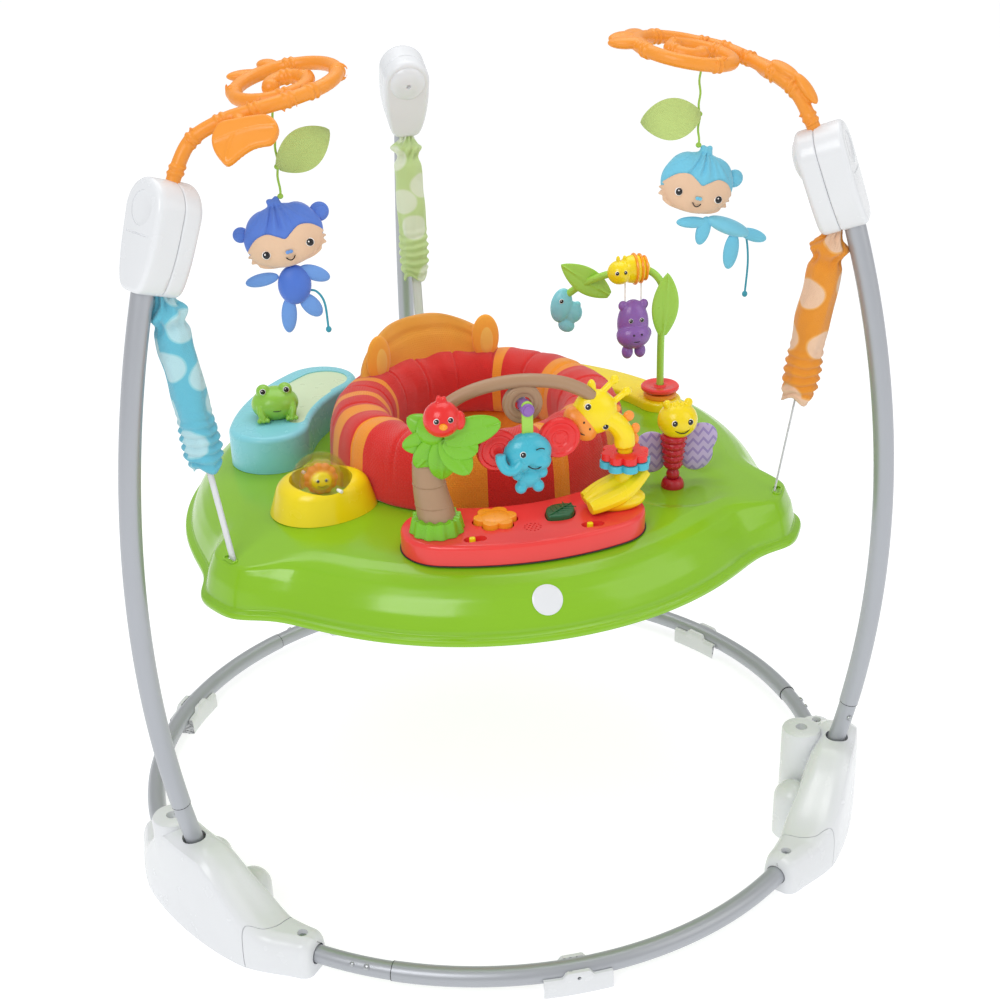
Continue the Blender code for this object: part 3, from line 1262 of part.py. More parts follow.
def make_leaf_arch(yellow, green, red, purple, spin_pivot, swing_pivot):
    """The arch of leaves with the bee and fish on it, the discs round its stem, and the hippo below."""
    foot, route = arch_route()
    bottom = DECK_HEIGHT + SEAT_GAP
    top = DECK_HEIGHT + ARCH_BASE_HEIGHT
    base = slab(bean(ARCH_BASE_INNER, ARCH_BASE_OUTER, ARCH_BASE_AZIMUTHS, 5), bottom, top, 0.004)
    cut(base, socket([route[0] - Vector((0, 0, SEAT_GAP)), route[1]], ARCH_STEM_RADIUS))
    piece("arch_base", base, yellow)

    bee = Vector(BEE_CENTRE)
    arch = pipe(route, ARCH_STEM_RADIUS, resolution=1)
    join(arch, ball(route[2] - Vector((0, 0, 0.004)), (0.0140, 0.0058, 0.036), turn=-4))
    join(arch, ball(route[6] + Vector((0.004, 0, 0.003)), (0.034, 0.0065, 0.0145), turn=-36))
    join(arch, ball(bee, (0.0205, 0.0150, 0.0170), segments=10, rings=6))
    join(arch, ball(bee + Vector((-0.018, -0.002, -0.002)), (0.0145,) * 3))
    join(arch, ball(route[7] + Vector((-0.006, 0, -0.012)), (0.0135, 0.0085, 0.0215), turn=-12))
    join(arch, ball(route[7] + Vector((0.008, 0, -0.022)), (0.0120, 0.0050, 0.0140), turn=20))
    for side in (-1, 1):
        hole = bee + Vector((side * HIPPO_STRING_SPREAD, 0, -0.021))
        cut(arch, rod(hole, hole + Vector((0, 0, 0.011)), HIPPO_STRING_RADIUS + 0.0022))
    piece("leaf_arch", arch, green)

    disc_low = top + SEAT_GAP
    bore = ARCH_STEM_RADIUS + RUNNING_GAP
    disc_top, upper_low = disc_low + DISC_THICKNESS, disc_low + DISC_PITCH
    upper_top = upper_low + DISC_THICKNESS
    profile = [(bore, disc_low), (DISC_RADII[0], disc_low), (DISC_RADII[0], disc_top)]
    profile += [(0.0100, disc_top), (0.0100, upper_low), (DISC_RADII[1], upper_low)]
    profile += [(DISC_RADII[1], upper_top), (bore, upper_top)]
    piece("spin_discs", turned(profile, 12, foot, closed=True), red, spin_pivot)

    middle = Vector((bee.x, bee.y, bee.z - HIPPO_DROP))
    hippo = ball(middle, (0.0175, 0.0130, 0.0240), segments=10, rings=6)
    join(hippo, ball(middle + Vector((-0.001, -0.004, -0.011)), (0.0190, 0.0135, 0.0135)))
    for side in (-1, 1):
        start = middle + Vector((side * HIPPO_STRING_SPREAD, 0, 0.012))
        end = Vector((start.x, start.y, bee.z - HIPPO_PIVOT_DROP + 0.001))
        join(hippo, rod(start, end, HIPPO_STRING_RADIUS, segments=6))
        join(hippo, ball(middle + Vector((side * 0.0125, 0, 0.0195)), (0.0060, 0.0045, 0.0060)))
        join(hippo, ball(middle + Vector((side * 0.008, -0.003, -0.029)), (0.0068, 0.0068, 0.0080)))
    piece("hippo", hippo, purple, swing_pivot)


def make_vine_arm(side, material):
    """A vine from the housing that curls round to its hook, with leaf clusters."""
    centre, (root, _) = vine_centre(), vine_root()
    ring = [centre + point for point in vine_ring()]
    arm = pipe(vine_stem() + ring, VINE_RADIUS, resolution=1)
    for reach, radii, turn in STEM_LEAVES:
        join(arm, ball(root + Vector(reach), radii, turn=turn, axis="Z"))
    angle = VINE_LEAF_ANGLES[side]
    for offset, reach in ((-16, 0.020), (18, 0.024)):
        flat = polar(VINE_RING_RADIUS + reach, angle + offset)
        tip = centre + flat + Vector((0, 0, -VINE_RING_SLOPE * flat.x))
        join(arm, ball(tip, (0.024, 0.014, 0.0055), turn=angle + offset * 2.2, axis="Z"))
    piece(f"vine_arm_{side}", arm, material, azimuth=LEG_AZIMUTHS[side])


MONKEY_LIMBS = {
    "left": (
        ((0.008, -0.051), (0.0165, 0.0105, 0.0185), 0),
        ((-0.022, -0.046), (0.0165, 0.0060, 0.0062), 8),
        ((0.026, -0.042), (0.0150, 0.0060, 0.0068), -22),
        ((0.003, -0.080), (0.0072, 0.0060, 0.0190), 6),
        ((0.021, -0.075), (0.0072, 0.0060, 0.0150), -25),
    ),
    "right": (
        ((0.036, -0.051), (0.0260, 0.0090, 0.0090), 28),
        ((-0.003, -0.044), (0.0190, 0.0060, 0.0062), 3),
        ((0.010, -0.052), (0.0070, 0.0060, 0.0145), 18),
        ((0.041, -0.080), (0.0078, 0.0060, 0.0200), 12),
        ((0.064, -0.064), (0.0160, 0.0060, 0.0065), 20),
    ),
}
MONKEY_TAILS = {
    "left": ((0.020, -0.060), (0.029, -0.063), (0.036, -0.076), (0.038, -0.104)),
    "right": ((0.048, -0.060), (0.056, -0.062), (0.060, -0.090), (0.058, -0.128)),
}


def monkey_head(centre, clearance=0.0):
    return ball(centre, [size + clearance for size in MONKEY_HEAD], segments=10, rings=6)


def make_monkey(side, green, body_look, pivot):
    """A stuffed monkey on its cord, with the cloth leaf tied to the cord."""
    hook = pivot.location
    head_centre = hook - Vector((0, 0, MONKEY_HEAD_DROPS[side]))
    cord_top = hook - Vector((0, 0, VINE_RADIUS + SEAT_GAP))
    head_top = head_centre + Vector((0, 0, MONKEY_HEAD[2] + 0.004))
    knot = head_top + Vector((0, 0, SEAT_GAP))
    cord = pipe([cord_top, cord_top.lerp(knot, 0.5), knot], CORD_RADIUS, resolution=1)
    length, width, thickness = FABRIC_LEAF
    way = 1 if side == "left" else -1
    outline = [(x + length * 0.5, y) for x, y in leaf(length, width)]
    cloth = slab(outline, -thickness / 2, thickness / 2)
    stand = Matrix.Rotation(math.radians(90), 4, "X")
    lean = Matrix.Rotation(math.radians(-30 if side == "left" else 176), 4, "Y")
    tie = cord_top.lerp(knot, 0.70 if side == "left" else 0.62)
    moved(cloth, Matrix.Translation(tie - Vector((way * 0.001, 0, 0))) @ lean @ stand)
    piece(f"mobile_cord_{side}", join(cord, cloth), green, pivot)

    head = monkey_head(head_centre)
    for sign in (-1, 1):
        join(head, ball(head_centre + Vector((sign * 0.041, 0.003, 0.008)), (0.0105, 0.005, 0.0105)))
    join(head, rod(head_top - Vector((0, 0, 0.010)), head_top, 0.0075, 0.0045, segments=8))
    piece(f"monkey_head_{side}", head, body_look, pivot)

    body = None
    for (x, z), radii, turn in MONKEY_LIMBS[side]:
        part = ball(head_centre + Vector((x, 0, z)), radii, turn=turn)
        body = join(body, part) if body else part
    tail = [head_centre + Vector((x, 0.001, z)) for x, z in MONKEY_TAILS[side]]
    join(body, pipe(tail, CORD_RADIUS, resolution=1))
    cut(body, monkey_head(head_centre, SEAT_GAP))
    piece(f"monkey_body_{side}", body, body_look, pivot)


def main():
    start_scene()
    steel = look("powder_coated_steel", "#B5B8BC", 0.35, 0.4)
    spring_steel = look("spring_steel", "#8E9196", 0.3, 1.0)
    white = look("white_plastic", "#F4F4F2", 0.3)
    webbing = look("white_webbing", "#F2F2F0", 0.7)
    lime = look("lime_plastic", "#86C232", 0.25)
    coral = look("coral_plastic", "#EF4B45", 0.3)
    yellow = look("yellow_plastic", "#F5D91E", 0.3)
    orange = look("orange_plastic", "#F59A2E", 0.35)
    aqua = look("aqua_plastic", "#7FD0D8", 0.35)
    leaf_green = look("leaf_green_plastic", "#7DBE2E", 0.35)
    dark_green = look("dark_green_plastic", "#1F6B38", 0.35)
    brown = look("brown_plastic", "#A98767", 0.4)
    sky = look("sky_blue_plastic", "#49B6CF", 0.35)
    purple = look("purple_plastic", "#8E63B0", 0.35)
    crimson = look("crimson_plastic", "#B81F2A", 0.35)
    clear = look("clear_plastic", "#FFFFFF", 0.05, 0.0, 0.3)
    seat_red = look("red_fabric", "#E5352B", 0.85)
    seat_orange = look("orange_fabric", "#F7941E", 0.85)
    lavender = look("lavender_fabric", "#C3B0DA", 0.9)
    cloth_green = look("green_cloth", "#C4DC86", 0.9)
    monkey_looks = {"left": look("blue_cloth", "#5B7FD1", 0.9), "right": look("sky_cloth", "#6BC2DF", 0.9)}
    sleeve_looks = {
        "left": look("aqua_sleeve_cloth", "#7CCDE3", 0.9),
        "right": look("orange_sleeve_cloth", "#F7A238", 0.9),
        "back": look("pale_green_sleeve_cloth", "#CFE7A0", 0.9),
    }

    make_base(steel, white)
    make_feet(white)
    make_legs(steel)
    make_housings(white)
    make_suspension(spring_steel, webbing, sleeve_looks)
    piece("tray", make_tray(lime), lime)
    make_seat(white, seat_red, seat_orange, joint_empty("seat_axis", (0, 0, DECK_HEIGHT)))

    buttons = {
        "flower_button": joint_empty("flower_axis", (*FLOWER_PLACE, CONSOLE_TOP)),
        "leaf_button": joint_empty("leaf_axis", (*LEAF_PLACE, CONSOLE_TOP)),
    }
    switches = {}
    for name, place in SWITCH_PLACES.items():
        switches[name] = joint_empty(name + "_axis", (*place, CONSOLE_TOP))
    make_console(coral, orange, dark_green, yellow, buttons, switches)
    make_palm(brown, leaf_green)
    make_elephant(sky, joint_empty("elephant_axis", (0, BAR_Y, LOOP_HEIGHT)))
    make_giraffe(yellow, coral, joint_empty("giraffe_rings_axis", (NECK_X, BAR_Y, TOY_RING_HEIGHT)))
    frog_place = polar(FROG_RADIUS_PLACE, FROG_AZIMUTH, DECK_HEIGHT + BLUE_HEIGHT)
    make_blue_station(aqua, leaf_green, joint_empty("frog_axis", frog_place))
    make_bubble(yellow, clear, orange, joint_empty("bubble_axis", bubble_centre()))
    butterfly_place = polar(*BUTTERFLY_PLACE, DECK_HEIGHT + SEAT_GAP + BUTTERFLY_FOOT_RADIUS)
    make_butterfly(crimson, lavender, joint_empty("butterfly_axis", butterfly_place))
    bee = Vector(BEE_CENTRE)
    disc_axis = joint_empty("disc_axis", arch_route()[0] + Vector((0, 0, DECK_HEIGHT + ARCH_BASE_HEIGHT)))
    hippo_axis = joint_empty("hippo_axis", (bee.x, bee.y, bee.z - HIPPO_PIVOT_DROP))
    make_leaf_arch(yellow, leaf_green, coral, purple, disc_axis, hippo_axis)

    for side in ("left", "right"):
        make_vine_arm(side, orange)
        hook = Matrix.Rotation(math.radians(LEG_AZIMUTHS[side]), 4, "Z") @ hook_place()
        make_monkey(side, cloth_green, monkey_looks[side], joint_empty(f"monkey_{side}_axis", hook))


main()
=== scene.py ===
"""The looks of a baby activity jumper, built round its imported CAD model. Metres, +Z up, front to -Y.

Places are counted from the middle of the ring base, and settle() moves each piece to the row's origin.
"""

import math

import bmesh
import bpy
from mathutils import Matrix, Vector, noise


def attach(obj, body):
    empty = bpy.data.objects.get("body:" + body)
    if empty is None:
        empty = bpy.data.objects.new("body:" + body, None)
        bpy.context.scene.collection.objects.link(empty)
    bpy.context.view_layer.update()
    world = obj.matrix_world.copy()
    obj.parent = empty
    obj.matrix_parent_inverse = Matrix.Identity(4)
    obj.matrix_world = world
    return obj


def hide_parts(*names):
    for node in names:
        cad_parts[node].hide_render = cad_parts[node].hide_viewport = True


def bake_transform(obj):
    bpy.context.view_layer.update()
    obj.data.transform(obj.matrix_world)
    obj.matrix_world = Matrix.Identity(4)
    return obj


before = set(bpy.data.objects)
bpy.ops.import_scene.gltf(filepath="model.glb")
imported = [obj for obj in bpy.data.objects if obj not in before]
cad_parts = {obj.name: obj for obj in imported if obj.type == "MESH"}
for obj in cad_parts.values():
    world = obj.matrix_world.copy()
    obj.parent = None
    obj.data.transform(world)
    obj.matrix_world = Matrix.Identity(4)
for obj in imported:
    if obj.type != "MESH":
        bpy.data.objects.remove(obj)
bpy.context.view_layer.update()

RING_CENTRE = Vector((0.0, -0.020, 0.0))
LEGS = {"left": 210.0, "right": 330.0, "back": 90.0}
TUBES = {"front": 270.0, "left": 150.0, "right": 30.0}

# Base and legs, 22 mm tube
TUBE_RADIUS = 0.011
STUB_RADIUS = 0.0101
RING_RADIUS = 0.420
RING_HEIGHT = 0.021
RING_JOINT_ANGLE = 33.5
RING_TUBE_ANGLE = 42.0
RING_BUTTONS = ((-32.4, 0.0026), (-30.2, 0.0034))
SADDLE_HALF_ANGLE = 5.0
LEG_BELLY_RADIUS = 0.466
LEG_BELLY_HEIGHT = 0.385
LEG_BEND_RADIUS = 1.20
LEG_BOTTOM_HEIGHT = 0.066
LEG_JOINT_HEIGHT = 0.168
LEG_TOP_HEIGHT = 0.803
FOOT_HALF_ANGLE = 21.5
FOOT_HEIGHT = 0.118
FOOT_END_HEIGHT = 0.046
FOOT_BULGE_RADIUS = 0.0215
FOOT_BULGE_HEIGHT = 0.048
FOOT_BULGE_ANGLES = (-5.6, 5.6)
FOOT_BOSS_HEIGHT = 0.1235
FOOT_BOSSES = {"left": (-5.8, 0.437), "right": (0.0, 0.394), "back": (0.0, 0.394)}

# Springs, along the hanger from its pin
SPRING_RADIUS = 0.0072
SPRING_WIRE = 0.0011
SPRING_TURNS = 24
SPRING_START = 0.016
SPRING_END = 0.158
STRAP_TOP = 0.170

# Spring housings
HOUSING_HEIGHT = 0.786
HOUSING_LENGTH = 0.108
HOUSING_WIDTH = 0.058
HOUSING_FOOT_WIDTH = 0.050
HOUSING_SEAM = -0.0135
HOUSING_OUTSIDE = 0.0155
HOUSING_INSIDE = -0.0345
HANGER_DEPTH = -0.0238
SLEEVE_LENGTH = 0.188
SLEEVE_CLOTH = (0.115, 0.198)

# Tray and seat. What stands on the deck is held 0.3 mm off it
DECK = 0.440
ON_DECK = DECK + 0.0003
STRAP_SLOT_RADIUS = 0.349
LOBE_DROP = 0.012
LOBE_HALF_ANGLE = 8.0
LOBE_SHARPNESS = 4
LOBE_SLOPE = 8.2
PAD_RADIUS = 0.133
PAD_BOTTOM = 0.4466
PAD_HEIGHT = 0.072
PAD_CHANNEL_ANGLE = 22.5
BACKREST_AZIMUTH = 106.0
BACKREST_HALF_ANGLE = 42.0
BACKREST_TOP = 0.566
EAR_OFFSETS = (-30.0, 29.0)
LEG_HOLE_AZIMUTHS = (235.0, 305.0)
LEG_HOLE_HEIGHT = 0.350
SLING_CLOTH = (0.80, 0.22)

# Console, and what grows from it
CONSOLE_TOP = 0.463
CONSOLE_REACH = (0.196, 0.290)
CONSOLE_AZIMUTHS = (250.0, 290.0)
FLOWER_BUTTON = Vector((-0.031, -0.230, 0.0))
LEAF_BUTTON = Vector((0.038, -0.233, 0.0))
LEAF_BUTTON_TURN = 38.0
SWITCHES = {"volume_switch": -0.060, "power_switch": 0.064}
SWITCH_Y = -0.266
SPEAKER = Vector((0.003, -0.255, 0.0))
BAR_Y = -0.233
TRUNK_X = -0.093
NECK_X = 0.108
LOOP_HEIGHT = 0.5925
GIRAFFE_HEAD = Vector((0.0765, BAR_Y + 0.004, 0.5705))
GIRAFFE_TILT = 51.8

# The other toys, by (radius, azimuth) on the tray
STATION_TOP = DECK + 0.044
FROG_PLACE = (0.236, 162.0)
BUBBLE_PLACE = (0.2215, 208.0)
BUTTERFLY_PLACE = (0.241, 322.0)
BUTTERFLY_PIVOT = 0.4523
ARCH_FOOT = (0.260, 17.0)
BEE = Vector((0.214, 0.080, 0.617))

# Hanging toys
CORD_DIAMETER = 0.0024
CLOTH_LEAF = (0.062, 0.042)

SIDES = (-1, 1)
# The white colours each eye's ring and its painted highlight, and the black colours its bead.
EYE_LOOKS = ["print_white", "black"]
WAVE_SCALE = math.pi / 10  # the scale at which a Wave texture repeats once in a metre


def linear(code):
    """An sRGB hex colour as linear RGBA."""
    parts = [int(code[i : i + 2], 16) / 255 for i in (1, 3, 5)]
    return [c / 12.92 if c <= 0.04045 else ((c + 0.055) / 1.055) ** 2.4 for c in parts] + [1.0]


def polar(radius, azimuth, height=0.0):
    turn = math.radians(azimuth)
    return Vector((radius * math.cos(turn), radius * math.sin(turn), height))


def mix(a, b, share):
    return a + (b - a) * share


def ramp(value, low=0.0, high=1.0):
    """0 below low, 1 above high, and smooth between."""
    share = min(max((value - low) / (high - low), 0.0), 1.0)
    return share * share * (3.0 - 2.0 * share)


def bump(value, middle, width):
    return math.exp(-(((value - middle) / width) ** 2))


def up(height):
    return Vector((0.0, 0.0, height))


def turned(degrees, axis="Z"):
    return Matrix.Rotation(math.radians(degrees), 4, axis)


def curve_through(points, steps, closed=False):
    """A smooth line through points, with equal steps between each two. Works on any vectors."""
    rows = [Vector(p) for p in points]
    if closed:
        rows = [rows[-1], *rows, rows[0], rows[1]]
    else:
        rows = [rows[0] * 2 - rows[1], *rows, rows[-1] * 2 - rows[-2]]
    line = []
    for a, b, c, d in zip(rows, rows[1:], rows[2:], rows[3:]):
        for step in range(steps):
            t = step / steps
            square = (a * 2 - b * 5 + c * 4 - d) * t * t
            line.append(0.5 * (b * 2 + (c - a) * t + square + (b * 3 - a - c * 3 + d) * t**3))
    return line + [rows[-2]]


def along(rows, share):
    """The place at a share of the way through a row of points, straight between neighbours."""
    spot = min(max(share, 0.0), 1.0) * (len(rows) - 1)
    low = min(int(spot), len(rows) - 2)
    return mix(Vector(rows[low]), Vector(rows[low + 1]), spot - low)


def add(tree, kind, inputs=None, **settings):
    """Adds a node with its settings. An input that is given a socket is linked, and any other is set."""
    made = tree.nodes.new(kind)
    for name, value in settings.items():
        setattr(made, name, value)
    for key, value in (inputs or {}).items():
        if isinstance(value, bpy.types.NodeSocket):
            tree.links.new(value, made.inputs[key])
        else:
            made.inputs[key].default_value = value
    return made


def surface(name, code, **sockets):
    """A Principled material with its sockets set, its node tree, and the object's coordinates."""
    material = bpy.data.materials.new(name)
    material.use_nodes = True
    tree = material.node_tree
    shader = tree.nodes["Principled BSDF"]
    shader.inputs["Base Color"].default_value = linear(code)
    for key, value in sockets.items():
        shader.inputs[key.replace("_", " ")].default_value = value
    return material, tree, shader, add(tree, "ShaderNodeTexCoord")


def clouded(tree, shader, code, vector, size, depth):
    """Lets a colour drift a little lighter and darker over patches of this size in metres."""
    cloud = add(tree, "ShaderNodeTexNoise", {"Vector": vector, "Scale": 1 / size, "Detail": 3.0})
    dark = [c * (1 - depth) for c in linear(code)[:3]] + [1.0]
    light = [min(c * (1 + depth), 1.0) for c in linear(code)[:3]] + [1.0]
    tone = add(tree, "ShaderNodeMix", {0: cloud.outputs["Fac"], 6: dark, 7: light}, data_type="RGBA")
    tree.links.new(tone.outputs[2], shader.inputs["Base Color"])
    return tone


def embossed(tree, shader, height, depth, strength=1.0):
    """Raises the surface by a pattern's height, with its depth in metres."""
    relief = add(tree, "ShaderNodeBump", {"Height": height, "Distance": depth, "Strength": strength})
    tree.links.new(relief.outputs["Normal"], shader.inputs["Normal"])
    return relief


def gloss_plastic(name, code, roughness=0.22, peel=0.00006):
    """Injection-moulded ABS: an even colour under a gloss with a faint orange peel of about 3 mm.

    Its gloss is a little worn in patches of about 22 mm."""
    material, tree, shader, coords = surface(name, code, Roughness=roughness, IOR=1.50)
    place = coords.outputs["Object"]
    clouded(tree, shader, code, place, 0.06, 0.035)
    fine = add(tree, "ShaderNodeTexNoise", {"Vector": place, "Scale": 1 / 0.00303, "Detail": 2.0})
    embossed(tree, shader, fine.outputs["Fac"], peel)
    worn = add(tree, "ShaderNodeTexNoise", {"Vector": place, "Scale": 1 / 0.0222, "Detail": 4.0})
    spread = {"Value": worn.outputs["Fac"], "From Min": 0.3, "From Max": 0.7}
    spread.update({"To Min": roughness * 0.8, "To Max": roughness * 1.3})
    tree.links.new(add(tree, "ShaderNodeMapRange", spread).outputs[0], shader.inputs["Roughness"])
    return material


def satin_plastic(name, code):
    """Polypropylene from a spark-eroded mould: satin. Its grain is drawn at 3 mm, coarser than life."""
    return gloss_plastic(name, code, roughness=0.36, peel=0.00012)


def powder_coat(name, code):
    """Powder-coated steel tube: satin grey with a tight 1.1 mm pebbled grain and a slight metallic lift."""
    material, tree, shader, coords = surface(name, code, Roughness=0.36, Metallic=0.45)
    place = coords.outputs["Object"]
    clouded(tree, shader, code, place, 0.09, 0.04)
    grain = add(tree, "ShaderNodeTexNoise", {"Vector": place, "Scale": 1 / 0.001111, "Detail": 2.0})
    embossed(tree, shader, grain.outputs["Fac"], 0.00008)
    return material


def zinc_plate(name, code):
    """Zinc-plated screw steel: bright, with fine turning marks, drawn at 0.7 mm."""
    material, tree, shader, coords = surface(name, code, Roughness=0.28, Metallic=1.0)
    marks = {"Vector": coords.outputs["Object"], "Scale": 1 / 0.000667, "Detail": 2.0}
    embossed(tree, shader, add(tree, "ShaderNodeTexNoise", marks).outputs["Fac"], 0.00005)
    return material


def weave_height(tree, vector, thread):
    """The height of a plain weave whose threads lie this far apart: over and under in turn."""
    waves = [
        add(tree, "ShaderNodeTexWave", {"Vector": vector, "Scale": WAVE_SCALE / thread}, bands_direction=axis)
        for axis in ("X", "Y")
    ]
    over = add(tree, "ShaderNodeTexChecker", {"Vector": vector, "Scale": 1 / thread})
    threads = {0: over.outputs["Fac"], 2: waves[0].outputs["Fac"], 3: waves[1].outputs["Fac"]}
    return add(tree, "ShaderNodeMix", threads).outputs[0]


def woven_cloth(name, code, thread=0.0015, depth=0.00035, spots=None):
    """Brushed polyester plain weave: matt with a soft sheen. Threads are drawn at 1.5 mm, coarser than life.

    spots is (colour, colour of the edge, cell size): printed rounded patches."""
    material, tree, shader, coords = surface(
        name, code, Roughness=0.82, Sheen_Weight=0.35, Sheen_Roughness=0.45, Specular_IOR_Level=0.25
    )
    flat = coords.outputs["UV"]
    colour = clouded(tree, shader, code, flat, 0.035, 0.07).outputs[2]
    embossed(tree, shader, weave_height(tree, flat, thread), depth)
    if spots:
        patch, edge, cell = spots
        lie = {"Vector": flat, "Scale": (0.85, 1.05, 1.0), "Rotation": (0, 0, 0.5)}
        lie = add(tree, "ShaderNodeMapping", lie)
        cells = {"Vector": lie.outputs[0], "Scale": 1 / cell, "Randomness": 0.72}
        away = add(tree, "ShaderNodeTexVoronoi", cells, voronoi_dimensions="2D").outputs["Distance"]
        for limit, shade in ((0.40, edge), (0.365, patch)):
            fade = {"Value": away, "From Min": limit, "From Max": limit - 0.02}
            inside = add(tree, "ShaderNodeMapRange", fade)
            layers = {0: inside.outputs[0], 6: colour, 7: linear(shade)}
            colour = add(tree, "ShaderNodeMix", layers, data_type="RGBA").outputs[2]
        tree.links.new(colour, shader.inputs["Base Color"])
    return material


def wavy_cloth(name, code, band, width=0.011, length=0.012, height=0.007):
    """Printed polyester: even zigzag bands, drawn at their real width of about a centimetre."""
    material, tree, shader, coords = surface(
        name, code, Roughness=0.8, Sheen_Weight=0.35, Specular_IOR_Level=0.25
    )
    place = coords.outputs["Object"]
    zigzag = {"Vector": place, "Scale": WAVE_SCALE / length, "Distortion": 0.0}
    zigzag = add(tree, "ShaderNodeTexWave", zigzag, bands_direction="X", wave_profile="TRI")
    parts = add(tree, "ShaderNodeSeparateXYZ", {"Vector": place})
    raised = {0: zigzag.outputs["Fac"], 1: height, 2: parts.outputs["Z"]}
    raised = add(tree, "ShaderNodeMath", raised, operation="MULTIPLY_ADD")
    turns = add(tree, "ShaderNodeMath", {0: raised.outputs[0], 1: math.tau / width}, operation="MULTIPLY")
    wave = add(tree, "ShaderNodeMath", {0: turns.outputs[0]}, operation="SINE")
    inside = add(tree, "ShaderNodeMapRange", {"Value": wave.outputs[0], "From Min": 0.35, "From Max": 0.55})
    layers = {0: inside.outputs[0], 6: linear(code), 7: linear(band)}
    printed = add(tree, "ShaderNodeMix", layers, data_type="RGBA")
    tree.links.new(printed.outputs[2], shader.inputs["Base Color"])
    nap = add(tree, "ShaderNodeTexNoise", {"Vector": place, "Scale": 1 / 0.001111, "Detail": 3.0})
    embossed(tree, shader, nap.outputs["Fac"], 0.0002)
    return material


def plush_cloth(name, code, satin=False):
    """Knitted toy fabric: a soft nap of about 1 mm with sheen, or smoother and brighter as satin."""
    roughness, nap_depth = (0.45, 0.0001) if satin else (0.85, 0.00025)
    material, tree, shader, coords = surface(
        name, code, Roughness=roughness, Sheen_Weight=0.5, Sheen_Roughness=0.4, Specular_IOR_Level=0.35
    )
    place = coords.outputs["Object"]
    clouded(tree, shader, code, place, 0.02, 0.06)
    nap = add(tree, "ShaderNodeTexNoise", {"Vector": place, "Scale": 1 / 0.001111, "Detail": 3.0})
    embossed(tree, shader, nap.outputs["Fac"], nap_depth)
    return material


def webbing(name, code):
    """Polyester webbing: a tight ribbed weave, ribs drawn at 1.4 mm."""
    material, tree, shader, coords = surface(name, code, Roughness=0.7, Sheen_Weight=0.2)
    embossed(tree, shader, weave_height(tree, coords.outputs["UV"], 0.0014), 0.0004)
    clouded(tree, shader, code, coords.outputs["Object"], 0.03, 0.04)
    return material


def clear_plastic(name):
    """Blown clear polycarbonate: glassy, with a faint tint."""
    return surface(
        name, "#FBFDFF", Roughness=0.03, IOR=1.45, Transmission_Weight=1.0, Specular_IOR_Level=0.7, Alpha=0.20
    )[0]


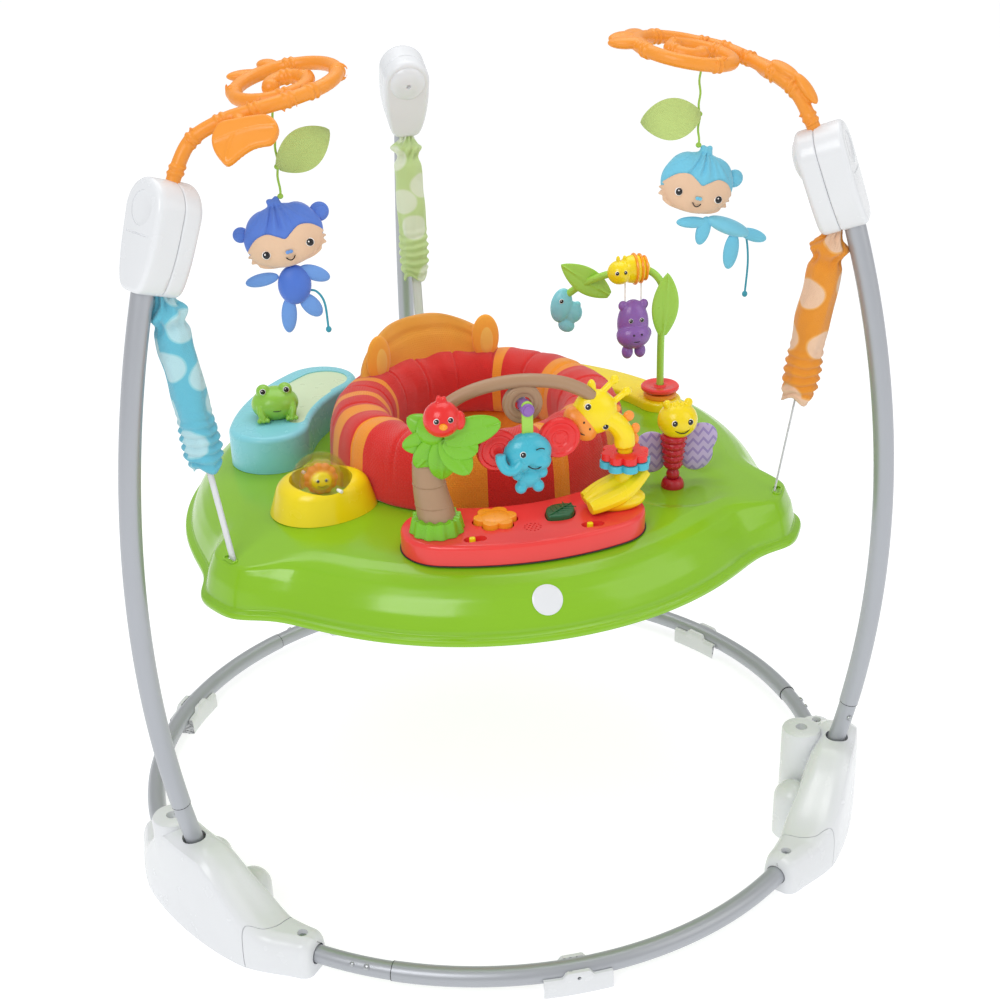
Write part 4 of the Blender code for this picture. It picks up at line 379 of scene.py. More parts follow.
LOOKS = {
    "steel": powder_coat("powder_coated_tube_steel", "#AEB1B7"),
    "spring": zinc_plate("zinc_plated_spring_wire", "#A9ACB0"),
    "screw": zinc_plate("zinc_plated_screw", "#B4B7BA"),
    "white": gloss_plastic("moulded_white_abs", "#E2E4E7", 0.22, 0.00002),
    # dark: painted shade, a dark gloss laid in the thin gaps at the tube joints and round the console's foot,
    # where shade falls
    "dark": gloss_plastic("painted_gap_shade", "#2C2D30", 0.5),
    "webbing": webbing("white_polyester_webbing", "#EEF0F2"),
    "lime": gloss_plastic("moulded_lime_polypropylene", "#88BE1E", 0.17),
    "coral": gloss_plastic("moulded_coral_abs", "#EC3F3C", 0.20),
    "yellow": gloss_plastic("moulded_yellow_abs", "#F6DC14", 0.22),
    "orange": satin_plastic("satin_orange_polypropylene", "#EE952C"),
    "amber": gloss_plastic("moulded_amber_abs", "#F79E22", 0.25),
    "aqua": gloss_plastic("moulded_aqua_abs", "#86D3DF", 0.25),
    "frog_green": gloss_plastic("moulded_frog_green_abs", "#8FC846", 0.22),
    "sky": gloss_plastic("moulded_sky_blue_abs", "#45B6CC", 0.27),
    "leaf": gloss_plastic("moulded_leaf_green_abs", "#77BE25", 0.26),
    "pale_leaf": gloss_plastic("moulded_pale_green_abs", "#A3D44F", 0.28),
    "pine": gloss_plastic("moulded_dark_green_abs", "#1A5F36", 0.24),
    "brown": satin_plastic("satin_brown_polypropylene", "#A98768"),
    "purple": gloss_plastic("moulded_purple_abs", "#8F63B3", 0.25),
    "crimson": gloss_plastic("moulded_crimson_abs", "#BE1E2D", 0.25),
    "ear_red": gloss_plastic("moulded_ear_red_abs", "#E62B2A", 0.24),
    "muzzle": gloss_plastic("moulded_muzzle_orange_abs", "#F5973A", 0.28),
    "black": gloss_plastic("gloss_black_paint", "#141416", 0.12),
    "print_white": gloss_plastic("gloss_white_paint", "#FBFBFA", 0.2),
    "mint": gloss_plastic("pale_mint_label_film", "#D3E6C0", 0.3),
    "clear": clear_plastic("clear_polycarbonate"),
    "seat_red": woven_cloth("red_brushed_polyester", "#DE2A25"),
    "seat_orange": woven_cloth("orange_brushed_polyester", "#F89A2A"),
    # painted light: the seat's orange made lighter for the back flap and its ears, to lift the shade that
    # falls on them
    "flap_orange": woven_cloth("orange_brushed_polyester_painted_lighter", "#FFAE42"),
    "ear_orange": woven_cloth("pale_orange_brushed_polyester", "#FBC25E"),
    "wing": wavy_cloth("lavender_printed_polyester", "#C4B2DC", "#9F8BC8"),
    "leaf_cloth": woven_cloth("pale_green_felt", "#C6DE85"),
    "blue_plush": plush_cloth("blue_knitted_plush", "#5A80D6"),
    "blue_satin": plush_cloth("blue_toy_satin", "#4B74CE", True),
    "light_blue": plush_cloth("light_blue_knitted_plush", "#6E9BDC"),
    "sky_plush": plush_cloth("sky_blue_knitted_plush", "#74C6E2"),
    "sky_satin": plush_cloth("sky_blue_toy_satin", "#7ACAE4", True),
    "peach": plush_cloth("peach_face_plush", "#E6C3A4"),
    "cord_green": plush_cloth("green_braided_cord", "#9CC64F"),
    "cord_teal": plush_cloth("teal_braided_cord", "#3E9AAE"),
    "sleeve_left": woven_cloth("aqua_printed_polyester", "#6CC6DE", spots=("#BFE7EF", "#9BDAE6", 0.045)),
    "sleeve_right": woven_cloth("orange_printed_polyester", "#F29B30", spots=("#F8CFAE", "#F8B766", 0.045)),
    "sleeve_back": woven_cloth(
        "pale_green_printed_polyester", "#CDE59D", spots=("#EAF4D6", "#DCEDBC", 0.045)
    ),
}


def settle(mesh, name):
    """Turns a bmesh into an object, moved from the ring's middle to the row's origin."""
    bmesh.ops.translate(mesh, verts=mesh.verts, vec=RING_CENTRE)
    bmesh.ops.recalc_face_normals(mesh, faces=mesh.faces)
    data = bpy.data.meshes.new(name)
    mesh.to_mesh(data)
    mesh.free()
    obj = bpy.data.objects.new(name, data)
    bpy.context.scene.collection.objects.link(obj)
    return obj


def piece(name, mesh, looks, body, replaces=(), crease=40):
    """Shows a bmesh as a named piece that moves with its body. looks is one name or several by face.

    A piece between two bodies gives them both, with the points where it leaves one and joins the other. These
    are not used: such a piece stays where it is and moves with neither."""
    obj = settle(mesh, name)
    for look in [looks] if isinstance(looks, str) else looks:
        obj.data.materials.append(LOOKS[look])
    obj.data.shade_smooth()
    obj.data.set_sharp_from_angle(angle=math.radians(crease))
    if isinstance(body, str):
        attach(obj, body)
    else:
        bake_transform(obj)
    if replaces:
        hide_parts(*replaces)
    return obj


def as_bmesh(obj):
    """A working object's mesh with its modifiers, as a bmesh. The object goes."""
    depsgraph = bpy.context.evaluated_depsgraph_get()
    data = bpy.data.meshes.new_from_object(obj.evaluated_get(depsgraph))
    mesh = bmesh.new()
    mesh.from_mesh(data)
    mesh.transform(obj.matrix_world)
    for block in (data, obj.data):
        (bpy.data.meshes if isinstance(block, bpy.types.Mesh) else bpy.data.curves).remove(block)
    return mesh


def working(mesh):
    """A bmesh as a nameless working object for modifiers."""
    data = bpy.data.meshes.new("working")
    mesh.to_mesh(data)
    mesh.free()
    obj = bpy.data.objects.new("working", data)
    bpy.context.scene.collection.objects.link(obj)
    return obj


def joined(*meshes):
    """Several bmeshes as one, without a union."""
    whole = meshes[0]
    for other in meshes[1:]:
        data = bpy.data.meshes.new("joined")
        other.to_mesh(data)
        other.free()
        whole.from_mesh(data)
        bpy.data.meshes.remove(data)
    return whole


def aimed(place, outward, upward=(0, 0, 1)):
    """A frame at a place with +Z along outward and +Y as near to upward as it can be."""
    z = Vector(outward).normalized()
    x = Vector(upward).cross(z).normalized()
    y = z.cross(x)
    return Matrix.Translation(Vector(place)) @ Matrix((x, y, z)).transposed().to_4x4()


def ball(centre, radii, turn=None, detail=4):
    """A ball, or an ellipsoid where radii has three values. turn is a rotation matrix."""
    mesh = bmesh.new()
    size = Matrix.Scale(radii, 4) if isinstance(radii, float) else Matrix.Diagonal((*radii, 1.0))
    matrix = Matrix.Translation(Vector(centre)) @ (turn or Matrix()) @ size
    bmesh.ops.create_icosphere(mesh, subdivisions=detail, radius=1.0, matrix=matrix)
    return mesh


def tube(points, radius, sides=20, radii=None, closed=False):
    """A round tube through points. radii swell and narrow it, as a share of its radius at each point."""
    curve = bpy.data.curves.new("tube", "CURVE")
    curve.dimensions = "3D"
    curve.bevel_depth = radius
    curve.bevel_resolution = sides // 4 - 1
    curve.use_fill_caps = not closed
    spline = curve.splines.new("POLY")
    spline.points.add(len(points) - 1)
    for index, point in enumerate(points):
        spline.points[index].co = (*Vector(point)[:3], 1.0)
        spline.points[index].radius = radii[index] if radii else 1.0
    spline.use_cyclic_u = closed
    obj = bpy.data.objects.new("tube", curve)
    bpy.context.scene.collection.objects.link(obj)
    mesh = as_bmesh(obj)
    bmesh.ops.remove_doubles(mesh, verts=mesh.verts, dist=1e-6)
    return mesh


def grid(columns, rows, place, flat=None):
    """A sheet of faces: each vertex goes to place(u, v), with u and v from 0 to 1. Meeting edges join.

    flat is the sheet's real size in metres, which scales its UV."""
    mesh = bmesh.new()
    layer = mesh.loops.layers.uv.verify()
    bmesh.ops.create_grid(mesh, x_segments=columns, y_segments=rows, size=0.5, calc_uvs=True)
    for vertex in mesh.verts:
        vertex.co = place(vertex.co.x + 0.5, vertex.co.y + 0.5)
    if flat:
        for face in mesh.faces:
            for loop in face.loops:
                loop[layer].uv = (loop[layer].uv[0] * flat[0], loop[layer].uv[1] * flat[1])
    bmesh.ops.remove_doubles(mesh, verts=mesh.verts, dist=2e-6)
    return mesh


def slab(outline, bottom, top, rim=0.0, steps=3, places=120):
    """An outline given by outline(share) as a flat piece with a rounded upper rim."""
    mesh = bmesh.new()
    bmesh.ops.create_circle(mesh, cap_ends=True, segments=places, radius=1.0)
    mesh.verts.ensure_lookup_table()
    for index, vertex in enumerate(mesh.verts):
        x, y = outline(index / places)[:2]
        vertex.co = (x, y, bottom)
    raised = bmesh.ops.extrude_face_region(mesh, geom=mesh.faces[:])
    upper = {v for v in raised["geom"] if isinstance(v, bmesh.types.BMVert)}
    bmesh.ops.translate(mesh, verts=list(upper), vec=(0, 0, top - bottom))
    bmesh.ops.recalc_face_normals(mesh, faces=mesh.faces)
    if rim:
        edges = [
            e for e in mesh.edges
            if all(v in upper for v in e.verts) and any(abs(f.normal.z) < 0.5 for f in e.link_faces)
        ]
        bmesh.ops.bevel(
            mesh, geom=edges, offset=rim, segments=steps, affect="EDGES", profile=0.5, material=-1,
            clamp_overlap=True,
        )
    return mesh


def lathe(profile, steps=48, matrix=None):
    """Spins a profile of (radius, height) round Z."""
    mesh = bmesh.new()
    verts = [mesh.verts.new((radius, 0.0, height)) for radius, height in profile]
    edges = [mesh.edges.new(pair) for pair in zip(verts, verts[1:])]
    bmesh.ops.spin(
        mesh, geom=verts + edges, cent=(0, 0, 0), axis=(0, 0, 1), angle=math.tau, steps=steps, use_merge=True
    )
    bmesh.ops.remove_doubles(mesh, verts=mesh.verts, dist=1e-6)
    bmesh.ops.recalc_face_normals(mesh, faces=mesh.faces)
    if matrix:
        mesh.transform(matrix)
    return mesh


def closed(mesh):
    """A sheet with its open ends filled and its faces turned outward."""
    bmesh.ops.holes_fill(mesh, edges=[e for e in mesh.edges if e.is_boundary], sides=0)
    bmesh.ops.recalc_face_normals(mesh, faces=mesh.faces)
    return mesh


def rod(start, end, radius, steps=32, rim=0.0):
    """A round rod with softened ends."""
    way = Vector(end) - Vector(start)
    long = way.length
    rim = rim or radius * 0.12
    profile = [(0, 0), (radius - rim, 0), (radius - rim * 0.3, rim * 0.3), (radius, rim)]
    profile += [(radius, long - rim), (radius - rim * 0.3, long - rim * 0.3), (radius - rim, long), (0, long)]
    upward = (0, 1, 0) if abs(way.normalized().z) > 0.9 else (0, 0, 1)
    return lathe(profile, steps, aimed(start, way, upward))


def moulded(meshes, voxel, smooth=4, cuts=()):
    """Blends overlapping shapes into one skin, and cuts others out of it."""
    obj = working(joined(*meshes))
    skin = obj.modifiers.new("skin", "REMESH")
    skin.mode = "VOXEL"
    skin.voxel_size = voxel
    soft = obj.modifiers.new("soft", "SMOOTH")
    soft.factor = 0.5
    soft.iterations = smooth
    mesh = as_bmesh(obj)
    return less(mesh, *cuts) if cuts else mesh


def combined(mesh, others, operation):
    """A closed bmesh joined with others, or with them cut out of it, one after another."""
    obj = working(mesh)
    tools = [working(other) for other in others]
    for tool in tools:
        step = obj.modifiers.new("step", "BOOLEAN")
        step.operation = operation
        step.solver = "MANIFOLD"
        step.object = tool
    mesh = as_bmesh(obj)
    for tool in tools:
        bpy.data.meshes.remove(tool.data)
    return mesh


def less(mesh, *cuts):
    return combined(mesh, cuts, "DIFFERENCE")


def fused(mesh, *others):
    return combined(mesh, others, "UNION")


def walled(mesh, thickness):
    """A skin given a wall on its inner side."""
    bmesh.ops.recalc_face_normals(mesh, faces=mesh.faces)
    obj = working(mesh)
    wall = obj.modifiers.new("wall", "SOLIDIFY")
    wall.thickness = thickness
    wall.offset = -1
    return as_bmesh(obj)


def leg_point(height):
    """A point on the bowed leg's line, at azimuth 0."""
    rise = height - LEG_BELLY_HEIGHT
    return Vector((LEG_BELLY_RADIUS - LEG_BEND_RADIUS + math.sqrt(LEG_BEND_RADIUS**2 - rise**2), 0.0, height))


def housing_place():
    """A frame in the middle of the spring housing, with +Z up along the leaning leg."""
    lean = math.asin((HOUSING_HEIGHT - LEG_BELLY_HEIGHT) / LEG_BEND_RADIUS)
    return Matrix.Translation(leg_point(HOUSING_HEIGHT)) @ Matrix.Rotation(-lean, 4, "Y")


def hanger_point():
    """The pin inside the housing that the spring hangs from."""
    return housing_place() @ Vector((HANGER_DEPTH, 0.0, -HOUSING_LENGTH / 2))


def suspension_place():
    """A frame at the hanger with +Z up along the spring."""
    upward = (hanger_point() - Vector((STRAP_SLOT_RADIUS, 0.0, DECK))).normalized()
    outward = Vector((0.0, 1.0, 0.0)).cross(upward)
    turn = Matrix((outward, Vector((0.0, 1.0, 0.0)), upward)).transposed().to_4x4()
    return Matrix.Translation(hanger_point()) @ turn


def suspension_length():
    """How far the strap's slot in the tray lies from the hanger."""
    return (hanger_point() - Vector((STRAP_SLOT_RADIUS, 0.0, DECK))).length


def joint_gap_shade(place, way, upward=(0, 0, 1)):
    """Painted shade in the gap round a tube where it meets its drawn-down stub: a thin dark ring just under
    its skin.
    """
    inner, outer = TUBE_RADIUS - 0.0010, TUBE_RADIUS - 0.0002
    low, high = -0.0007, 0.0002
    profile = [(inner, low), (outer, low), (outer, high), (inner, high), (inner, low)]
    return lathe(profile, 48, aimed(place, way, upward))


def build_base():
    """Ring tubes with drawn-down stubs and spring buttons, and the saddles under them."""
    for side, azimuth in TUBES.items():
        joint = azimuth + RING_JOINT_ANGLE - 60
        end, start = azimuth + RING_TUBE_ANGLE, azimuth - RING_TUBE_ANGLE
        main = [polar(RING_RADIUS, mix(joint, end, i / 40), RING_HEIGHT) for i in range(41)]
        stub = [polar(RING_RADIUS, mix(start, joint + 1, i / 12), RING_HEIGHT) for i in range(13)]
        skin = joined(tube(main, TUBE_RADIUS, 32, [0.99] + [1.0] * 40), tube(stub, STUB_RADIUS, 32))
        buttons = []
        for angle, size in RING_BUTTONS:
            way = polar(1, azimuth + angle, 0.75).normalized()
            place = polar(RING_RADIUS, azimuth + angle, RING_HEIGHT) + way * (STUB_RADIUS - 0.0008)
            profile = [(0, 0), (size, 0), (size, 0.0016), (size * 0.7, 0.0024), (0, 0.0027)]
            buttons.append(lathe(profile, 24, aimed(place, way)))
        piece(f"ring_tube_{side}", skin, "steel", "frame", [f"base_tube_{side}"])
        piece(f"ring_button_{side}", joined(*buttons), "screw", "frame")
        # painted shade: a dark ring in the gap where the tube meets its stub
        gap = joint_gap_shade(polar(RING_RADIUS, joint, RING_HEIGHT), polar(1, joint + 90))
        piece(f"ring_joint_shade_{side}", gap, "dark", "frame")
        build_saddle(side, azimuth)


def build_saddle(side, azimuth):
    """A saddle that lifts the ring off the floor, with a screw lug in its middle."""

    def saddle_point(u, v):
        angle = mix(-SADDLE_HALF_ANGLE, SADDLE_HALF_ANGLE, u)
        rise = 0.0215 + 0.0060 * (1 - ramp(abs(angle), 1.5, 2.4))
        half = [(0.0165, 0.0), (0.0170, 0.003), (0.0165, rise - 0.003), (0.0150, rise), (0.0120, rise)]
        profile = [(-x, z) for x, z in half] + half[::-1]
        spot = v * (len(profile) - 1)
        low = min(int(spot), len(profile) - 2)
        x, z = (mix(a, b, spot - low) for a, b in zip(profile[low], profile[low + 1]))
        return polar(RING_RADIUS + x, angle, z)

    route = [polar(RING_RADIUS, angle - 8, RING_HEIGHT) for angle in range(17)]
    groove = tube(route, TUBE_RADIUS + 0.0004, 32)
    way_in = tube([point + up(0.009) for point in route], TUBE_RADIUS * 0.98, 32)
    hole = rod(polar(RING_RADIUS, 0, 0.018), polar(RING_RADIUS + 0.03, 0, 0.0235), 0.0022)
    shell = grid(40, 36, saddle_point)
    bmesh.ops.holes_fill(shell, edges=[e for e in shell.edges if e.is_boundary], sides=0)
    saddle = less(shell, groove, way_in, hole)
    saddle.transform(turned(azimuth))
    piece(f"floor_saddle_{side}", saddle, "white", "frame", [f"floor_pad_{side}"], 30)


def foot_section(share):
    """The foot's closed section at a share of its length, as (radius, height) from the outer floor edge."""
    offset = abs(mix(-FOOT_HALF_ANGLE, FOOT_HALF_ANGLE, share))
    nose = min(max((offset - FOOT_HALF_ANGLE + 1.5) / 1.5, 0.0), 1.0)
    nose = 1 - math.sqrt(1 - nose * nose)
    height = mix(FOOT_HEIGHT, FOOT_END_HEIGHT, ramp(offset, 3.4, FOOT_HALF_ANGLE * 0.74)) - 0.009 * nose
    inset = 0.016 * ramp(offset, FOOT_HALF_ANGLE / 2, FOOT_HALF_ANGLE)
    tall = ramp(height, FOOT_END_HEIGHT, FOOT_HEIGHT)
    outer, inner = RING_RADIUS + 0.040 - inset - 0.008 * nose, RING_RADIUS - 0.022 + inset / 3 + 0.003 * nose
    middle = mix(outer, inner, 0.5)
    corners = (
        (outer - 0.004, 0.0), (outer, 0.005),
        (outer + 0.0004, height * 0.45), (outer - 0.0012, height - 0.014),
        (outer - 0.006, height - 0.0045), (outer - 0.016, height), (middle, height),
        (inner + 0.010 + 0.011 * tall, height - 0.0005 - 0.0010 * tall),
        (inner + 0.003 + 0.010 * tall, height - 0.0060 - 0.0050 * tall),
        (inner + 0.006 * tall, height - 0.0180 - 0.0160 * tall),
        (inner - 0.0002, height * 0.4), (inner, 0.005), (inner + 0.004, 0.0), (middle, 0.0),
    )
    return curve_through(corners, 4, closed=True)


# An end cap's seam across the foot: its places' distances from the middle and their azimuths, in degrees.
FOOT_SEAM = ((0.485, 12.2), (0.458, 12.2), (0.450, 12.8), (0.440, 14.4), (0.420, 15.4), (0.370, 16.0))


def foot_seam(sign):
    """A thin wall that parts an end cap from the foot: straight up the outer side, bent across the top."""
    route = curve_through([polar(radius, sign * angle) for radius, angle in FOOT_SEAM], 5)

    def outline(share):
        there = share < 0.5
        spot = along(route, share / 0.48 if there else (1 - share) / 0.48)
        return spot + polar(0.00055 if there else -0.00055, sign * 14 + 90)

    return slab(outline, -0.01, 0.2, places=100)


def foot_shell():
    """The foot's plain moulding, with its sections closer together near the ends, where it rounds over."""
    steps = 96
    shares = [mix(i / steps, (1 - math.cos(math.pi * i / steps)) / 2, 0.7) for i in range(steps + 1)]
    sections = [foot_section(share) for share in shares]

    def foot_point(u, v):
        index = round(u * steps)
        radius, rise = along(sections[index], v)
        return polar(radius, mix(-FOOT_HALF_ANGLE, FOOT_HALF_ANGLE, shares[index]), rise)

    return closed(grid(steps, 56, foot_point))


def foot_bulge(angle):
    """A round bulge with a domed top on the foot's inner side."""
    profile = [(0.0, 0.0), (FOOT_BULGE_RADIUS, 0.0)]
    for step in range(13):
        turn = math.radians(7.5 * step)
        rise = FOOT_BULGE_HEIGHT + FOOT_BULGE_RADIUS * math.sin(turn)
        profile.append((FOOT_BULGE_RADIUS * math.cos(turn), rise))
    return lathe(profile, 56, Matrix.Translation(polar(RING_RADIUS - 0.026, angle)))


def screw_head(place):
    """A slotted screw head that stands on the bottom of its hole."""
    profile = [(0, 0), (0.0044, 0), (0.0044, 0.0012), (0.0034, 0.0022), (0, 0.0024)]
    head = lathe(profile, 32, Matrix.Translation(place))
    return less(head, rod(place + up(0.0011), place + up(0.0076), 0.0014, 6, 0.0001))


def build_feet():
    """Moulded feet: a smooth saddle with end caps, a leg socket, bulges inside and a screw boss on top."""
    for side, (boss_angle, boss_radius) in FOOT_BOSSES.items():
        lumps = [foot_bulge(angle) for angle in FOOT_BULGE_ANGLES]
        low, high = (polar(boss_radius, boss_angle, height) for height in (0.02, FOOT_BOSS_HEIGHT))
        lumps.append(rod(low, high, 0.0228, 64, 0.004))
        leg = [leg_point(mix(0.060, 0.180, i / 8)) for i in range(9)]
        cuts = [rod(high - up(0.012), high + up(0.01), 0.0068), tube(leg, TUBE_RADIUS + 0.0020, 32)]
        heads = []
        for sign in SIDES:
            route = [polar(RING_RADIUS, sign * mix(17.9, 27.0, i / 8), RING_HEIGHT) for i in range(9)]
            cuts.append(tube(route, TUBE_RADIUS + 0.0007, 32))
            spot = polar(RING_RADIUS + 0.003, sign * 19.3, FOOT_END_HEIGHT)
            cuts.append(rod(spot - up(0.0055), spot + up(0.02), 0.0058, 32, 0.0003))
            cuts.append(foot_seam(sign))
            heads.append(screw_head(spot - up(0.0056)))
        foot = less(fused(foot_shell(), *lumps), *cuts)
        screws = joined(*heads)
        for mesh in (foot, screws):
            mesh.transform(turned(LEGS[side]))
        piece(f"foot_shell_{side}", foot, "white", "frame", [f"foot_{side}"], 32)
        piece(f"foot_screws_{side}", screws, "screw", "frame")


def build_legs():
    """Bowed legs, each a long tube and a stub that is drawn down where it enters the foot."""
    for side, azimuth in LEGS.items():
        main = [leg_point(mix(LEG_JOINT_HEIGHT, LEG_TOP_HEIGHT, i / 60)) for i in range(61)]
        stub = [leg_point(mix(LEG_BOTTOM_HEIGHT, LEG_JOINT_HEIGHT + 0.004, i / 10)) for i in range(11)]
        skin = joined(tube(main, TUBE_RADIUS, 32, [0.99] + [1.0] * 60), tube(stub, STUB_RADIUS, 32))
        button = ball(leg_point(0.150) + Vector((0.006, -0.0078, 0)), 0.0034, detail=3)
        way = leg_point(LEG_JOINT_HEIGHT + 0.001) - leg_point(LEG_JOINT_HEIGHT - 0.001)
        # painted shade: a dark ring in the gap where the leg meets its stub
        gap = joint_gap_shade(leg_point(LEG_JOINT_HEIGHT), way, (0, 1, 0))
        for mesh in (skin, button, gap):
            mesh.transform(turned(azimuth))
        piece(f"leg_joint_shade_{side}", gap, "dark", "frame")
        piece(f"leg_tube_{side}", skin, "steel", "frame", [f"leg_{side}"])
        piece(f"leg_button_{side}", button, "screw", "frame")


def housing_edge(share):
    """The housing's outline, width by height: a capsule with a narrower, softer foot."""
    turn = math.tau * share
    half = HOUSING_WIDTH / 2
    y, z = math.sin(turn), math.cos(turn)
    middle = HOUSING_LENGTH / 2 - half
    if z >= 0:
        return half * y, half * z + middle
    low = mix(half, HOUSING_FOOT_WIDTH / 2, ramp(-z, 0.0, 0.9))
    if abs(y) < 1:
        y = math.copysign(abs(y) ** 0.42, y)
    return low * y, middle - (HOUSING_LENGTH - half) * abs(z) ** 0.62


def housing_half(near, far, rim):
    """One moulded half, from the seam at near to a rounded face at far."""
    sign = 1 if far > near else -1
    depth = abs(far - near)
    middle = Vector((0.0, 0.012))
    rows = [(0.0, 0.0012), (0.0012, 0.0), (depth - rim, 0.0)]
    for step in range(1, 7):
        turn = math.radians(15 * step)
        rows.append((depth - rim + rim * math.sin(turn), rim * (1 - math.cos(turn))))
    last = len(rows) - 1

    def place(u, v):
        edge = Vector(housing_edge(u))
        spot = v * (last + 2)
        out, inset = along(rows, spot / last)
        flat = edge - edge.normalized() * inset
        if spot >= last:
            share = (spot - last) / 2
            flat = flat.lerp(middle, share)
            out += 0.0008 * ramp(share)
        return Vector((near + sign * out, flat.x, flat.y))

    return closed(grid(96, 44, place))


def build_housings():
    """Spring housings in two halves: a flat outer face with a blank round recess, and a round bump inside."""
    height = HOUSING_LENGTH / 2 - HOUSING_WIDTH / 2
    low = -HOUSING_LENGTH / 2
    for side, azimuth in LEGS.items():
        outer = housing_half(HOUSING_SEAM + 0.0002, HOUSING_OUTSIDE, 0.0055)
        ends = [(HOUSING_OUTSIDE + depth, 0, height) for depth in (-0.0008, 0.01)]
        recess = rod(*ends, 0.0165, 64, 0.0006)
        line = tube([(HOUSING_OUTSIDE + 0.0006, y, height - 0.024) for y in (-0.019, 0.0, 0.019)], 0.0011, 12)
        inner = housing_half(HOUSING_SEAM - 0.0002, HOUSING_INSIDE, 0.0065)
        boss = ball((HOUSING_INSIDE + 0.003, 0, height), (0.0100, 0.0235, 0.0235), detail=5)
        screw = rod((HOUSING_INSIDE - 0.02, 0, height), (HOUSING_INSIDE - 0.0035, 0, height), 0.0030)
        well = tube([(HANGER_DEPTH, 0, low - 0.010), (HANGER_DEPTH, 0, low + 0.0125)], 0.0089, 32)
        shells = joined(less(outer, recess, line), less(joined(inner, boss), screw, well))
        shells.transform(turned(azimuth) @ housing_place())
        replaced = [f"housing_outer_{side}", f"housing_inner_{side}"]
        piece(f"spring_housing_{side}", shells, "white", "frame", replaced, 35)


def sleeve_point(u, v):
    """A point on the gathered sleeve in the spring's frame: u round it and v down it."""
    turn = math.tau * u
    drop = -0.010 + (SLEEVE_LENGTH + 0.010) * v
    share = drop / SLEEVE_LENGTH
    radius = mix(0.0080, 0.0182, ramp(drop, 0.002, 0.040))
    radius += 0.0078 * bump(drop, 0.0165, 0.0065) - 0.0030 * bump(drop, 0.0300, 0.0060)
    radius = mix(radius, 0.0150, ramp(share, 0.90, 1.0))
    pinch = bump(drop, 0.014, 0.016)
    pleat = 0.0026 * pinch * math.sin(7 * turn + 260 * drop + 2 * math.sin(2 * turn))
    pleat += 0.0009 * math.sin(9 * turn + 40 * drop) * (0.25 + pinch)
    around = Vector((1.3 * math.cos(turn), 1.3 * math.sin(turn), 26 * drop))
    soft = 0.0026 * noise.noise(around) * ramp(drop, 0.03, 0.06)
    rings = math.sin(620 * drop + 1.4 * math.sin(turn + 2) + 2.0 * noise.noise(around))
    gather = 0.0017 * rings * ramp(share, 0.60, 0.80)
    reach = radius + pleat + soft + gather * (1 - 0.5 * ramp(share, 0.95, 1.0))
    hem = 0.004 * math.sin(3 * turn + 0.6) * ramp(share, 0.90, 1.0)
    return Vector((reach * math.cos(turn), reach * math.sin(turn), -drop + hem))


def spring_line():
    """The wire of an extension spring: a straight end, coils that widen and narrow again, and an end."""
    line = [up(0.010), up(0.006 - SPRING_START)]
    steps = SPRING_TURNS * 20
    for step in range(steps + 1):
        share = step / steps
        swell = SPRING_RADIUS * ramp(share, 0.0, 0.02) * (1 - ramp(share, 0.98, 1.0))
        line.append(polar(swell, 360 * SPRING_TURNS * share, -mix(SPRING_START, SPRING_END, share)))
    return line + [up(-SPRING_END - 0.004), up(-STRAP_TOP - 0.0010)]


def strap_shape():
    """The flat webbing strap, from the spring's end through the tray's slot."""
    low = suspension_length() + LOBE_DROP + 0.010

    def strap_point(u, v):
        turn = math.tau * u
        x, y = math.cos(turn), math.sin(turn)
        return Vector((0.0010 * x, 0.00625 * math.copysign(abs(y) ** 0.35, y), -mix(STRAP_TOP, low, v)))

    return closed(grid(32, 60, strap_point, (0.0295, low - STRAP_TOP)))


def build_suspension():
    """The springs, the cloth sleeves over them, and the webbing straps to the tray."""
    for side, azimuth in LEGS.items():
        way = turned(azimuth) @ suspension_place()
        spring = tube(spring_line(), SPRING_WIRE, 10)
        skin = walled(grid(96, 120, sleeve_point, SLEEVE_CLOTH), 0.0008)
        strap = strap_shape()
        for mesh in (spring, skin, strap):
            mesh.transform(way)
        stretch = ("frame", "tray", way @ up(-SPRING_START), way @ up(-SPRING_END))
        piece(f"extension_spring_{side}", spring, "spring", stretch, [f"spring_{side}"])
        stretch = ("frame", "tray", way @ up(-0.03), way @ up(-SLEEVE_LENGTH))
        node = f"sleeve_{side}"
        sleeve = piece(f"spring_sleeve_{side}", skin, node, stretch, [node], 180)
        piece(f"strap_webbing_{side}", strap, "webbing", "tray", [f"strap_{side}"], 60)


def lobe(azimuth):
    """How far a strap lobe stands out at an azimuth, from 0 to 1."""
    away = min(abs((azimuth - leg + 180) % 360 - 180) for leg in LEGS.values())
    return 1 / (1 + (away / LOBE_HALF_ANGLE) ** LOBE_SHARPNESS)


TRAY_SOFT = (
    (0.1580, 0.4255), (0.1582, 0.4370), (0.1605, 0.4400),
    (0.2200, 0.4402), (0.2720, 0.4400), (0.2860, 0.4392),
    (0.3000, 0.4354), (0.3120, 0.4282), (0.3220, 0.4180), (0.3305, 0.4048), (0.3362, 0.3915),
)
TRAY_LOBE = (
    (0.1580, 0.4255), (0.1582, 0.4370), (0.1605, 0.4400),
    (0.2300, 0.4402), (0.2760, 0.4396), (0.3250, 0.4324),
    (0.3530, 0.4284), (0.3572, 0.4266), (0.3594, 0.4220), (0.3655, 0.4085), (0.3695, 0.3915),
)
TRAY_FLANGE = (
    (0.0, 0.0), (0.0008, -0.0045), (0.0038, -0.0062),
    (0.0074, -0.0072), (0.0084, -0.0100), (0.0076, -0.0135),
)


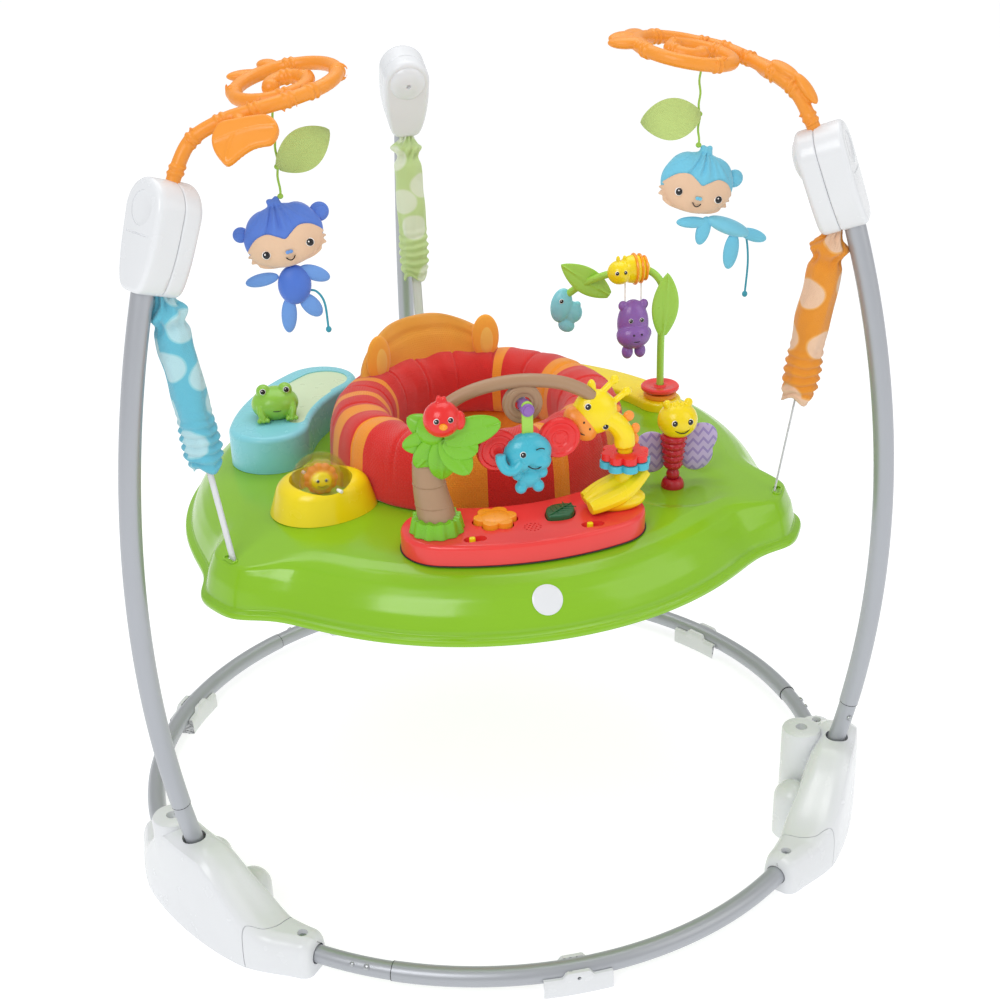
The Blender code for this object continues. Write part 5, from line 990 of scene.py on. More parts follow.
def tray_point(u, v):
    """A point on the tray's moulded skin: u round it, v from the hole's lip over the deck to the flange."""
    azimuth = 90 + 360 * u
    share = lobe(azimuth)
    skirt, flange = len(TRAY_SOFT) - 1, len(TRAY_FLANGE) - 1
    spot = v * (skirt + flange)
    radius, height = mix(along(TRAY_SOFT, spot / skirt), along(TRAY_LOBE, spot / skirt), share)
    if spot > skirt:
        step = along(TRAY_FLANGE, (spot - skirt) / flange)
        radius, height = radius + step.x, height + step.y
    point = polar(radius, azimuth, height)
    if height > 0.434:
        from_butterfly = (point.xy - polar(*BUTTERFLY_PLACE).xy).length
        point.z -= 0.0030 * (1 - ramp(from_butterfly, 0.0535, 0.0575)) * ramp(radius, 0.1605, 0.172)
    return point


def strap_slot(low, high):
    return slab(lambda s: capsule(s, 0.0085, 0.0026, 90), low, high, places=40)


def build_tray():
    """The tray: one thin moulding with a lip round the hole, a flat deck, soft shoulders and a bead."""
    skin = grid(360, 84, tray_point)
    bmesh.ops.recalc_face_normals(skin, faces=skin.faces)
    obj = working(skin)
    soft = obj.modifiers.new("soft", "SMOOTH")
    soft.iterations = 2
    wall = obj.modifiers.new("wall", "SOLIDIFY")
    wall.thickness = 0.0028
    wall.offset = -1
    tray = as_bmesh(obj)
    cuts = []
    for azimuth in LEGS.values():
        slot = strap_slot(-suspension_length() - 0.03, -suspension_length() + 0.01)
        slot.transform(turned(azimuth) @ suspension_place())
        cuts.append(slot)
    piece("tray_moulding", less(tray, *cuts), "lime", "tray", ["tray"], 40)
    seat = Matrix.Translation((STRAP_SLOT_RADIUS + 0.0012, 0, DECK - LOBE_DROP + 0.0007))
    for name, azimuth in LEGS.items():
        collar = slab(lambda s: capsule(s, 0.0105, 0.0045, 90), 0, 0.0016, 0.0008, places=48)
        rim = less(collar, strap_slot(-0.01, 0.01))
        rim.transform(turned(azimuth) @ seat @ turned(LOBE_SLOPE, "Y"))
        piece(f"strap_slot_rim_{name}", rim, "lime", "tray")


def build_badge():
    """A blank white disc on the tray's front shoulder, curved to it."""
    profile = curve_through(TRAY_SOFT, 8)
    lengths = [0.0]
    for a, b in zip(profile, profile[1:]):
        lengths.append(lengths[-1] + (b - a).length)
    middle = next(length for length, spot in zip(lengths, profile) if spot.y < 0.4150)

    def place(u, v):
        side, down = polar(0.0158 * v, 360 * u)[:2]
        index = max(i for i, length in enumerate(lengths) if length <= middle - down)
        share = (middle - down - lengths[index]) / (lengths[index + 1] - lengths[index])
        before, after = profile[index + 1] - profile[index - 1], profile[index + 2] - profile[index]
        way = mix(before, after, share).normalized()
        spot = mix(profile[index], profile[index + 1], share)
        spot += Vector((-way.y, way.x)) * (0.0012 * (1 - 0.6 * ramp(v, 0.9, 1.0)))
        return polar(spot.x, 270.0 + math.degrees(side / spot.x), spot.y)

    disc = walled(grid(64, 10, place), 0.0010)
    piece("tray_badge_blank", disc, "white", "tray", crease=60)


def capsule(share, length, radius, turn=0.0):
    """An outline of a slot: length is from the middle to an end, radius half its width."""
    angle = math.tau * share
    x, y = radius * math.cos(angle), radius * math.sin(angle)
    x += (length - radius) * (1 if x > 0 else -1 if x < 0 else 0)
    way = math.radians(turn)
    return x * math.cos(way) - y * math.sin(way), x * math.sin(way) + y * math.cos(way)


def seat_fold(azimuth):
    """How far the seat cloth rises in its radial folds at an azimuth, from -1 to 1."""
    turn = math.radians(azimuth)
    fold = math.sin(13 * turn + 0.9 * math.sin(3 * turn)) + 0.45 * math.sin(29 * turn + 2.0)
    return max(min(fold / 1.3, 1.0), -1.0)


ORANGE_BANDS = (
    (238, 262), (287, 294), (202, 210), (184, 191), (166, 172), (318, 326), (18, 30), (60, 66), (146, 150),
)
SLING_SECTION = ((0.0, 1.0), (0.35, 0.96), (0.66, 0.85), (0.88, 0.62), (1.0, 0.28), (1.01, 0.0))
PAD_SECTION = curve_through((
    (-0.020, 0.0002), (0.0, 0.0), (0.020, 0.0001), (0.0335, -0.0006), (0.0372, -0.0046), (0.0384, -0.0020),
    (0.0376, 0.0120), (0.0362, 0.0300), (0.0320, 0.0500),
    (0.0210, 0.0665), (0.0, 0.0720), (-0.0200, 0.0670),
    (-0.0318, 0.0520), (-0.0352, 0.0340), (-0.0335, 0.0140), (-0.0290, 0.0030),
), 5, closed=True)


def pad_point(u, v):
    """A point on the seat's padded ring: u round it, v round its section from underneath.

    Its hem covers the ring."""
    azimuth = 360 * u
    wide, high = along(PAD_SECTION, v)
    fold = seat_fold(azimuth)
    channel = min(1.0, abs(((azimuth / PAD_CHANNEL_ANGLE + 0.5) % 1) - 0.5) / 0.07)
    raised = ramp(high, 0.012, 0.045)
    swell = mix(1.0, mix(0.965, 1.0, channel**0.6), raised)
    around = Vector((5 * math.cos(math.tau * u), 5 * math.sin(math.tau * u), 30 * high + 30 * wide))
    soft = noise.noise(around) * 0.0024 * raised + 0.0011 * fold * raised
    slack = 0.0012 * fold * ramp(wide, 0.02, 0.034) * (1 - ramp(high, -0.002, 0.02))
    radius = PAD_RADIUS + wide * swell + math.copysign(soft, wide) * 0.6
    return polar(radius, azimuth, PAD_BOTTOM + high * swell + soft - min(slack, 0.0))


def backrest_point(u, v):
    """A point on the raised back flap: u along it, v round its section."""
    share = 2 * u - 1
    azimuth = BACKREST_AZIMUTH + BACKREST_HALF_ANGLE * share
    low = PAD_BOTTOM + PAD_HEIGHT * 0.55
    crest = mix(low + 0.012, BACKREST_TOP, max(math.cos(share * math.pi / 2), 0.0) ** 0.5)
    turn = math.tau * v
    thick = 0.012 * (1 - 0.35 * abs(share) ** 3) * (1 + 0.10 * math.sin(8 * share + 1))
    height = mix(low, crest, (1 - math.cos(turn)) / 2)
    lean = 0.011 * ramp(height, low, BACKREST_TOP)
    side = math.sin(turn)
    round_top = 1 - 0.25 * ramp(height, mix(low, crest, 0.8), crest)
    seam = 1 - 0.22 * bump(height, mix(low, crest, 0.80), 0.004)
    radius = PAD_RADIUS + 0.004 + lean + thick * math.copysign(abs(side) ** 0.7, side) * round_top * seam
    radius += 0.0014 * math.sin(11 * share + 9 * v) * ramp(height, low + 0.01, crest)
    return polar(radius, azimuth, height)


def sling_point(u, v):
    """A point on the hanging seat: u round it, v down to the middle of its floor."""
    azimuth = 360 * u
    drop, size = along(SLING_SECTION, v)
    fold = 0.0035 * seat_fold(azimuth) * ramp(drop, 0.0, 0.3) * ramp(size, 0.1, 0.5)
    return polar(0.126 * size + fold, azimuth, DECK - 0.142 * drop)


def build_padded_ring():
    """The padded cloth ring round the seat, in red with orange bands."""
    pad = grid(480, 80, pad_point, (0.835, 0.185))
    for face in pad.faces:
        middle = face.calc_center_median()
        azimuth = math.degrees(math.atan2(middle.y, middle.x)) % 360
        face.material_index = 1 if any(low < azimuth < high for low, high in ORANGE_BANDS) else 0
    looks = ["seat_red", "seat_orange"]
    cushion = piece("seat_padded_ring", pad, looks, "seat", ["seat_pad"], 180)


def build_back_flap():
    """The raised padded flap behind the seat, with its two ears."""
    flap = closed(grid(140, 64, backrest_point, (0.215, 0.14)))
    # painted light: the flap and its ears take the seat's orange painted lighter, to lift the shade on them
    back = piece("seat_back_flap", flap, "flap_orange", "seat", crease=180)
    for name, offset in zip(("left", "right"), EAR_OFFSETS[::-1]):
        centre = polar(PAD_RADIUS - 0.004, BACKREST_AZIMUTH + offset * 1.14, BACKREST_TOP - 0.030)
        faced = turned(BACKREST_AZIMUTH + offset * 0.45)
        ear = ball(centre, (0.0070, 0.0170, 0.0285), faced, 5)
        lining = ball(centre - faced @ Vector((0.0034, 0, 0.002)), (0.0048, 0.0098, 0.0195), faced, 4)
        ear = piece(f"seat_ear_{name}", ear, "flap_orange", "seat", crease=180)
        piece(f"seat_ear_lining_{name}", lining, "ear_orange", "seat", crease=180)


def build_seat():
    """The turning ring, the padded cloth ring with its back flap and ears, and the hanging seat."""
    profile = [
        (0.128, ON_DECK), (0.1475, ON_DECK), (0.1475, 0.4070),
        (0.1490, 0.4063), (0.1525, 0.4063), (0.1535, 0.4073),
        (0.1535, ON_DECK), (0.1665, ON_DECK), (0.1685, 0.4410),
        (0.1692, 0.4428), (0.1685, 0.4452), (0.1660, 0.4463),
        (0.130, 0.4463), (0.1283, 0.4455), (0.128, 0.4440), (0.128, ON_DECK),
    ]
    piece("seat_turning_ring", lathe(profile, 160), "white", "seat", ["seat_ring"], 30)
    build_padded_ring()
    build_back_flap()
    holes = []
    for azimuth in LEG_HOLE_AZIMUTHS:
        start, end = (polar(radius, azimuth, LEG_HOLE_HEIGHT) for radius in (0.03, 0.20))
        holes.append(rod(start, end, 0.040, 64))
    sling = less(walled(grid(240, 60, sling_point, SLING_CLOTH), 0.0026), *holes)
    area = sum(face.calc_area() for face in sling.faces) / 2
    sling = piece("seat_hanging_cloth", sling, "seat_orange", "seat", ["seat_sling"], 60)


def bean(share, inner, outer, azimuths):
    """A kidney outline round the tray: two arcs between the azimuths, and round ends past them."""
    half, middle = (outer - inner) / 2, (outer + inner) / 2
    first, last = azimuths
    sweep = math.radians(last - first)
    lengths = [outer * sweep, math.pi * half, inner * sweep, math.pi * half]
    spot = (share % 1.0) * sum(lengths)
    for index, long in enumerate(lengths):
        if spot <= long:
            break
        spot -= long
    t = spot / long
    if index == 0:
        return polar(outer, mix(first, last, t))[:2]
    if index == 2:
        return polar(inner, mix(last, first, t))[:2]
    centre, start = (polar(middle, last), last) if index == 1 else (polar(middle, first), first + 180)
    return (centre + polar(half, start + 180 * t))[:2]


def flower(share, radius, petals=6, petal=0.38):
    """An outline of round petals: each is a circle whose size is a share of the whole."""
    away = (share * petals + 0.5) % 1.0 - 0.5
    turn = away * math.tau / petals
    out = 1 - petal
    reach = radius * (out * math.cos(turn) + math.sqrt(max(petal**2 - (out * math.sin(turn)) ** 2, 0.0)))
    return polar(reach, 360 * share)[:2]


def leaf(share, length, width):
    """A pointed leaf outline along X round the origin."""
    way, side = (2 * share, 1) if share <= 0.5 else (2 - 2 * share, -1)
    return length * (way - 0.5), side * width / 2 * max(math.sin(math.pi * way), 0) ** 0.8


def kidney(outline, bottom, top, rim=0.0, steps=3, places=240):
    """A kidney-shaped slab. outline is (inner radius, outer radius, azimuths)."""
    return slab(lambda s: bean(s, *outline), bottom, top, rim, steps, places)


def at(mesh, place, turn=0.0):
    """Moves a shape to its place, turned about its own middle."""
    mesh.transform(Matrix.Translation(Vector(place)) @ turned(turn))
    return mesh


def build_console():
    """The coral music console, with its sunk places for the buttons, switches and trunk, and a speaker."""
    console = kidney((*CONSOLE_REACH, CONSOLE_AZIMUTHS), ON_DECK, CONSOLE_TOP, 0.005, 4)
    cuts = [
        at(slab(lambda s: flower(s, 0.0246), 0.452, 0.48), FLOWER_BUTTON),
        at(slab(lambda s: leaf(s, 0.0422, 0.0320), 0.452, 0.48), LEAF_BUTTON, LEAF_BUTTON_TURN),
    ]
    for x in SWITCHES.values():
        cuts.append(at(slab(lambda s: capsule(s, 0.012, 0.006), 0.4575, 0.48, places=60), (x, SWITCH_Y, 0)))
    for ring, count in ((0.0, 1), (0.0042, 6), (0.0084, 12)):
        for step in range(count):
            spot = SPEAKER + polar(ring, 360 * step / count)
            cuts.append(rod(spot + up(0.4595), spot + up(0.47), 0.0011, 12))
    cuts.append(rod((TRUNK_X, BAR_Y, 0.4530), (TRUNK_X, BAR_Y, 0.48), 0.0222, 48))
    piece("music_console", less(console, *cuts), "coral", "tray", ["console"], 30)

    # painted shade: a dark strip on the deck just round the console's foot, standing in for the thin shadow
    # there
    inner, outer = CONSOLE_REACH[0] - 0.0012, CONSOLE_REACH[1] + 0.0012
    gap = kidney((inner, outer, CONSOLE_AZIMUTHS), 0.4402, 0.4411)
    piece("console_seam_shade", gap, "dark", "tray")
    build_buttons()


def build_buttons():
    """The console's flower and leaf buttons, and the yellow knobs of its two slide switches."""
    petals = at(slab(lambda s: flower(s, 0.0228), 0.4572, 0.4684, 0.0016, 4, 180), FLOWER_BUTTON)
    dome = ball(FLOWER_BUTTON + up(0.4664), (0.0165, 0.0165, 0.0042))
    cap = joined(petals, dome)
    piece("flower_button_cap", cap, "amber", "flower_button", ["flower_button"])
    plate = slab(lambda s: leaf(s, 0.0400, 0.0300), 0.4572, 0.4680, 0.0018, 4, 160)
    veins = [tube([(-0.018, 0, 0.4680), (0, 0, 0.4688), (0.019, 0, 0.4680)], 0.0009)]
    for x in (-0.010, -0.003, 0.004, 0.010):
        for side in SIDES:
            veins.append(tube([(x, 0, 0.4683), (x + 0.006, side * 0.009, 0.4678)], 0.0006))
    button = at(joined(plate, *veins), LEAF_BUTTON, LEAF_BUTTON_TURN)
    piece("leaf_button_cap", button, "pine", "leaf_button", ["leaf_button"])
    for name, x in SWITCHES.items():
        knob = slab(lambda s: capsule(s, 0.0032, 0.0026), 0.4578, 0.4652, 0.0008, places=48)
        piece(f"{name}_knob", at(knob, (x - 0.003, SWITCH_Y, 0)), "yellow", name, [name])


def branch_route():
    """The palm's trunk and branch as (x, y, height, radius), from the console up and over to the giraffe."""
    rise = 0.153
    stations = (
        (TRUNK_X, -0.010 / rise, 0.021), (TRUNK_X, 0.10, 0.020), (TRUNK_X - 0.005, 0.30, 0.0175),
        (TRUNK_X - 0.007, 0.50, 0.015), (TRUNK_X - 0.003, 0.66, 0.012), (TRUNK_X + 0.006, 0.79, 0.009),
        (TRUNK_X + 0.022, 0.91, 0.007), (TRUNK_X + 0.052, 0.98, 0.007), (TRUNK_X + 0.091, 1.00, 0.007),
        (NECK_X - 0.071, 0.96, 0.007), (NECK_X - 0.047, 0.89, 0.007), (NECK_X - 0.035, 0.83, 0.006),
    )
    rows = [(x, BAR_Y, CONSOLE_TOP + rise * share, radius) for x, share, radius in stations]
    return curve_through(rows, 8)


def blade(length, width, thick, bend=0.0, point=0.75):
    """A moulded leaf along X from the origin: pointed, arched, with a valley and a rib along its middle."""

    def place(u, v):
        half = width / 2 * max(math.sin(math.pi * (0.06 + 0.94 * u)), 0.0) ** point
        turn = math.tau * v
        y = half * math.cos(turn)
        edge = 1 - abs(math.cos(turn))
        side = math.sin(turn)
        z = thick / 2 * math.copysign(abs(side) ** 0.8, side) * (0.25 + 1.5 * half / width)
        z += 0.10 * abs(y) + 0.0012 * bump(y, 0, 0.0011) * (1 if side > 0 else -1) * edge
        z += bend * u * u
        return Vector((length * u, y, z))

    return grid(36, 40, place)


PALM_FRONDS = (
    (17, 0.057, 0.032, 0.010), (-25, 0.035, 0.032, 0.006),
    (-60, 0.044, 0.030, 0.009), (-92, 0.050, 0.031, -0.010),
    (-128, 0.044, 0.029, -0.010), (-163, 0.041, 0.027, -0.010), (152, 0.037, 0.026, -0.010),
)


def build_palm():
    """The brown trunk and branch with the toy loop, the frill at its foot, and the crown."""
    route = branch_route()
    bark = tube([p[:3] for p in route], 1.0, 32, [p[3] for p in route])
    bands = []
    for height in (0.030, 0.052, 0.074):
        ring = next(p for p in route if p.z > CONSOLE_TOP + height)
        profile = [(ring[3] - 0.001, -0.0008), (ring[3] + 0.0005, 0.0), (ring[3] - 0.001, 0.0008)]
        bands.append(lathe(profile, 48, Matrix.Translation(Vector(ring[:3]))))
    hoop = [Vector((0.0, BAR_Y, LOOP_HEIGHT)) + polar(0.0135, 360 * i / 48).xzy for i in range(48)]
    loop = tube(hoop, 0.0050, closed=True)
    profile = [(0.0085, -0.004), (0.0192, -0.004), (0.0204, -0.003), (0.0204, 0.003), (0.0192, 0.004),
               (0.0085, 0.004), (0.0085, -0.004)]
    plate = lathe(profile, 64, aimed((0, BAR_Y, LOOP_HEIGHT - 0.001), (0, 1, 0)))
    trunk = joined(bark, loop, plate, *bands)
    piece("palm_trunk", trunk, "brown", "tray", ["palm_branch"], 35)

    def frill_point(u, v):
        turn = math.tau * u
        wave = 0.5 + 0.5 * math.cos(12 * turn)
        rise = mix(CONSOLE_TOP + 0.0005, CONSOLE_TOP + 0.0185, v)
        reach = mix(0.0270, 0.0235, v) + 0.0022 * wave * (1 - 0.3 * v) - 0.012 * ramp(v, 0.90, 1.0)
        drop = 0.002 * (1 - wave) * v
        return Vector((TRUNK_X + reach * math.cos(turn), BAR_Y + reach * math.sin(turn), rise - drop))

    piece("palm_frill", grid(192, 30, frill_point), "leaf", "tray")
    crown = Vector((TRUNK_X + 0.007, BAR_Y - 0.022, CONSOLE_TOP + 0.111))
    leaves = [ball(crown + Vector((-0.008, 0.010, 0.006)), (0.018, 0.016, 0.018))]
    for index, (angle, length, width, bend) in enumerate(PALM_FRONDS):
        frond = blade(length, width, 0.0065, bend, 0.52)
        place = Matrix.Translation(crown + Vector((0, 0.0025 * index - 0.007, 0)))
        frond.transform(place @ turned(-angle, "Y") @ turned(90, "X"))
        leaves.append(frond)
    piece("palm_leaves", joined(*leaves), "leaf", "tray", ["palm_crown"], 50)
    build_bird(crown + Vector((-0.003, -0.010, 0.024)))


def eyeball(place, radius, way=(0, -1, 0.15)):
    """A bead eye: a gloss black bead in a thin white ring, with a painted highlight: a small white glint on
    the bead.
    """
    way = Vector(way).normalized()
    flat = Matrix.Translation(Vector(place)) @ Matrix.Scale(0.5, 4, way)
    white = ball((0, 0, 0), radius, detail=3)
    bead = ball(way * radius * 0.40, radius * 0.86, detail=3)
    # painted highlight: a small white ball where a lamp would glint on the bead
    glint = ball(way * radius * 1.18 + Vector((-0.28, 0, 0.26)) * radius, radius * 0.19, detail=2)
    for face in bead.faces:
        face.material_index = 1
    mesh = joined(white, bead, glint)
    mesh.transform(flat)
    return mesh


def build_bird(place):
    """The small red bird that sits in the palm's crown."""
    body = moulded([
        ball(place, (0.0185, 0.0170, 0.0185)),
        ball(place + Vector((-0.002, 0, 0.019)), (0.003, 0.003, 0.006)),
        ball(place + Vector((0.003, 0, 0.0185)), (0.003, 0.003, 0.005)),
        ball(place + Vector((0.017, -0.004, -0.002)), (0.006, 0.006, 0.010)),
    ], 0.0008, 5)
    piece("bird_body", body, "ear_red", "tray", crease=60)
    eyes("bird", [place + Vector((x, -0.0156, 0.004)) for x in (-0.008, 0.006)], 0.0030, "tray")
    beak = ball(place + Vector((-0.002, -0.0185, -0.001)), (0.0042, 0.0055, 0.0030))
    piece("bird_beak", beak, "amber", "tray")


def eyes(animal, places, radius, body, way=(0, -1, 0.15)):
    """A left and a right bead eye."""
    for name, place in zip(("left", "right"), places):
        piece(f"{animal}_eye_{name}", eyeball(place, radius, way), EYE_LOOKS, body)


def smile(centre, width, drop, radius, depth=0.002):
    """A thin curved line for a mouth, in front of a face that looks to -Y."""
    points = []
    for step in range(13):
        share = step / 6 - 1
        away = Vector((width * share, depth * share * share, -drop * (1 - share * share)))
        points.append(Vector(centre) + away)
    return tube(points, radius, 12)


ELEPHANT_EAR = (
    (0.0, 0.0036), (0.0050, 0.0040), (0.0064, 0.0030), (0.0080, 0.0030), (0.0094, 0.0042), (0.0118, 0.0042),
    (0.0134, 0.0030), (0.0160, 0.0030), (0.0174, 0.0042),
    (0.0204, 0.0036), (0.0218, 0.0014), (0.0218, -0.0012),
    (0.0204, -0.003), (0.0, -0.0035),
)


def build_elephant():
    """The elephant's head, ears and small body, on the strap that swings in the branch's loop."""
    middle = Vector((0.0, BAR_Y - 0.021, LOOP_HEIGHT - 0.0455))
    trunk = (
        (-0.010, -0.012, -0.005), (-0.018, -0.014, -0.012),
        (-0.026, -0.013, -0.011), (-0.0305, -0.011, -0.003),
        (-0.0310, -0.010, 0.005),
    )
    lumps = [
        ball(middle + Vector((-0.001, 0, 0)), (0.0250, 0.0150, 0.0210)),
        tube(curve_through([middle + Vector(step) for step in trunk], 6), 0.0054, 16),
        ball(middle - up(0.026), (0.0130, 0.0100, 0.0130)),
    ]
    for side in SIDES:
        lumps.append(ball(middle + Vector((side * 0.010, -0.004, -0.008)), (0.0125, 0.0125, 0.0110)))
        lumps.append(ball(middle + Vector((side * 0.009, -0.003, -0.037)), (0.0062, 0.0065, 0.0065)))
        lumps.append(ball(middle + Vector((side * 0.013, -0.005, -0.021)), (0.0055, 0.0055, 0.0065)))
    body = moulded(lumps, 0.0008, 6)
    piece("elephant_body", body, "sky", "elephant", ["elephant"], 60)
    for name, x, z in (("left", -0.031, 0.005), ("right", 0.033, 0.011)):
        ear = lathe(ELEPHANT_EAR, 64, aimed(middle + Vector((x, 0.0025, z)), (0, -1, 0)))
        piece(f"elephant_ear_{name}", ear, "ear_red", "elephant")
    strap = slab(lambda s: capsule(s, 0.024, 0.0058, 90), -0.0014, 0.0014, 0.0008, places=60)
    strap.transform(aimed((0, middle.y + 0.001, LOOP_HEIGHT - 0.0155), (0, -1, 0)))
    piece("elephant_strap", strap, "pale_leaf", "elephant")
    disc = rod((0, middle.y - 0.003, LOOP_HEIGHT), (0, BAR_Y - 0.0055, LOOP_HEIGHT), 0.0068, 40, 0.0012)
    peg = rod((0, middle.y - 0.005, LOOP_HEIGHT), (0, BAR_Y + 0.0110, LOOP_HEIGHT), 0.0050, 32, 0.0012)
    piece("elephant_peg", joined(disc, peg), "purple", "elephant")
    eye = eyeball(middle + Vector((-0.0085, -0.0138, 0.0035)), 0.0034)
    piece("elephant_eye_open", eye, EYE_LOOKS, "elephant")
    wink = smile(middle + Vector((0.0090, -0.0155, 0.0075)), 0.0042, -0.0018, 0.0006, 0.0008)
    mouth = smile(middle + Vector((0.004, -0.0168, -0.0085)), 0.0085, 0.0035, 0.0006, 0.003)
    piece("elephant_face_lines", joined(wink, mouth), "black", "elephant")


GIRAFFE_TUFTS = (
    (-0.010, 0.002, 0.017, (0.006, 0.0035, 0.005)), (0.004, 0.001, 0.008, (0.006, 0.0035, 0.006)),
    (0.011, 0.0, -0.006, (0.005, 0.0035, 0.006)), (0.011, 0.0, -0.018, (0.004, 0.0035, 0.006)),
)


def on_head(across, rise, depth=0.0):
    """A place on the giraffe's tilted head, counted from its middle."""
    return GIRAFFE_HEAD + turned(GIRAFFE_TILT, "Y") @ Vector((across, depth, rise))


def build_giraffe():
    """The giraffe on the end of the branch: head, horns, ears and neck, with its face and mane."""
    tilt = turned(GIRAFFE_TILT, "Y")
    neck = Vector((NECK_X, BAR_Y, 0.0))
    foot, chin = CONSOLE_TOP + 0.006, CONSOLE_TOP + 0.093
    nape = ((0.0, 0, -0.024), (-0.002, 0, -0.010), (-0.012, 0, 0.004), (-0.026, 0, 0.012))
    lumps = [
        tube([neck + up(foot), neck + up(chin - 0.016)], 0.0080, 24),
        rod(neck + up(foot), neck + up(CONSOLE_TOP + 0.0435), 0.0118, 32),
        tube(curve_through([neck + up(chin) + Vector(step) for step in nape], 6), 0.0110, 24),
        ball(on_head(-0.001, 0.001), (0.0240, 0.0165, 0.0235), tilt, 5),
    ]
    for across, long in ((-0.0115, 0.037), (0.0045, 0.038)):
        lumps.append(tube([on_head(across, 0.012), on_head(across * 1.2, long)], 0.0034, 16))
        lumps.append(ball(on_head(across * 1.2, long + 0.001), 0.0050))
    for side in SIDES:
        ear_turn = tilt @ turned(side * 50, "Y")
        lumps.append(ball(on_head(side * 0.0235, 0.0140), (0.0050, 0.0036, 0.0100), ear_turn))
    route = branch_route()[-30:]
    socket = tube([p[:3] for p in route], 1.0, 24, [p[3] + 0.0004 for p in route])
    body = moulded(lumps, 0.0009, 6, [socket])
    piece("giraffe_body", body, "yellow", "tray", ["giraffe"], 60)

    muzzle = ball(on_head(-0.0026, -0.0180, -0.0020), (0.0220, 0.0150, 0.0140), tilt, 5)
    piece("giraffe_muzzle", muzzle, "muzzle", "tray", crease=60)
    mouth = smile((0, 0, 0), 0.0085, 0.0036, 0.0006, 0.003)
    mouth.transform(Matrix.Translation(on_head(-0.0026, -0.0205, -0.0170)) @ tilt)
    spots = [on_head(-0.0026 + side * 0.0050, -0.0140, -0.0162) for side in SIDES]
    nostrils = [ball(spot, (0.0010, 0.0007, 0.0013), detail=3) for spot in spots]
    piece("giraffe_smile", joined(mouth, *nostrils), "black", "tray")
    eyes("giraffe", [on_head(across, -0.0005, -0.0128) for across in (-0.0165, 0.0135)], 0.0036, "tray")
    tufts = []
    for x, y, z, radii in GIRAFFE_TUFTS:
        tufts.append(ball(neck + up(chin) + Vector((x, y, z)), radii))
    piece("giraffe_mane", moulded(tufts, 0.0008, 3), "muzzle", "tray", crease=60)
    build_bananas(neck)
    build_neck_rings(neck)


def build_bananas(neck):
    """The bunch of bananas at the giraffe's foot."""
    stand = neck + up(CONSOLE_TOP)
    lumps = [ball(stand + Vector((-0.008, -0.001, 0.0095)), (0.030, 0.0165, 0.0125))]
    for step, lift in ((-0.0125, 0.000), (0.000, 0.005), (0.0115, 0.002)):
        bends = (
            (-0.042, step - 0.003, 0.0095), (-0.024, step, 0.0140 + lift), (-0.002, step, 0.0235 + lift),
            (0.021, step * 0.4, 0.0400 + lift * 0.3),
        )
        line = curve_through([stand + Vector(bend) for bend in bends], 8)
        last = len(line) - 1
        swell = [0.5 + 0.5 * math.sin(math.pi * mix(0.16, 0.90, i / last)) for i in range(len(line))]
        lumps.append(tube(line, 0.0105, 16, swell))
    floor = at(slab(lambda s: capsule(s, 0.08, 0.05), -0.05, 0.0004), stand - Vector((0.010, 0, 0)))
    bunch = moulded(lumps, 0.0009, 2, [floor])
    piece("banana_bunch", bunch, "yellow", "tray", crease=60)


def build_neck_rings(neck):
    """The blue and red scalloped rings that turn together on the giraffe's neck."""
    rings = ((0.0265, "sky", ["giraffe_rings"], "sky_blue_plastic"), (0.0245, "ear_red", (), "coral_plastic"))
    for level, (radius, look, replaced, slot) in enumerate(rings):
        ring = slab(lambda s, r=radius: flower(s, r * 1.02, 8, 0.30), 0, 0.0072, 0.0018, 4, 192)
        ring = less(ring, rod(up(-0.01), up(0.03), 0.0087))
        at(ring, neck + up(CONSOLE_TOP + 0.0475 + level * 0.0083))
        piece(f"scalloped_ring_{level + 1}", ring, look, "giraffe_rings", replaced)


def build_blue_station():
    """The aqua station with its sunk blank panel, and the lime frog that turns on it."""
    station = kidney((0.194, 0.287, (132.0, 168.0)), ON_DECK, STATION_TOP, 0.0065, 5)
    wide, narrow = (0.203, 0.264, (132.0, 152.0)), (0.200, 0.2185, (140.0, 165.5))
    beds, plates = [], []
    for outline, lift in ((wide, 0.0), (narrow, 0.0004)):
        beds.append(kidney(outline, STATION_TOP - 0.0022, STATION_TOP + 0.01, places=160))
        plates.append(kidney(outline, STATION_TOP - 0.0060, STATION_TOP - 0.0013 + lift, places=160))
    place = polar(*FROG_PLACE, STATION_TOP)
    peg = rod(place - up(0.012), place + up(0.01), 0.006)
    station = less(station, fused(*beds), peg)
    piece("aqua_station", station, "aqua", "tray", ["blue_station"], 30)
    piece("station_panel", fused(*plates), "mint", "tray")
    build_frog(place)


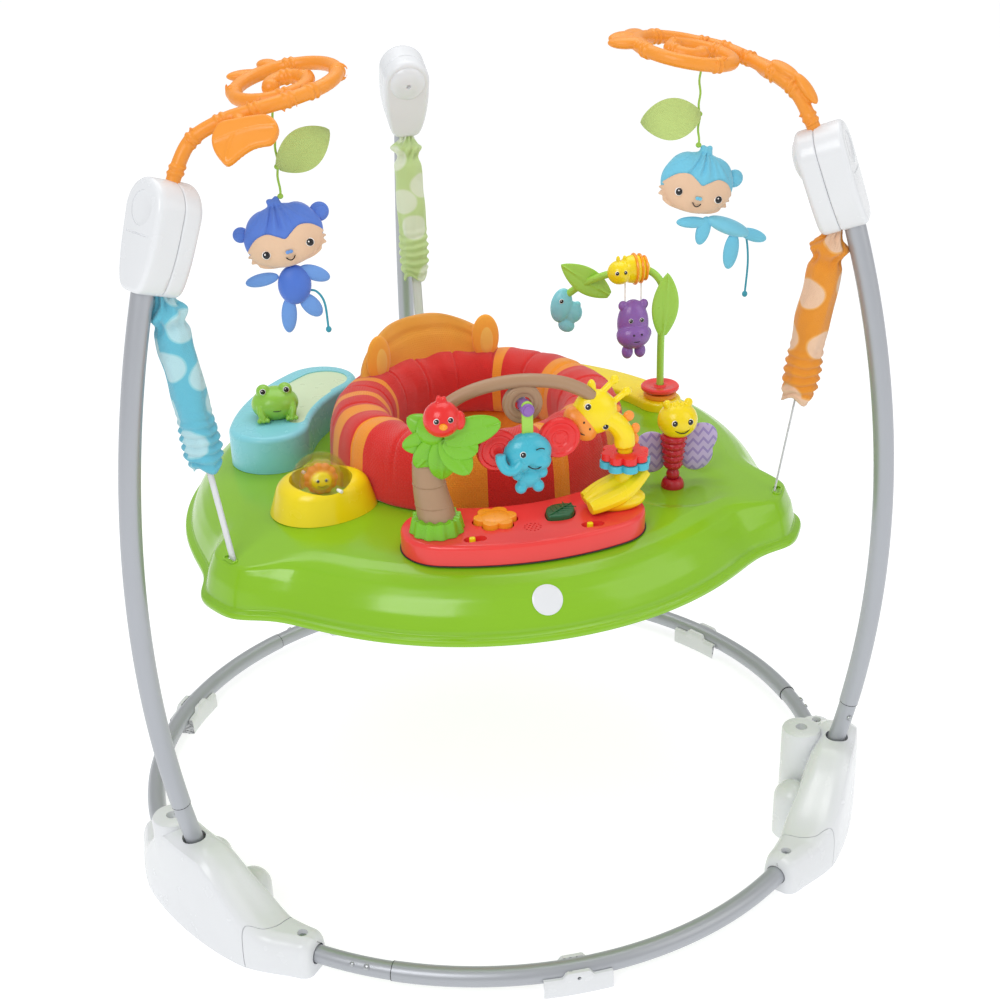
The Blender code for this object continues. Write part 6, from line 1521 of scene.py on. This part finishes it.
def build_frog(place):
    """The lime frog on its round foot, with its hands on its belly."""
    centre = place + up(0.0155)
    lumps = [ball(centre, (0.0275, 0.0240, 0.0200), detail=5)]
    for side in SIDES:
        lumps.append(ball(centre + Vector((side * 0.0125, -0.002, 0.0165)), 0.0086))
        bends = ((0.018, -0.012, 0.004), (0.019, -0.019, -0.003), (0.0165, -0.022, -0.010))
        arm = curve_through([centre + Vector((side * x, y, z)) for x, y, z in bends], 6)
        lumps.append(tube(arm, 0.0042, 16))
        for finger in (-0.005, 0.0, 0.005):
            tip = centre + Vector((side * 0.0165 + finger, -0.0235, -0.0115))
            lumps.append(ball(tip, (0.0026, 0.0036, 0.0028)))
    lumps.append(rod(place + up(0.0006), place + up(0.008), 0.0150))
    floor = at(slab(lambda s: capsule(s, 0.05, 0.05), -0.05, 0.0005), place)
    piece("frog_body", moulded(lumps, 0.0009, 5, [floor]), "frog_green", "frog", ["frog"], 60)
    spots = [centre + Vector((side * 0.0136, -0.0100, 0.0192)) for side in SIDES]
    eyes("frog", spots, 0.0036, "frog", (0, -1, 0.35))
    mouth = smile(centre + Vector((0, -0.0238, 0.003)), 0.0125, 0.0045, 0.0006, 0.0055)
    piece("frog_smile", mouth, "black", "frog")


def build_bubble():
    """The mound-shaped yellow base and the clear ball that rolls in it round a small lion."""
    radius, azimuth = BUBBLE_PLACE
    centre = polar(radius, azimuth, DECK + 0.0335)
    height = 0.0375

    def egg(share):
        turn = math.tau * share
        return 0.054 * math.cos(turn), 0.043 * math.sin(turn) * (1 - 0.12 * math.cos(turn))

    base = slab(egg, 0, height, 0.0120, 7, 180)
    for vert in base.verts:
        spread = mix(1.10, 0.88, vert.co.z / height)
        vert.co.x *= spread
        vert.co.y *= spread
    at(base, polar(radius, azimuth, ON_DECK) + Vector((0.002, 0.004, 0)), 6)
    cuts = [ball(centre, 0.0345, detail=5), ball(centre + up(0.014), (0.0390, 0.0365, 0.0180), detail=5)]
    piece("bubble_socket", less(base, *cuts), "yellow", "tray", ["bubble_base"], 30)
    shell = walled(ball(centre, 0.0325, detail=5), 0.0012)
    piece("clear_ball", shell, "clear", "bubble", ["bubble"], 60)
    plate = lathe([(0, -0.0012), (0.0235, -0.0012), (0.0242, -0.0004), (0.0235, 0.0008), (0, 0.0010)], 64)
    piece("lion_plate", at(plate, centre - up(0.014)), "pale_leaf", "bubble")
    axis = polar(1.0, azimuth + 90)
    pins = [rod(centre + axis * side * 0.0310, centre + axis * side * 0.0385, 0.0019) for side in SIDES]
    piece("ball_pins", joined(*pins), "print_white", "bubble")
    build_lion(centre + Vector((0, -0.003, 0.004)))


def build_lion(place):
    """The small lion's head inside the clear ball, with its mane round its face."""
    lumps = [ball(place, (0.0132, 0.0062, 0.0132))]
    for step in range(11):
        tuft = place + polar(0.0132, 360 * step / 11).xzy + Vector((0, 0.001, 0))
        lumps.append(ball(tuft, (0.0056, 0.0046, 0.0056)))
    mane = moulded(lumps, 0.0008, 3)
    piece("lion_mane", mane, "orange", "bubble", ["lion_figure"], 60)
    face = ball(place + Vector((0, -0.0056, 0)), (0.0112, 0.0058, 0.0104))
    piece("lion_face", face, "yellow", "bubble")
    eyes("lion", [place + Vector((side * 0.0042, -0.0106, 0.0022)) for side in SIDES], 0.0018, "bubble")
    mouth = smile(place + Vector((0, -0.0113, -0.0030)), 0.0050, 0.0020, 0.0005, 0.0012)
    piece("lion_smile", mouth, "black", "bubble")


def butterfly_body(place):
    """The ribbed body over its ball foot, with a ring of small dots on each rib."""
    ribs, low, high = 5, 0.4603, 0.500
    step_up = (high - low) / ribs
    profile = []
    for angle in range(0, 141, 10):
        turn = math.radians(angle)
        profile.append((0.0074 * math.sin(turn), BUTTERFLY_PIVOT - 0.0074 * math.cos(turn)))
    profile += [(0.0046, BUTTERFLY_PIVOT + 0.0064)]
    dots = []
    for rib in range(ribs):
        swell = mix(0.70, 1.0, rib / (ribs - 1)) * 0.0142
        for share in (step / 6 for step in range(7)):
            reach = swell * mix(0.84, 1.0, math.sin(math.pi * share) ** 0.6)
            profile.append((reach, low + step_up * (rib + share)))
        for step in range(12):
            spot = place + polar(swell, 30 * step + 15 * (rib % 2), low + step_up * (rib + 0.5))
            dots.append(ball(spot, 0.0011, detail=2))
    profile += [(0.009, 0.5005), (0, 0.5010)]
    return joined(lathe(profile, 96, Matrix.Translation(place)), *dots)


def build_butterfly():
    """The crimson ribbed body, yellow head and plush wings of the butterfly that sways on its stem."""
    place = polar(*BUTTERFLY_PLACE)
    low, rim = 0.4372, 0.4478
    boot = [(0, low), (0.0125, low), (0.0128, low + 0.003), (0.0118, low + 0.007), (0.0098, low + 0.0098),
            (0.0082, rim), (0.0066, rim), (0.0055, BUTTERFLY_PIVOT - 0.0060), (0, BUTTERFLY_PIVOT - 0.0079)]
    boot = lathe(boot, 64, Matrix.Translation(place))
    piece("butterfly_stem_boot", boot, "crimson", "tray")
    ribbed = butterfly_body(place)
    piece("butterfly_body", ribbed, "crimson", "butterfly", ["butterfly"], 50)
    size = 0.0222
    head = place + Vector((0.004, 0, 0.500 + size * 0.74))
    lumps = [ball(head, (size, size * 0.88, size * 0.92), detail=5)]
    lumps.append(ball(head + Vector((0, -0.001, size * 0.90)), (0.0022, 0.007, 0.0030)))
    for side in SIDES:
        lumps.append(ball(head + Vector((side * 0.012, 0, size * 0.86)), (0.0048, 0.0048, 0.0052)))
        lumps.append(ball(head + Vector((side * 0.0045, -0.001, size * 0.86)), (0.0020, 0.007, 0.0028)))
    face = moulded(lumps, 0.0008, 4)
    piece("butterfly_head", face, "yellow", "butterfly", crease=60)
    places = [head + Vector((side * 0.0086, -0.0172, 0.0030)) for side in SIDES]
    eyes("butterfly", places, 0.0036, "butterfly")
    mouth = smile(head + Vector((0, -0.0194, -0.0050)), 0.0090, 0.0035, 0.0006, 0.0032)
    piece("butterfly_smile", mouth, "black", "butterfly")

    root = place + Vector((0.004, 0.0145, mix(ON_DECK, 0.500, 0.62)))
    lobes = [ball(root, (0.016, 0.005, 0.013))]
    for side, share in ((-1, 0.92), (1, 1.12)):
        reach = root + Vector((side * 0.026 * share, 0, 0.005))
        lobes.append(ball(reach, (0.0215 * share, 0.0055, 0.0180 * share), turned(side * -28, "Y"), 5))
        reach = root + Vector((side * 0.025 * share, 0, -0.011))
        lobes.append(ball(reach, (0.0175 * share, 0.0055, 0.0175 * share), turned(side * 25, "Y"), 5))
    clear_of_body = rod(place + up(0.43), place + up(0.503), 0.0146)
    clear_of_head = ball(head, (size + 0.0005, size * 0.88 + 0.0005, size * 0.92 + 0.0005), detail=5)
    wings = moulded(lobes, 0.0010, 4, [clear_of_body, clear_of_head])
    wings = piece(
        "butterfly_plush_wings", wings, "wing", "butterfly", ["butterfly_wings"], 180
    )


def arch_route():
    """The arch's foot on its plate, and the points that its stem passes on the way to the fish."""
    foot = polar(*ARCH_FOOT)
    rises = ((0.0, 0.0, -0.087), (0.003, 0.0, -0.047), (-0.002, 0.001, -0.017))
    overs = ((0.012, 0, -0.001), (-0.024, 0.002, -0.003), (-0.054, 0.020, -0.018), (-0.074, 0.034, -0.036))
    route = [foot + up(0.446)]
    route += [foot + Vector((x, y, BEE.z + z)) for x, y, z in rises]
    return foot, route + [BEE + Vector(step) for step in overs]


def build_leaf_arch():
    """The leafy arch on its yellow plate, with the toys that it carries."""
    foot, route = arch_route()
    base = kidney((0.234, 0.286, (17.0, 48.0)), ON_DECK, 0.4520, 0.0045, 4, 200)
    piece("arch_base_plate", base, "yellow", "tray", ["arch_base"], 30)
    leaves = [tube(curve_through(route, 8), 0.0045)]
    for place, turn, length, width in (
        (route[2] + Vector((-0.002, -0.002, -0.038)), -86, 0.078, 0.034),
        (route[6] + Vector((0.030, 0, -0.018)), 216, 0.074, 0.032),
    ):
        leaf_shape = blade(length, width, 0.006)
        leaf_shape.transform(Matrix.Translation(place) @ turned(turn, "Y") @ turned(90, "X"))
        leaves.append(leaf_shape)
    piece("leaf_arch_stem", joined(*leaves), "pale_leaf", "tray", ["leaf_arch"], 50)
    build_bee()
    build_fish(route[7])
    build_discs(foot)
    build_hippo(BEE - up(0.068))


def build_bee():
    """The ridged bee on top of the arch, with two holes for the hippo's strings."""
    ends = [[BEE + Vector((side * 0.010, 0, height)) for height in (-0.03, -0.010)] for side in SIDES]
    holes = [rod(*pair, 0.0032) for pair in ends]
    bee = moulded([
        ball(BEE, (0.0205, 0.0150, 0.0170), detail=5),
        ball(BEE + Vector((-0.018, -0.002, -0.002)), 0.0145, detail=5),
        ball(BEE + Vector((-0.020, -0.003, 0.014)), (0.0026, 0.0026, 0.0050)),
        ball(BEE + Vector((-0.012, -0.003, 0.014)), (0.0026, 0.0026, 0.0050)),
    ], 0.0008, 4, holes)
    piece("bee_body", bee, "yellow", "tray", crease=60)
    ridges = []
    for x, share in ((0.001, 1.0), (0.008, 0.94), (0.014, 0.78)):
        ring = []
        for step in range(48):
            turn = math.tau * step / 48
            ring.append(BEE + Vector((x, 0.0158 * share * math.cos(turn), 0.0178 * share * math.sin(turn))))
        ridges.append(tube(ring, 0.0016, 12, closed=True))
    piece("bee_ridges", joined(*ridges), "amber", "tray")
    eyes("bee", [BEE + Vector((x, -0.0150, 0.001)) for x in (-0.0245, -0.0145)], 0.0026, "tray")


def build_fish(end):
    """The aqua fish that hangs head up from the end of the arch."""
    lumps = [
        ball(end + Vector((-0.006, 0, -0.012)), (0.0135, 0.0085, 0.0215), Matrix.Rotation(0.2, 4, "Y"), 5),
        ball(end + Vector((0.008, 0, -0.022)), (0.0120, 0.0050, 0.0140), Matrix.Rotation(-0.35, 4, "Y")),
        ball(end - up(0.038), (0.0110, 0.0040, 0.0085), Matrix.Rotation(0.5, 4, "Y")),
    ]
    for step in range(4):
        fin = end + Vector((0.014 - 0.002 * step, 0, -0.013 - 0.0065 * step))
        lumps.append(ball(fin, (0.0045, 0.0035, 0.0042)))
    piece("fish_body", moulded(lumps, 0.0008, 4), "aqua", "tray", crease=60)
    piece("fish_eye", eyeball(end + Vector((-0.008, -0.0087, -0.004)), 0.0028), EYE_LOOKS, "tray")


def build_discs(foot):
    """The orange and coral discs that spin together round the arch's stem."""
    discs = (
        (0.0200, 0.4523, 0.0088, "orange", ["spin_discs"], "orange_plastic"),
        (0.0235, 0.4618, 0.0064, "coral", (), "coral_plastic"),
    )
    for index, (radius, low, hub, look, replaced, slot) in enumerate(discs):
        profile = [
            (0.0050, 0), (radius - 0.0012, 0),
            (radius, 0.0014), (radius, 0.0042), (radius - 0.0016, 0.0058),
            (radius * 0.66, 0.0060), (radius * 0.60, 0.0052), (0.0080, 0.0052), (0.0072, 0.0060),
            (0.0072, hub), (0.0050, hub), (0.0050, 0),
        ]
        disc = lathe(profile, 72, Matrix.Translation(foot + up(low)))
        piece(f"spinning_disc_{index + 1}", disc, look, "spin_discs", replaced)


def build_hippo(middle):
    """The purple hippo that hangs from the bee on two strings."""
    lumps = [
        ball(middle, (0.0195, 0.0150, 0.0300), detail=5),
        ball(middle + Vector((-0.001, -0.006, -0.013)), (0.0210, 0.0158, 0.0165), detail=5),
    ]
    strings = []
    for side in SIDES:
        start = middle + Vector((side * 0.010, 0, 0.012))
        strings.append(tube([start, Vector((start.x, start.y, BEE.z - 0.011))], 0.0010, 12))
        lumps.append(ball(middle + Vector((side * 0.0130, -0.001, 0.0235)), (0.0058, 0.0042, 0.0064)))
        lumps.append(ball(middle + Vector((side * 0.008, -0.004, -0.034)), (0.0070, 0.0070, 0.0090)))
        lumps.append(ball(middle + Vector((side * 0.0165, -0.005, -0.012)), (0.0055, 0.0058, 0.0075)))
    piece("hippo_body", moulded(lumps, 0.0008, 5), "purple", "hippo", ["hippo"], 60)
    piece("hippo_strings", joined(*strings), "print_white", "hippo")
    eyes("hippo", [middle + Vector((side * 0.0068, -0.0142, 0.008)) for side in SIDES], 0.0028, "hippo")
    spots = [middle + Vector((side * 0.005, -0.0214, -0.008)) for side in SIDES]
    nostrils = [ball(spot, (0.0011, 0.0008, 0.0015), detail=3) for spot in spots]
    mouth = smile(middle + Vector((-0.001, -0.0212, -0.0140)), 0.0095, 0.0028, 0.0006, 0.0035)
    piece("hippo_face_lines", joined(*nostrils, mouth), "black", "hippo")


def vine_root():
    """Where the left vine leaves its housing, at azimuth 0, and the way it leaves."""
    place = housing_place()
    root = place @ Vector((HOUSING_SEAM, 0.0, HOUSING_LENGTH / 2 - 0.014))
    return root, (place.to_3x3() @ Vector((0.0, 0.0, 1.0))).normalized()


def vine_centre():
    return vine_root()[0] + Vector((-0.1365, 0.0060, 0.0838))


def vine_ring():
    """The vine's curl round its middle: a full turn, and a tighter one that ends in the hook."""
    points = []
    for angle in range(90, 711, 10):
        points.append(on_ring(mix(0.050, 0.016, ramp(angle, 330, 540)), angle))
    return points


ARM_LEAVES = {"left": (), "right": (19, 28)}
RING_LEAVES = {
    "left": ((272, 0.060, (0.0210, 0.0100, 0.0058), 150), (248, 0.068, (0.0135, 0.0095, 0.0060), 100)),
    "right": (
        (166, 0.059, (0.0215, 0.0125, 0.0062), 100), (204, 0.060, (0.0200, 0.0120, 0.0065), 15),
        (186, 0.064, (0.0170, 0.0115, 0.0060), 55),
    ),
}
STEM_LEAF = (
    (-0.0255, 0.0164), (-0.0127, 0.0205), (0.0036, 0.0237),
    (0.0182, 0.0246), (0.0273, 0.0182), (0.0310, 0.0073),
    (0.0255, -0.0045), (0.0109, -0.0082), (0.0010, -0.0146), (-0.0127, -0.0264), (-0.0218, -0.0200),
    (-0.0290, -0.0090), (-0.0310, 0.0036),
)


def on_ring(reach, angle):
    """A place in the curl's plane, which slopes inward and up."""
    flat = polar(reach, angle)
    return flat - up(0.20 * flat.x)


def thorned_band(place, way, start):
    """A tendril of two turns round the vine, which lifts off at both ends as thorns."""
    coil = []
    for step in range(-18, 19):
        turn = math.tau * (step + 18) / 18 + start
        outward = aimed(place, way).to_3x3() @ Vector((math.cos(turn), math.sin(turn), 0))
        lift = 0.0066 + 0.0030 * ramp(abs(step), 14, 18)
        coil.append(place + outward * lift + way * step * 0.00034)
    return tube(coil, 0.0021, 8, [1 - 0.65 * ramp(abs(step), 13, 18) for step in range(-18, 19)])


def stem_leaf(place):
    """The thick lobed leaf on the vine's stem: a flat plate with two raised ribs that faces the front."""
    edge = curve_through(STEM_LEAF, 8, closed=True)
    top = 0.0042
    plate = slab(lambda s: along(edge, s)[:2], -0.0032, top, 0.0030, 4, 104)
    ribs = (
        ((-0.0290, -0.0040, top), (-0.0100, 0.0040, top), (0.0080, 0.0100, top), (0.0270, 0.0120, top)),
        ((-0.0100, 0.0040, top), (-0.0140, -0.0080, top), (-0.0150, -0.0210, 0.0040)),
    )
    plate = joined(plate, *(tube(curve_through(rib, 5), 0.0013, 8) for rib in ribs))
    plate.transform(aimed(place, (0.567, 0.481, 0.67)))
    return plate


def build_vines():
    """The orange vine arms: bands with thorns, a thick lobed leaf, and a curl that ends in the hook."""
    root, upward = vine_root()
    reaches = (
        (-0.0245, 0.004, 0.0468), (-0.0515, 0.018, 0.0628),
        (-0.0815, 0.040, 0.0728), (-0.1095, 0.054, 0.0793),
    )
    stem = [root, root + upward * 0.018] + [root + Vector(reach) for reach in reaches]
    ring = [vine_centre() + point for point in vine_ring()]
    line = curve_through(stem + ring[:2], 10)[:-10] + ring
    for side in ("left", "right"):
        lumps = [tube(line, 0.0070, 24), ball(line[-1], 0.0088)]
        for index in range(12, len(line) - 5, 9):
            lumps.append(thorned_band(line[index], (line[index + 1] - line[index - 1]).normalized(), index))
        lumps.append(stem_leaf(root + Vector((-0.0516, 0.0545, 0.0513))))
        lumps.append(tube([line[34], root + Vector((-0.0560, 0.0500, 0.0570))], 0.0060, 16))
        for index in ARM_LEAVES[side]:
            faced = aimed((0, 0, 0), line[index + 1] - line[index - 1])
            lumps.append(ball(line[index] + Vector((0.0085, 0.0, 0.0060)), (0.0085, 0.0050, 0.0185), faced))
        for angle, reach, radii, turn in RING_LEAVES[side]:
            lumps.append(ball(vine_centre() + on_ring(reach, angle), radii, turned(turn)))
        arm = moulded(lumps, 0.0011, 2)
        arm.transform(turned(LEGS[side]))
        piece(f"vine_{side}", arm, "orange", "frame", [f"vine_arm_{side}"], 60)


MONKEYS = {
    "left": {
        "drop": 0.1429, "looks": ("blue_plush", "blue_satin", "light_blue"), "tilt": -12,
        "ears": ((-1, 0.0080), (1, 0.0100)), "tie": 0.70, "leaf_lean": -30,
        "limbs": (
            ((0.007, -0.053), (0.0170, 0.0115, 0.0205), 0), ((-0.025, -0.045), (0.0170, 0.0042, 0.0068), -8),
            ((0.028, -0.043), (0.0165, 0.0042, 0.0078), 24), ((-0.001, -0.084), (0.0080, 0.0045, 0.0190), 4),
            ((0.022, -0.076), (0.0088, 0.0042, 0.0150), -38),
        ),
        "tail": ((0.020, -0.060), (0.029, -0.063), (0.036, -0.076), (0.038, -0.104)),
    },
    "right": {
        "drop": 0.1289, "looks": ("sky_plush", "sky_satin", "sky_plush"), "tilt": 16,
        "ears": ((1, 0.0095),), "tie": 0.62, "leaf_lean": 176,
        "limbs": (
            ((0.036, -0.051), (0.0260, 0.0095, 0.0085), 24), ((-0.004, -0.043), (0.0180, 0.0042, 0.0062), 6),
            ((0.008, -0.053), (0.0078, 0.0042, 0.0155), 16), ((0.040, -0.078), (0.0085, 0.0045, 0.0200), 8),
            ((0.064, -0.063), (0.0165, 0.0042, 0.0068), 22),
        ),
        "tail": ((0.048, -0.060), (0.056, -0.062), (0.060, -0.090), (0.058, -0.128)),
    },
}

HALF_FACE = (
    (0.0070, 0.0035), (0.0165, 0.0085), (0.0270, 0.0065),
    (0.0345, 0.0005), (0.0392, -0.0065), (0.0372, -0.0088),
    (0.0404, -0.0128), (0.0372, -0.0150), (0.0388, -0.0198),
    (0.0340, -0.0212), (0.0310, -0.0262), (0.0200, -0.0305),
)
FACE = [(0.0, -0.0005), *HALF_FACE, (0.0, -0.0322), *((-x, z) for x, z in HALF_FACE[::-1])]


def declare_cord(line):
    """Works out the cord's path from the row's origin and its length, and keeps neither."""
    path = [point + RING_CENTRE for point in line]
    length = sum((b - a).length for a, b in zip(path, path[1:]))
    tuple(path[0])


def build_toy_cord(side, monkey, body, top, low):
    """The cord from the vine's hook to the head, with its knots and the cloth leaf tied to it."""
    line = [top.lerp(low, i / 24) + Vector((0.0008 * math.sin(i * 0.9), 0, 0)) for i in range(25)]
    tie = top.lerp(low, monkey["tie"])
    cord = tube(line, CORD_DIAMETER / 2, 12)
    knots = [
        ball(line[0], (0.0036, 0.0036, 0.0030)), ball(line[-1], (0.0030, 0.0030, 0.0028)),
        ball(tie, (0.0034, 0.0034, 0.0030)),
    ]
    cord = piece(f"toy_cord_{side}", cord, "cord_green", body, [f"mobile_cord_{side}"])
    knots = piece(f"toy_cord_knots_{side}", joined(*knots), "cord_green", body)
    declare_cord(line)
    length, width = CLOTH_LEAF

    def leaf_point(u, v):
        half = width / 2 * max(math.sin(math.pi * (0.03 + 0.97 * u)), 0) ** 0.7
        y = half * (2 * v - 1)
        return Vector((length * u, y, 0.004 * math.sin(3 * u + 1) + 0.05 * abs(y) + 0.002 * math.sin(80 * y)))

    cloth = grid(40, 24, leaf_point, CLOTH_LEAF)
    cloth.transform(Matrix.Translation(tie) @ turned(monkey["leaf_lean"], "Y") @ turned(90, "X"))
    cloth = walled(cloth, 0.0012)
    cloth = piece(f"cloth_leaf_{side}", cloth, "leaf_cloth", body, crease=60)


def build_toy_head(side, monkey, body, here):
    """The plush head, gathered into a knot on top with folds that run down from it, and its ears."""
    head = moulded([
        ball((0, 0, -0.001), (0.0402, 0.0160, 0.0315), detail=5),
        ball((-0.014, 0, 0.008), (0.0215, 0.0135, 0.0205)),
        ball((0.014, 0, 0.008), (0.0215, 0.0135, 0.0205)),
        ball((0, 0, 0.0315), (0.0070, 0.0055, 0.0050)),
        ball((-0.004, 0, 0.0350), (0.0034, 0.0030, 0.0030)),
        ball((0.003, 0, 0.0355), (0.0032, 0.0030, 0.0034)),
    ], 0.0011, 4)
    for vertex in head.verts:
        angle = math.atan2(vertex.co.x, 0.040 - vertex.co.z)
        share = ramp(vertex.co.z, 0.002, 0.016) * ramp(0.034 - vertex.co.z, -0.002, 0.008)
        fold = abs(math.sin(7.5 * angle + 0.4)) ** 0.6 + 0.35 * math.sin(19 * angle)
        vertex.co.y += 0.0030 * (fold - 0.6) * share * math.copysign(1, vertex.co.y)
    ears = []
    for sign, size in monkey["ears"]:
        ears.append(ball((sign * 0.0405, 0.003, 0.0105), (size, 0.0045, size)))
        ears.append(ball((sign * 0.0415, -0.0006, 0.0105), (size * 0.62, 0.0020, size * 0.62)))
    head = joined(head, *ears)
    head.transform(here)
    plush = monkey["looks"][0]
    head = piece(f"toy_head_{side}", head, plush, body, [f"monkey_head_{side}"], 180)


def build_toy_face(side, monkey, body, here):
    """The peach face with its ragged lower edge, and its eyes, nose and mouth."""
    outline = curve_through(FACE, 6, closed=True)
    heart = Vector((0.0, -0.0120))

    def face_point(u, v):
        x, z = heart.lerp(along(outline, u), v)
        bulge = max(1 - (x / 0.0412) ** 2 - (z / 0.0332) ** 2, 0.004) ** 0.5
        return Vector((x, -0.0160 * bulge - 0.0012, z))

    face = walled(grid(156, 28, face_point), 0.0010)
    nose = joined(*(ball((s * 0.0016, -0.0172, -0.0140), (0.0022, 0.0012, 0.0019), detail=3) for s in SIDES))
    mouth = smile((0, -0.0158, -0.0195), 0.0046, 0.0034, 0.00065, 0.0006)
    left, right = (eyeball((x, -0.0140, -0.0115), 0.0044) for x in (-0.0225, 0.0225))
    for mesh in (face, nose, mouth, left, right):
        mesh.transform(here)
    piece(f"toy_face_{side}", face, "peach", body, crease=180)
    piece(f"toy_eye_{side}_left", left, EYE_LOOKS, body)
    piece(f"toy_eye_{side}_right", right, EYE_LOOKS, body)
    piece(f"toy_nose_{side}", nose, monkey["looks"][2], body)
    piece(f"toy_mouth_{side}", mouth, "black", body)


def build_toy_body(side, monkey, body, centre):
    """The stuffed belly, arms and legs, and the tail with its knot."""
    bags = []
    for (x, z), radii, angle in monkey["limbs"]:
        bags.append(ball(centre + Vector((x, 0, z)), radii, turned(angle, "Y"), 4 if bags else 5))
    satin, paw = monkey["looks"][1:]
    belly = piece(f"toy_belly_{side}", bags[0], satin, body, [f"monkey_body_{side}"], 180)
    paws = piece(f"toy_limbs_{side}", joined(*bags[1:]), paw, body, crease=180)
    line = curve_through([centre + Vector((x, 0.001, z)) for x, z in monkey["tail"]], 8)
    tail = piece(f"toy_tail_{side}", tube(line, CORD_DIAMETER / 2, 12), "cord_teal", body)
    end = ball(line[-1], (0.0030, 0.0030, 0.0034))
    knot = piece(f"toy_tail_knot_{side}", end, "cord_teal", body)
    declare_cord(line)


def build_monkeys():
    """The two stuffed monkeys on their cords, with cloth leaves tied to the cords."""
    for side, monkey in MONKEYS.items():
        hook = turned(LEGS[side]) @ (vine_centre() + vine_ring()[-1])
        centre = hook - up(monkey["drop"])
        body = f"monkey_{side}"
        here = Matrix.Translation(centre) @ turned(monkey["tilt"], "Y")
        build_toy_cord(side, monkey, body, hook - up(0.0075), centre + up(0.038))
        build_toy_head(side, monkey, body, here)
        build_toy_face(side, monkey, body, here)
        build_toy_body(side, monkey, body, centre)


CAMERA_AT = Vector((-0.3517, -1.7278, 1.2051))
CAMERA_AIM = Vector((0.0, -0.020, 0.350))
CAMERA_ROLL = -1.988
CAMERA_LENS = 58.45
CAMERA_SHIFT = (0.0204, 0.0206)


def light(name, place, aim, size, power, tint):
    lamp = bpy.data.lights.new(name, "AREA")
    lamp.shape = "RECTANGLE"
    lamp.size, lamp.size_y = size
    lamp.energy = power
    lamp.color = linear(tint)[:3]
    obj = bpy.data.objects.new(name, lamp)
    bpy.context.scene.collection.objects.link(obj)
    obj.location = place
    obj.rotation_euler = (Vector(aim) - Vector(place)).to_track_quat("-Z", "Y").to_euler()
    return obj


def build_stage():
    """The photo's view, a pale floor that runs out of sight, and soft studio light."""
    data = bpy.data.cameras.new("photo_view")
    data.lens = CAMERA_LENS
    data.sensor_width = 36.0
    data.shift_x, data.shift_y = CAMERA_SHIFT
    camera = bpy.data.objects.new("photo_view", data)
    bpy.context.scene.collection.objects.link(camera)
    aim = (CAMERA_AIM - CAMERA_AT).to_track_quat("-Z", "Y").to_matrix().to_4x4()
    camera.matrix_world = Matrix.Translation(CAMERA_AT) @ aim @ turned(CAMERA_ROLL)
    bpy.context.scene.camera = camera

    mesh = bmesh.new()
    bmesh.ops.create_grid(mesh, x_segments=2, y_segments=2, size=9.0)
    floor = settle(mesh, "studio_floor")
    paper, _, shader, _ = surface("white_studio_paper", "#AEB0B2", Roughness=0.75, Emission_Strength=0.74)
    shader.inputs["Emission Color"].default_value = (1, 1, 1, 1)
    floor.data.materials.append(paper)

    light("key_softbox", (-1.5, -2.0, 2.4), (0, 0, 0.45), (1.5, 1.5), 30, "#FFFFFF")
    light("fill_softbox", (1.9, -1.4, 1.6), (0, 0, 0.45), (1.6, 1.6), 9, "#FFFDF8")
    light("top_softbox", (0.2, 0.6, 2.6), (0, 0, 0.4), (2.2, 1.6), 20, "#FFFFFF")
    world = bpy.data.worlds.new("studio")
    bpy.context.scene.world = world
    world.use_nodes = True
    world.node_tree.nodes["Background"].inputs[0].default_value = (1, 1, 1, 1)
    world.node_tree.nodes["Background"].inputs[1].default_value = 0.58
    bpy.context.scene.view_settings.view_transform = "Standard"


build_base()
build_feet()
build_legs()
build_housings()
build_suspension()
build_tray()
build_badge()
build_seat()
build_console()
build_palm()
build_elephant()
build_giraffe()
build_blue_station()
build_bubble()
build_butterfly()
build_leaf_arch()
build_vines()
build_monkeys()
build_stage()
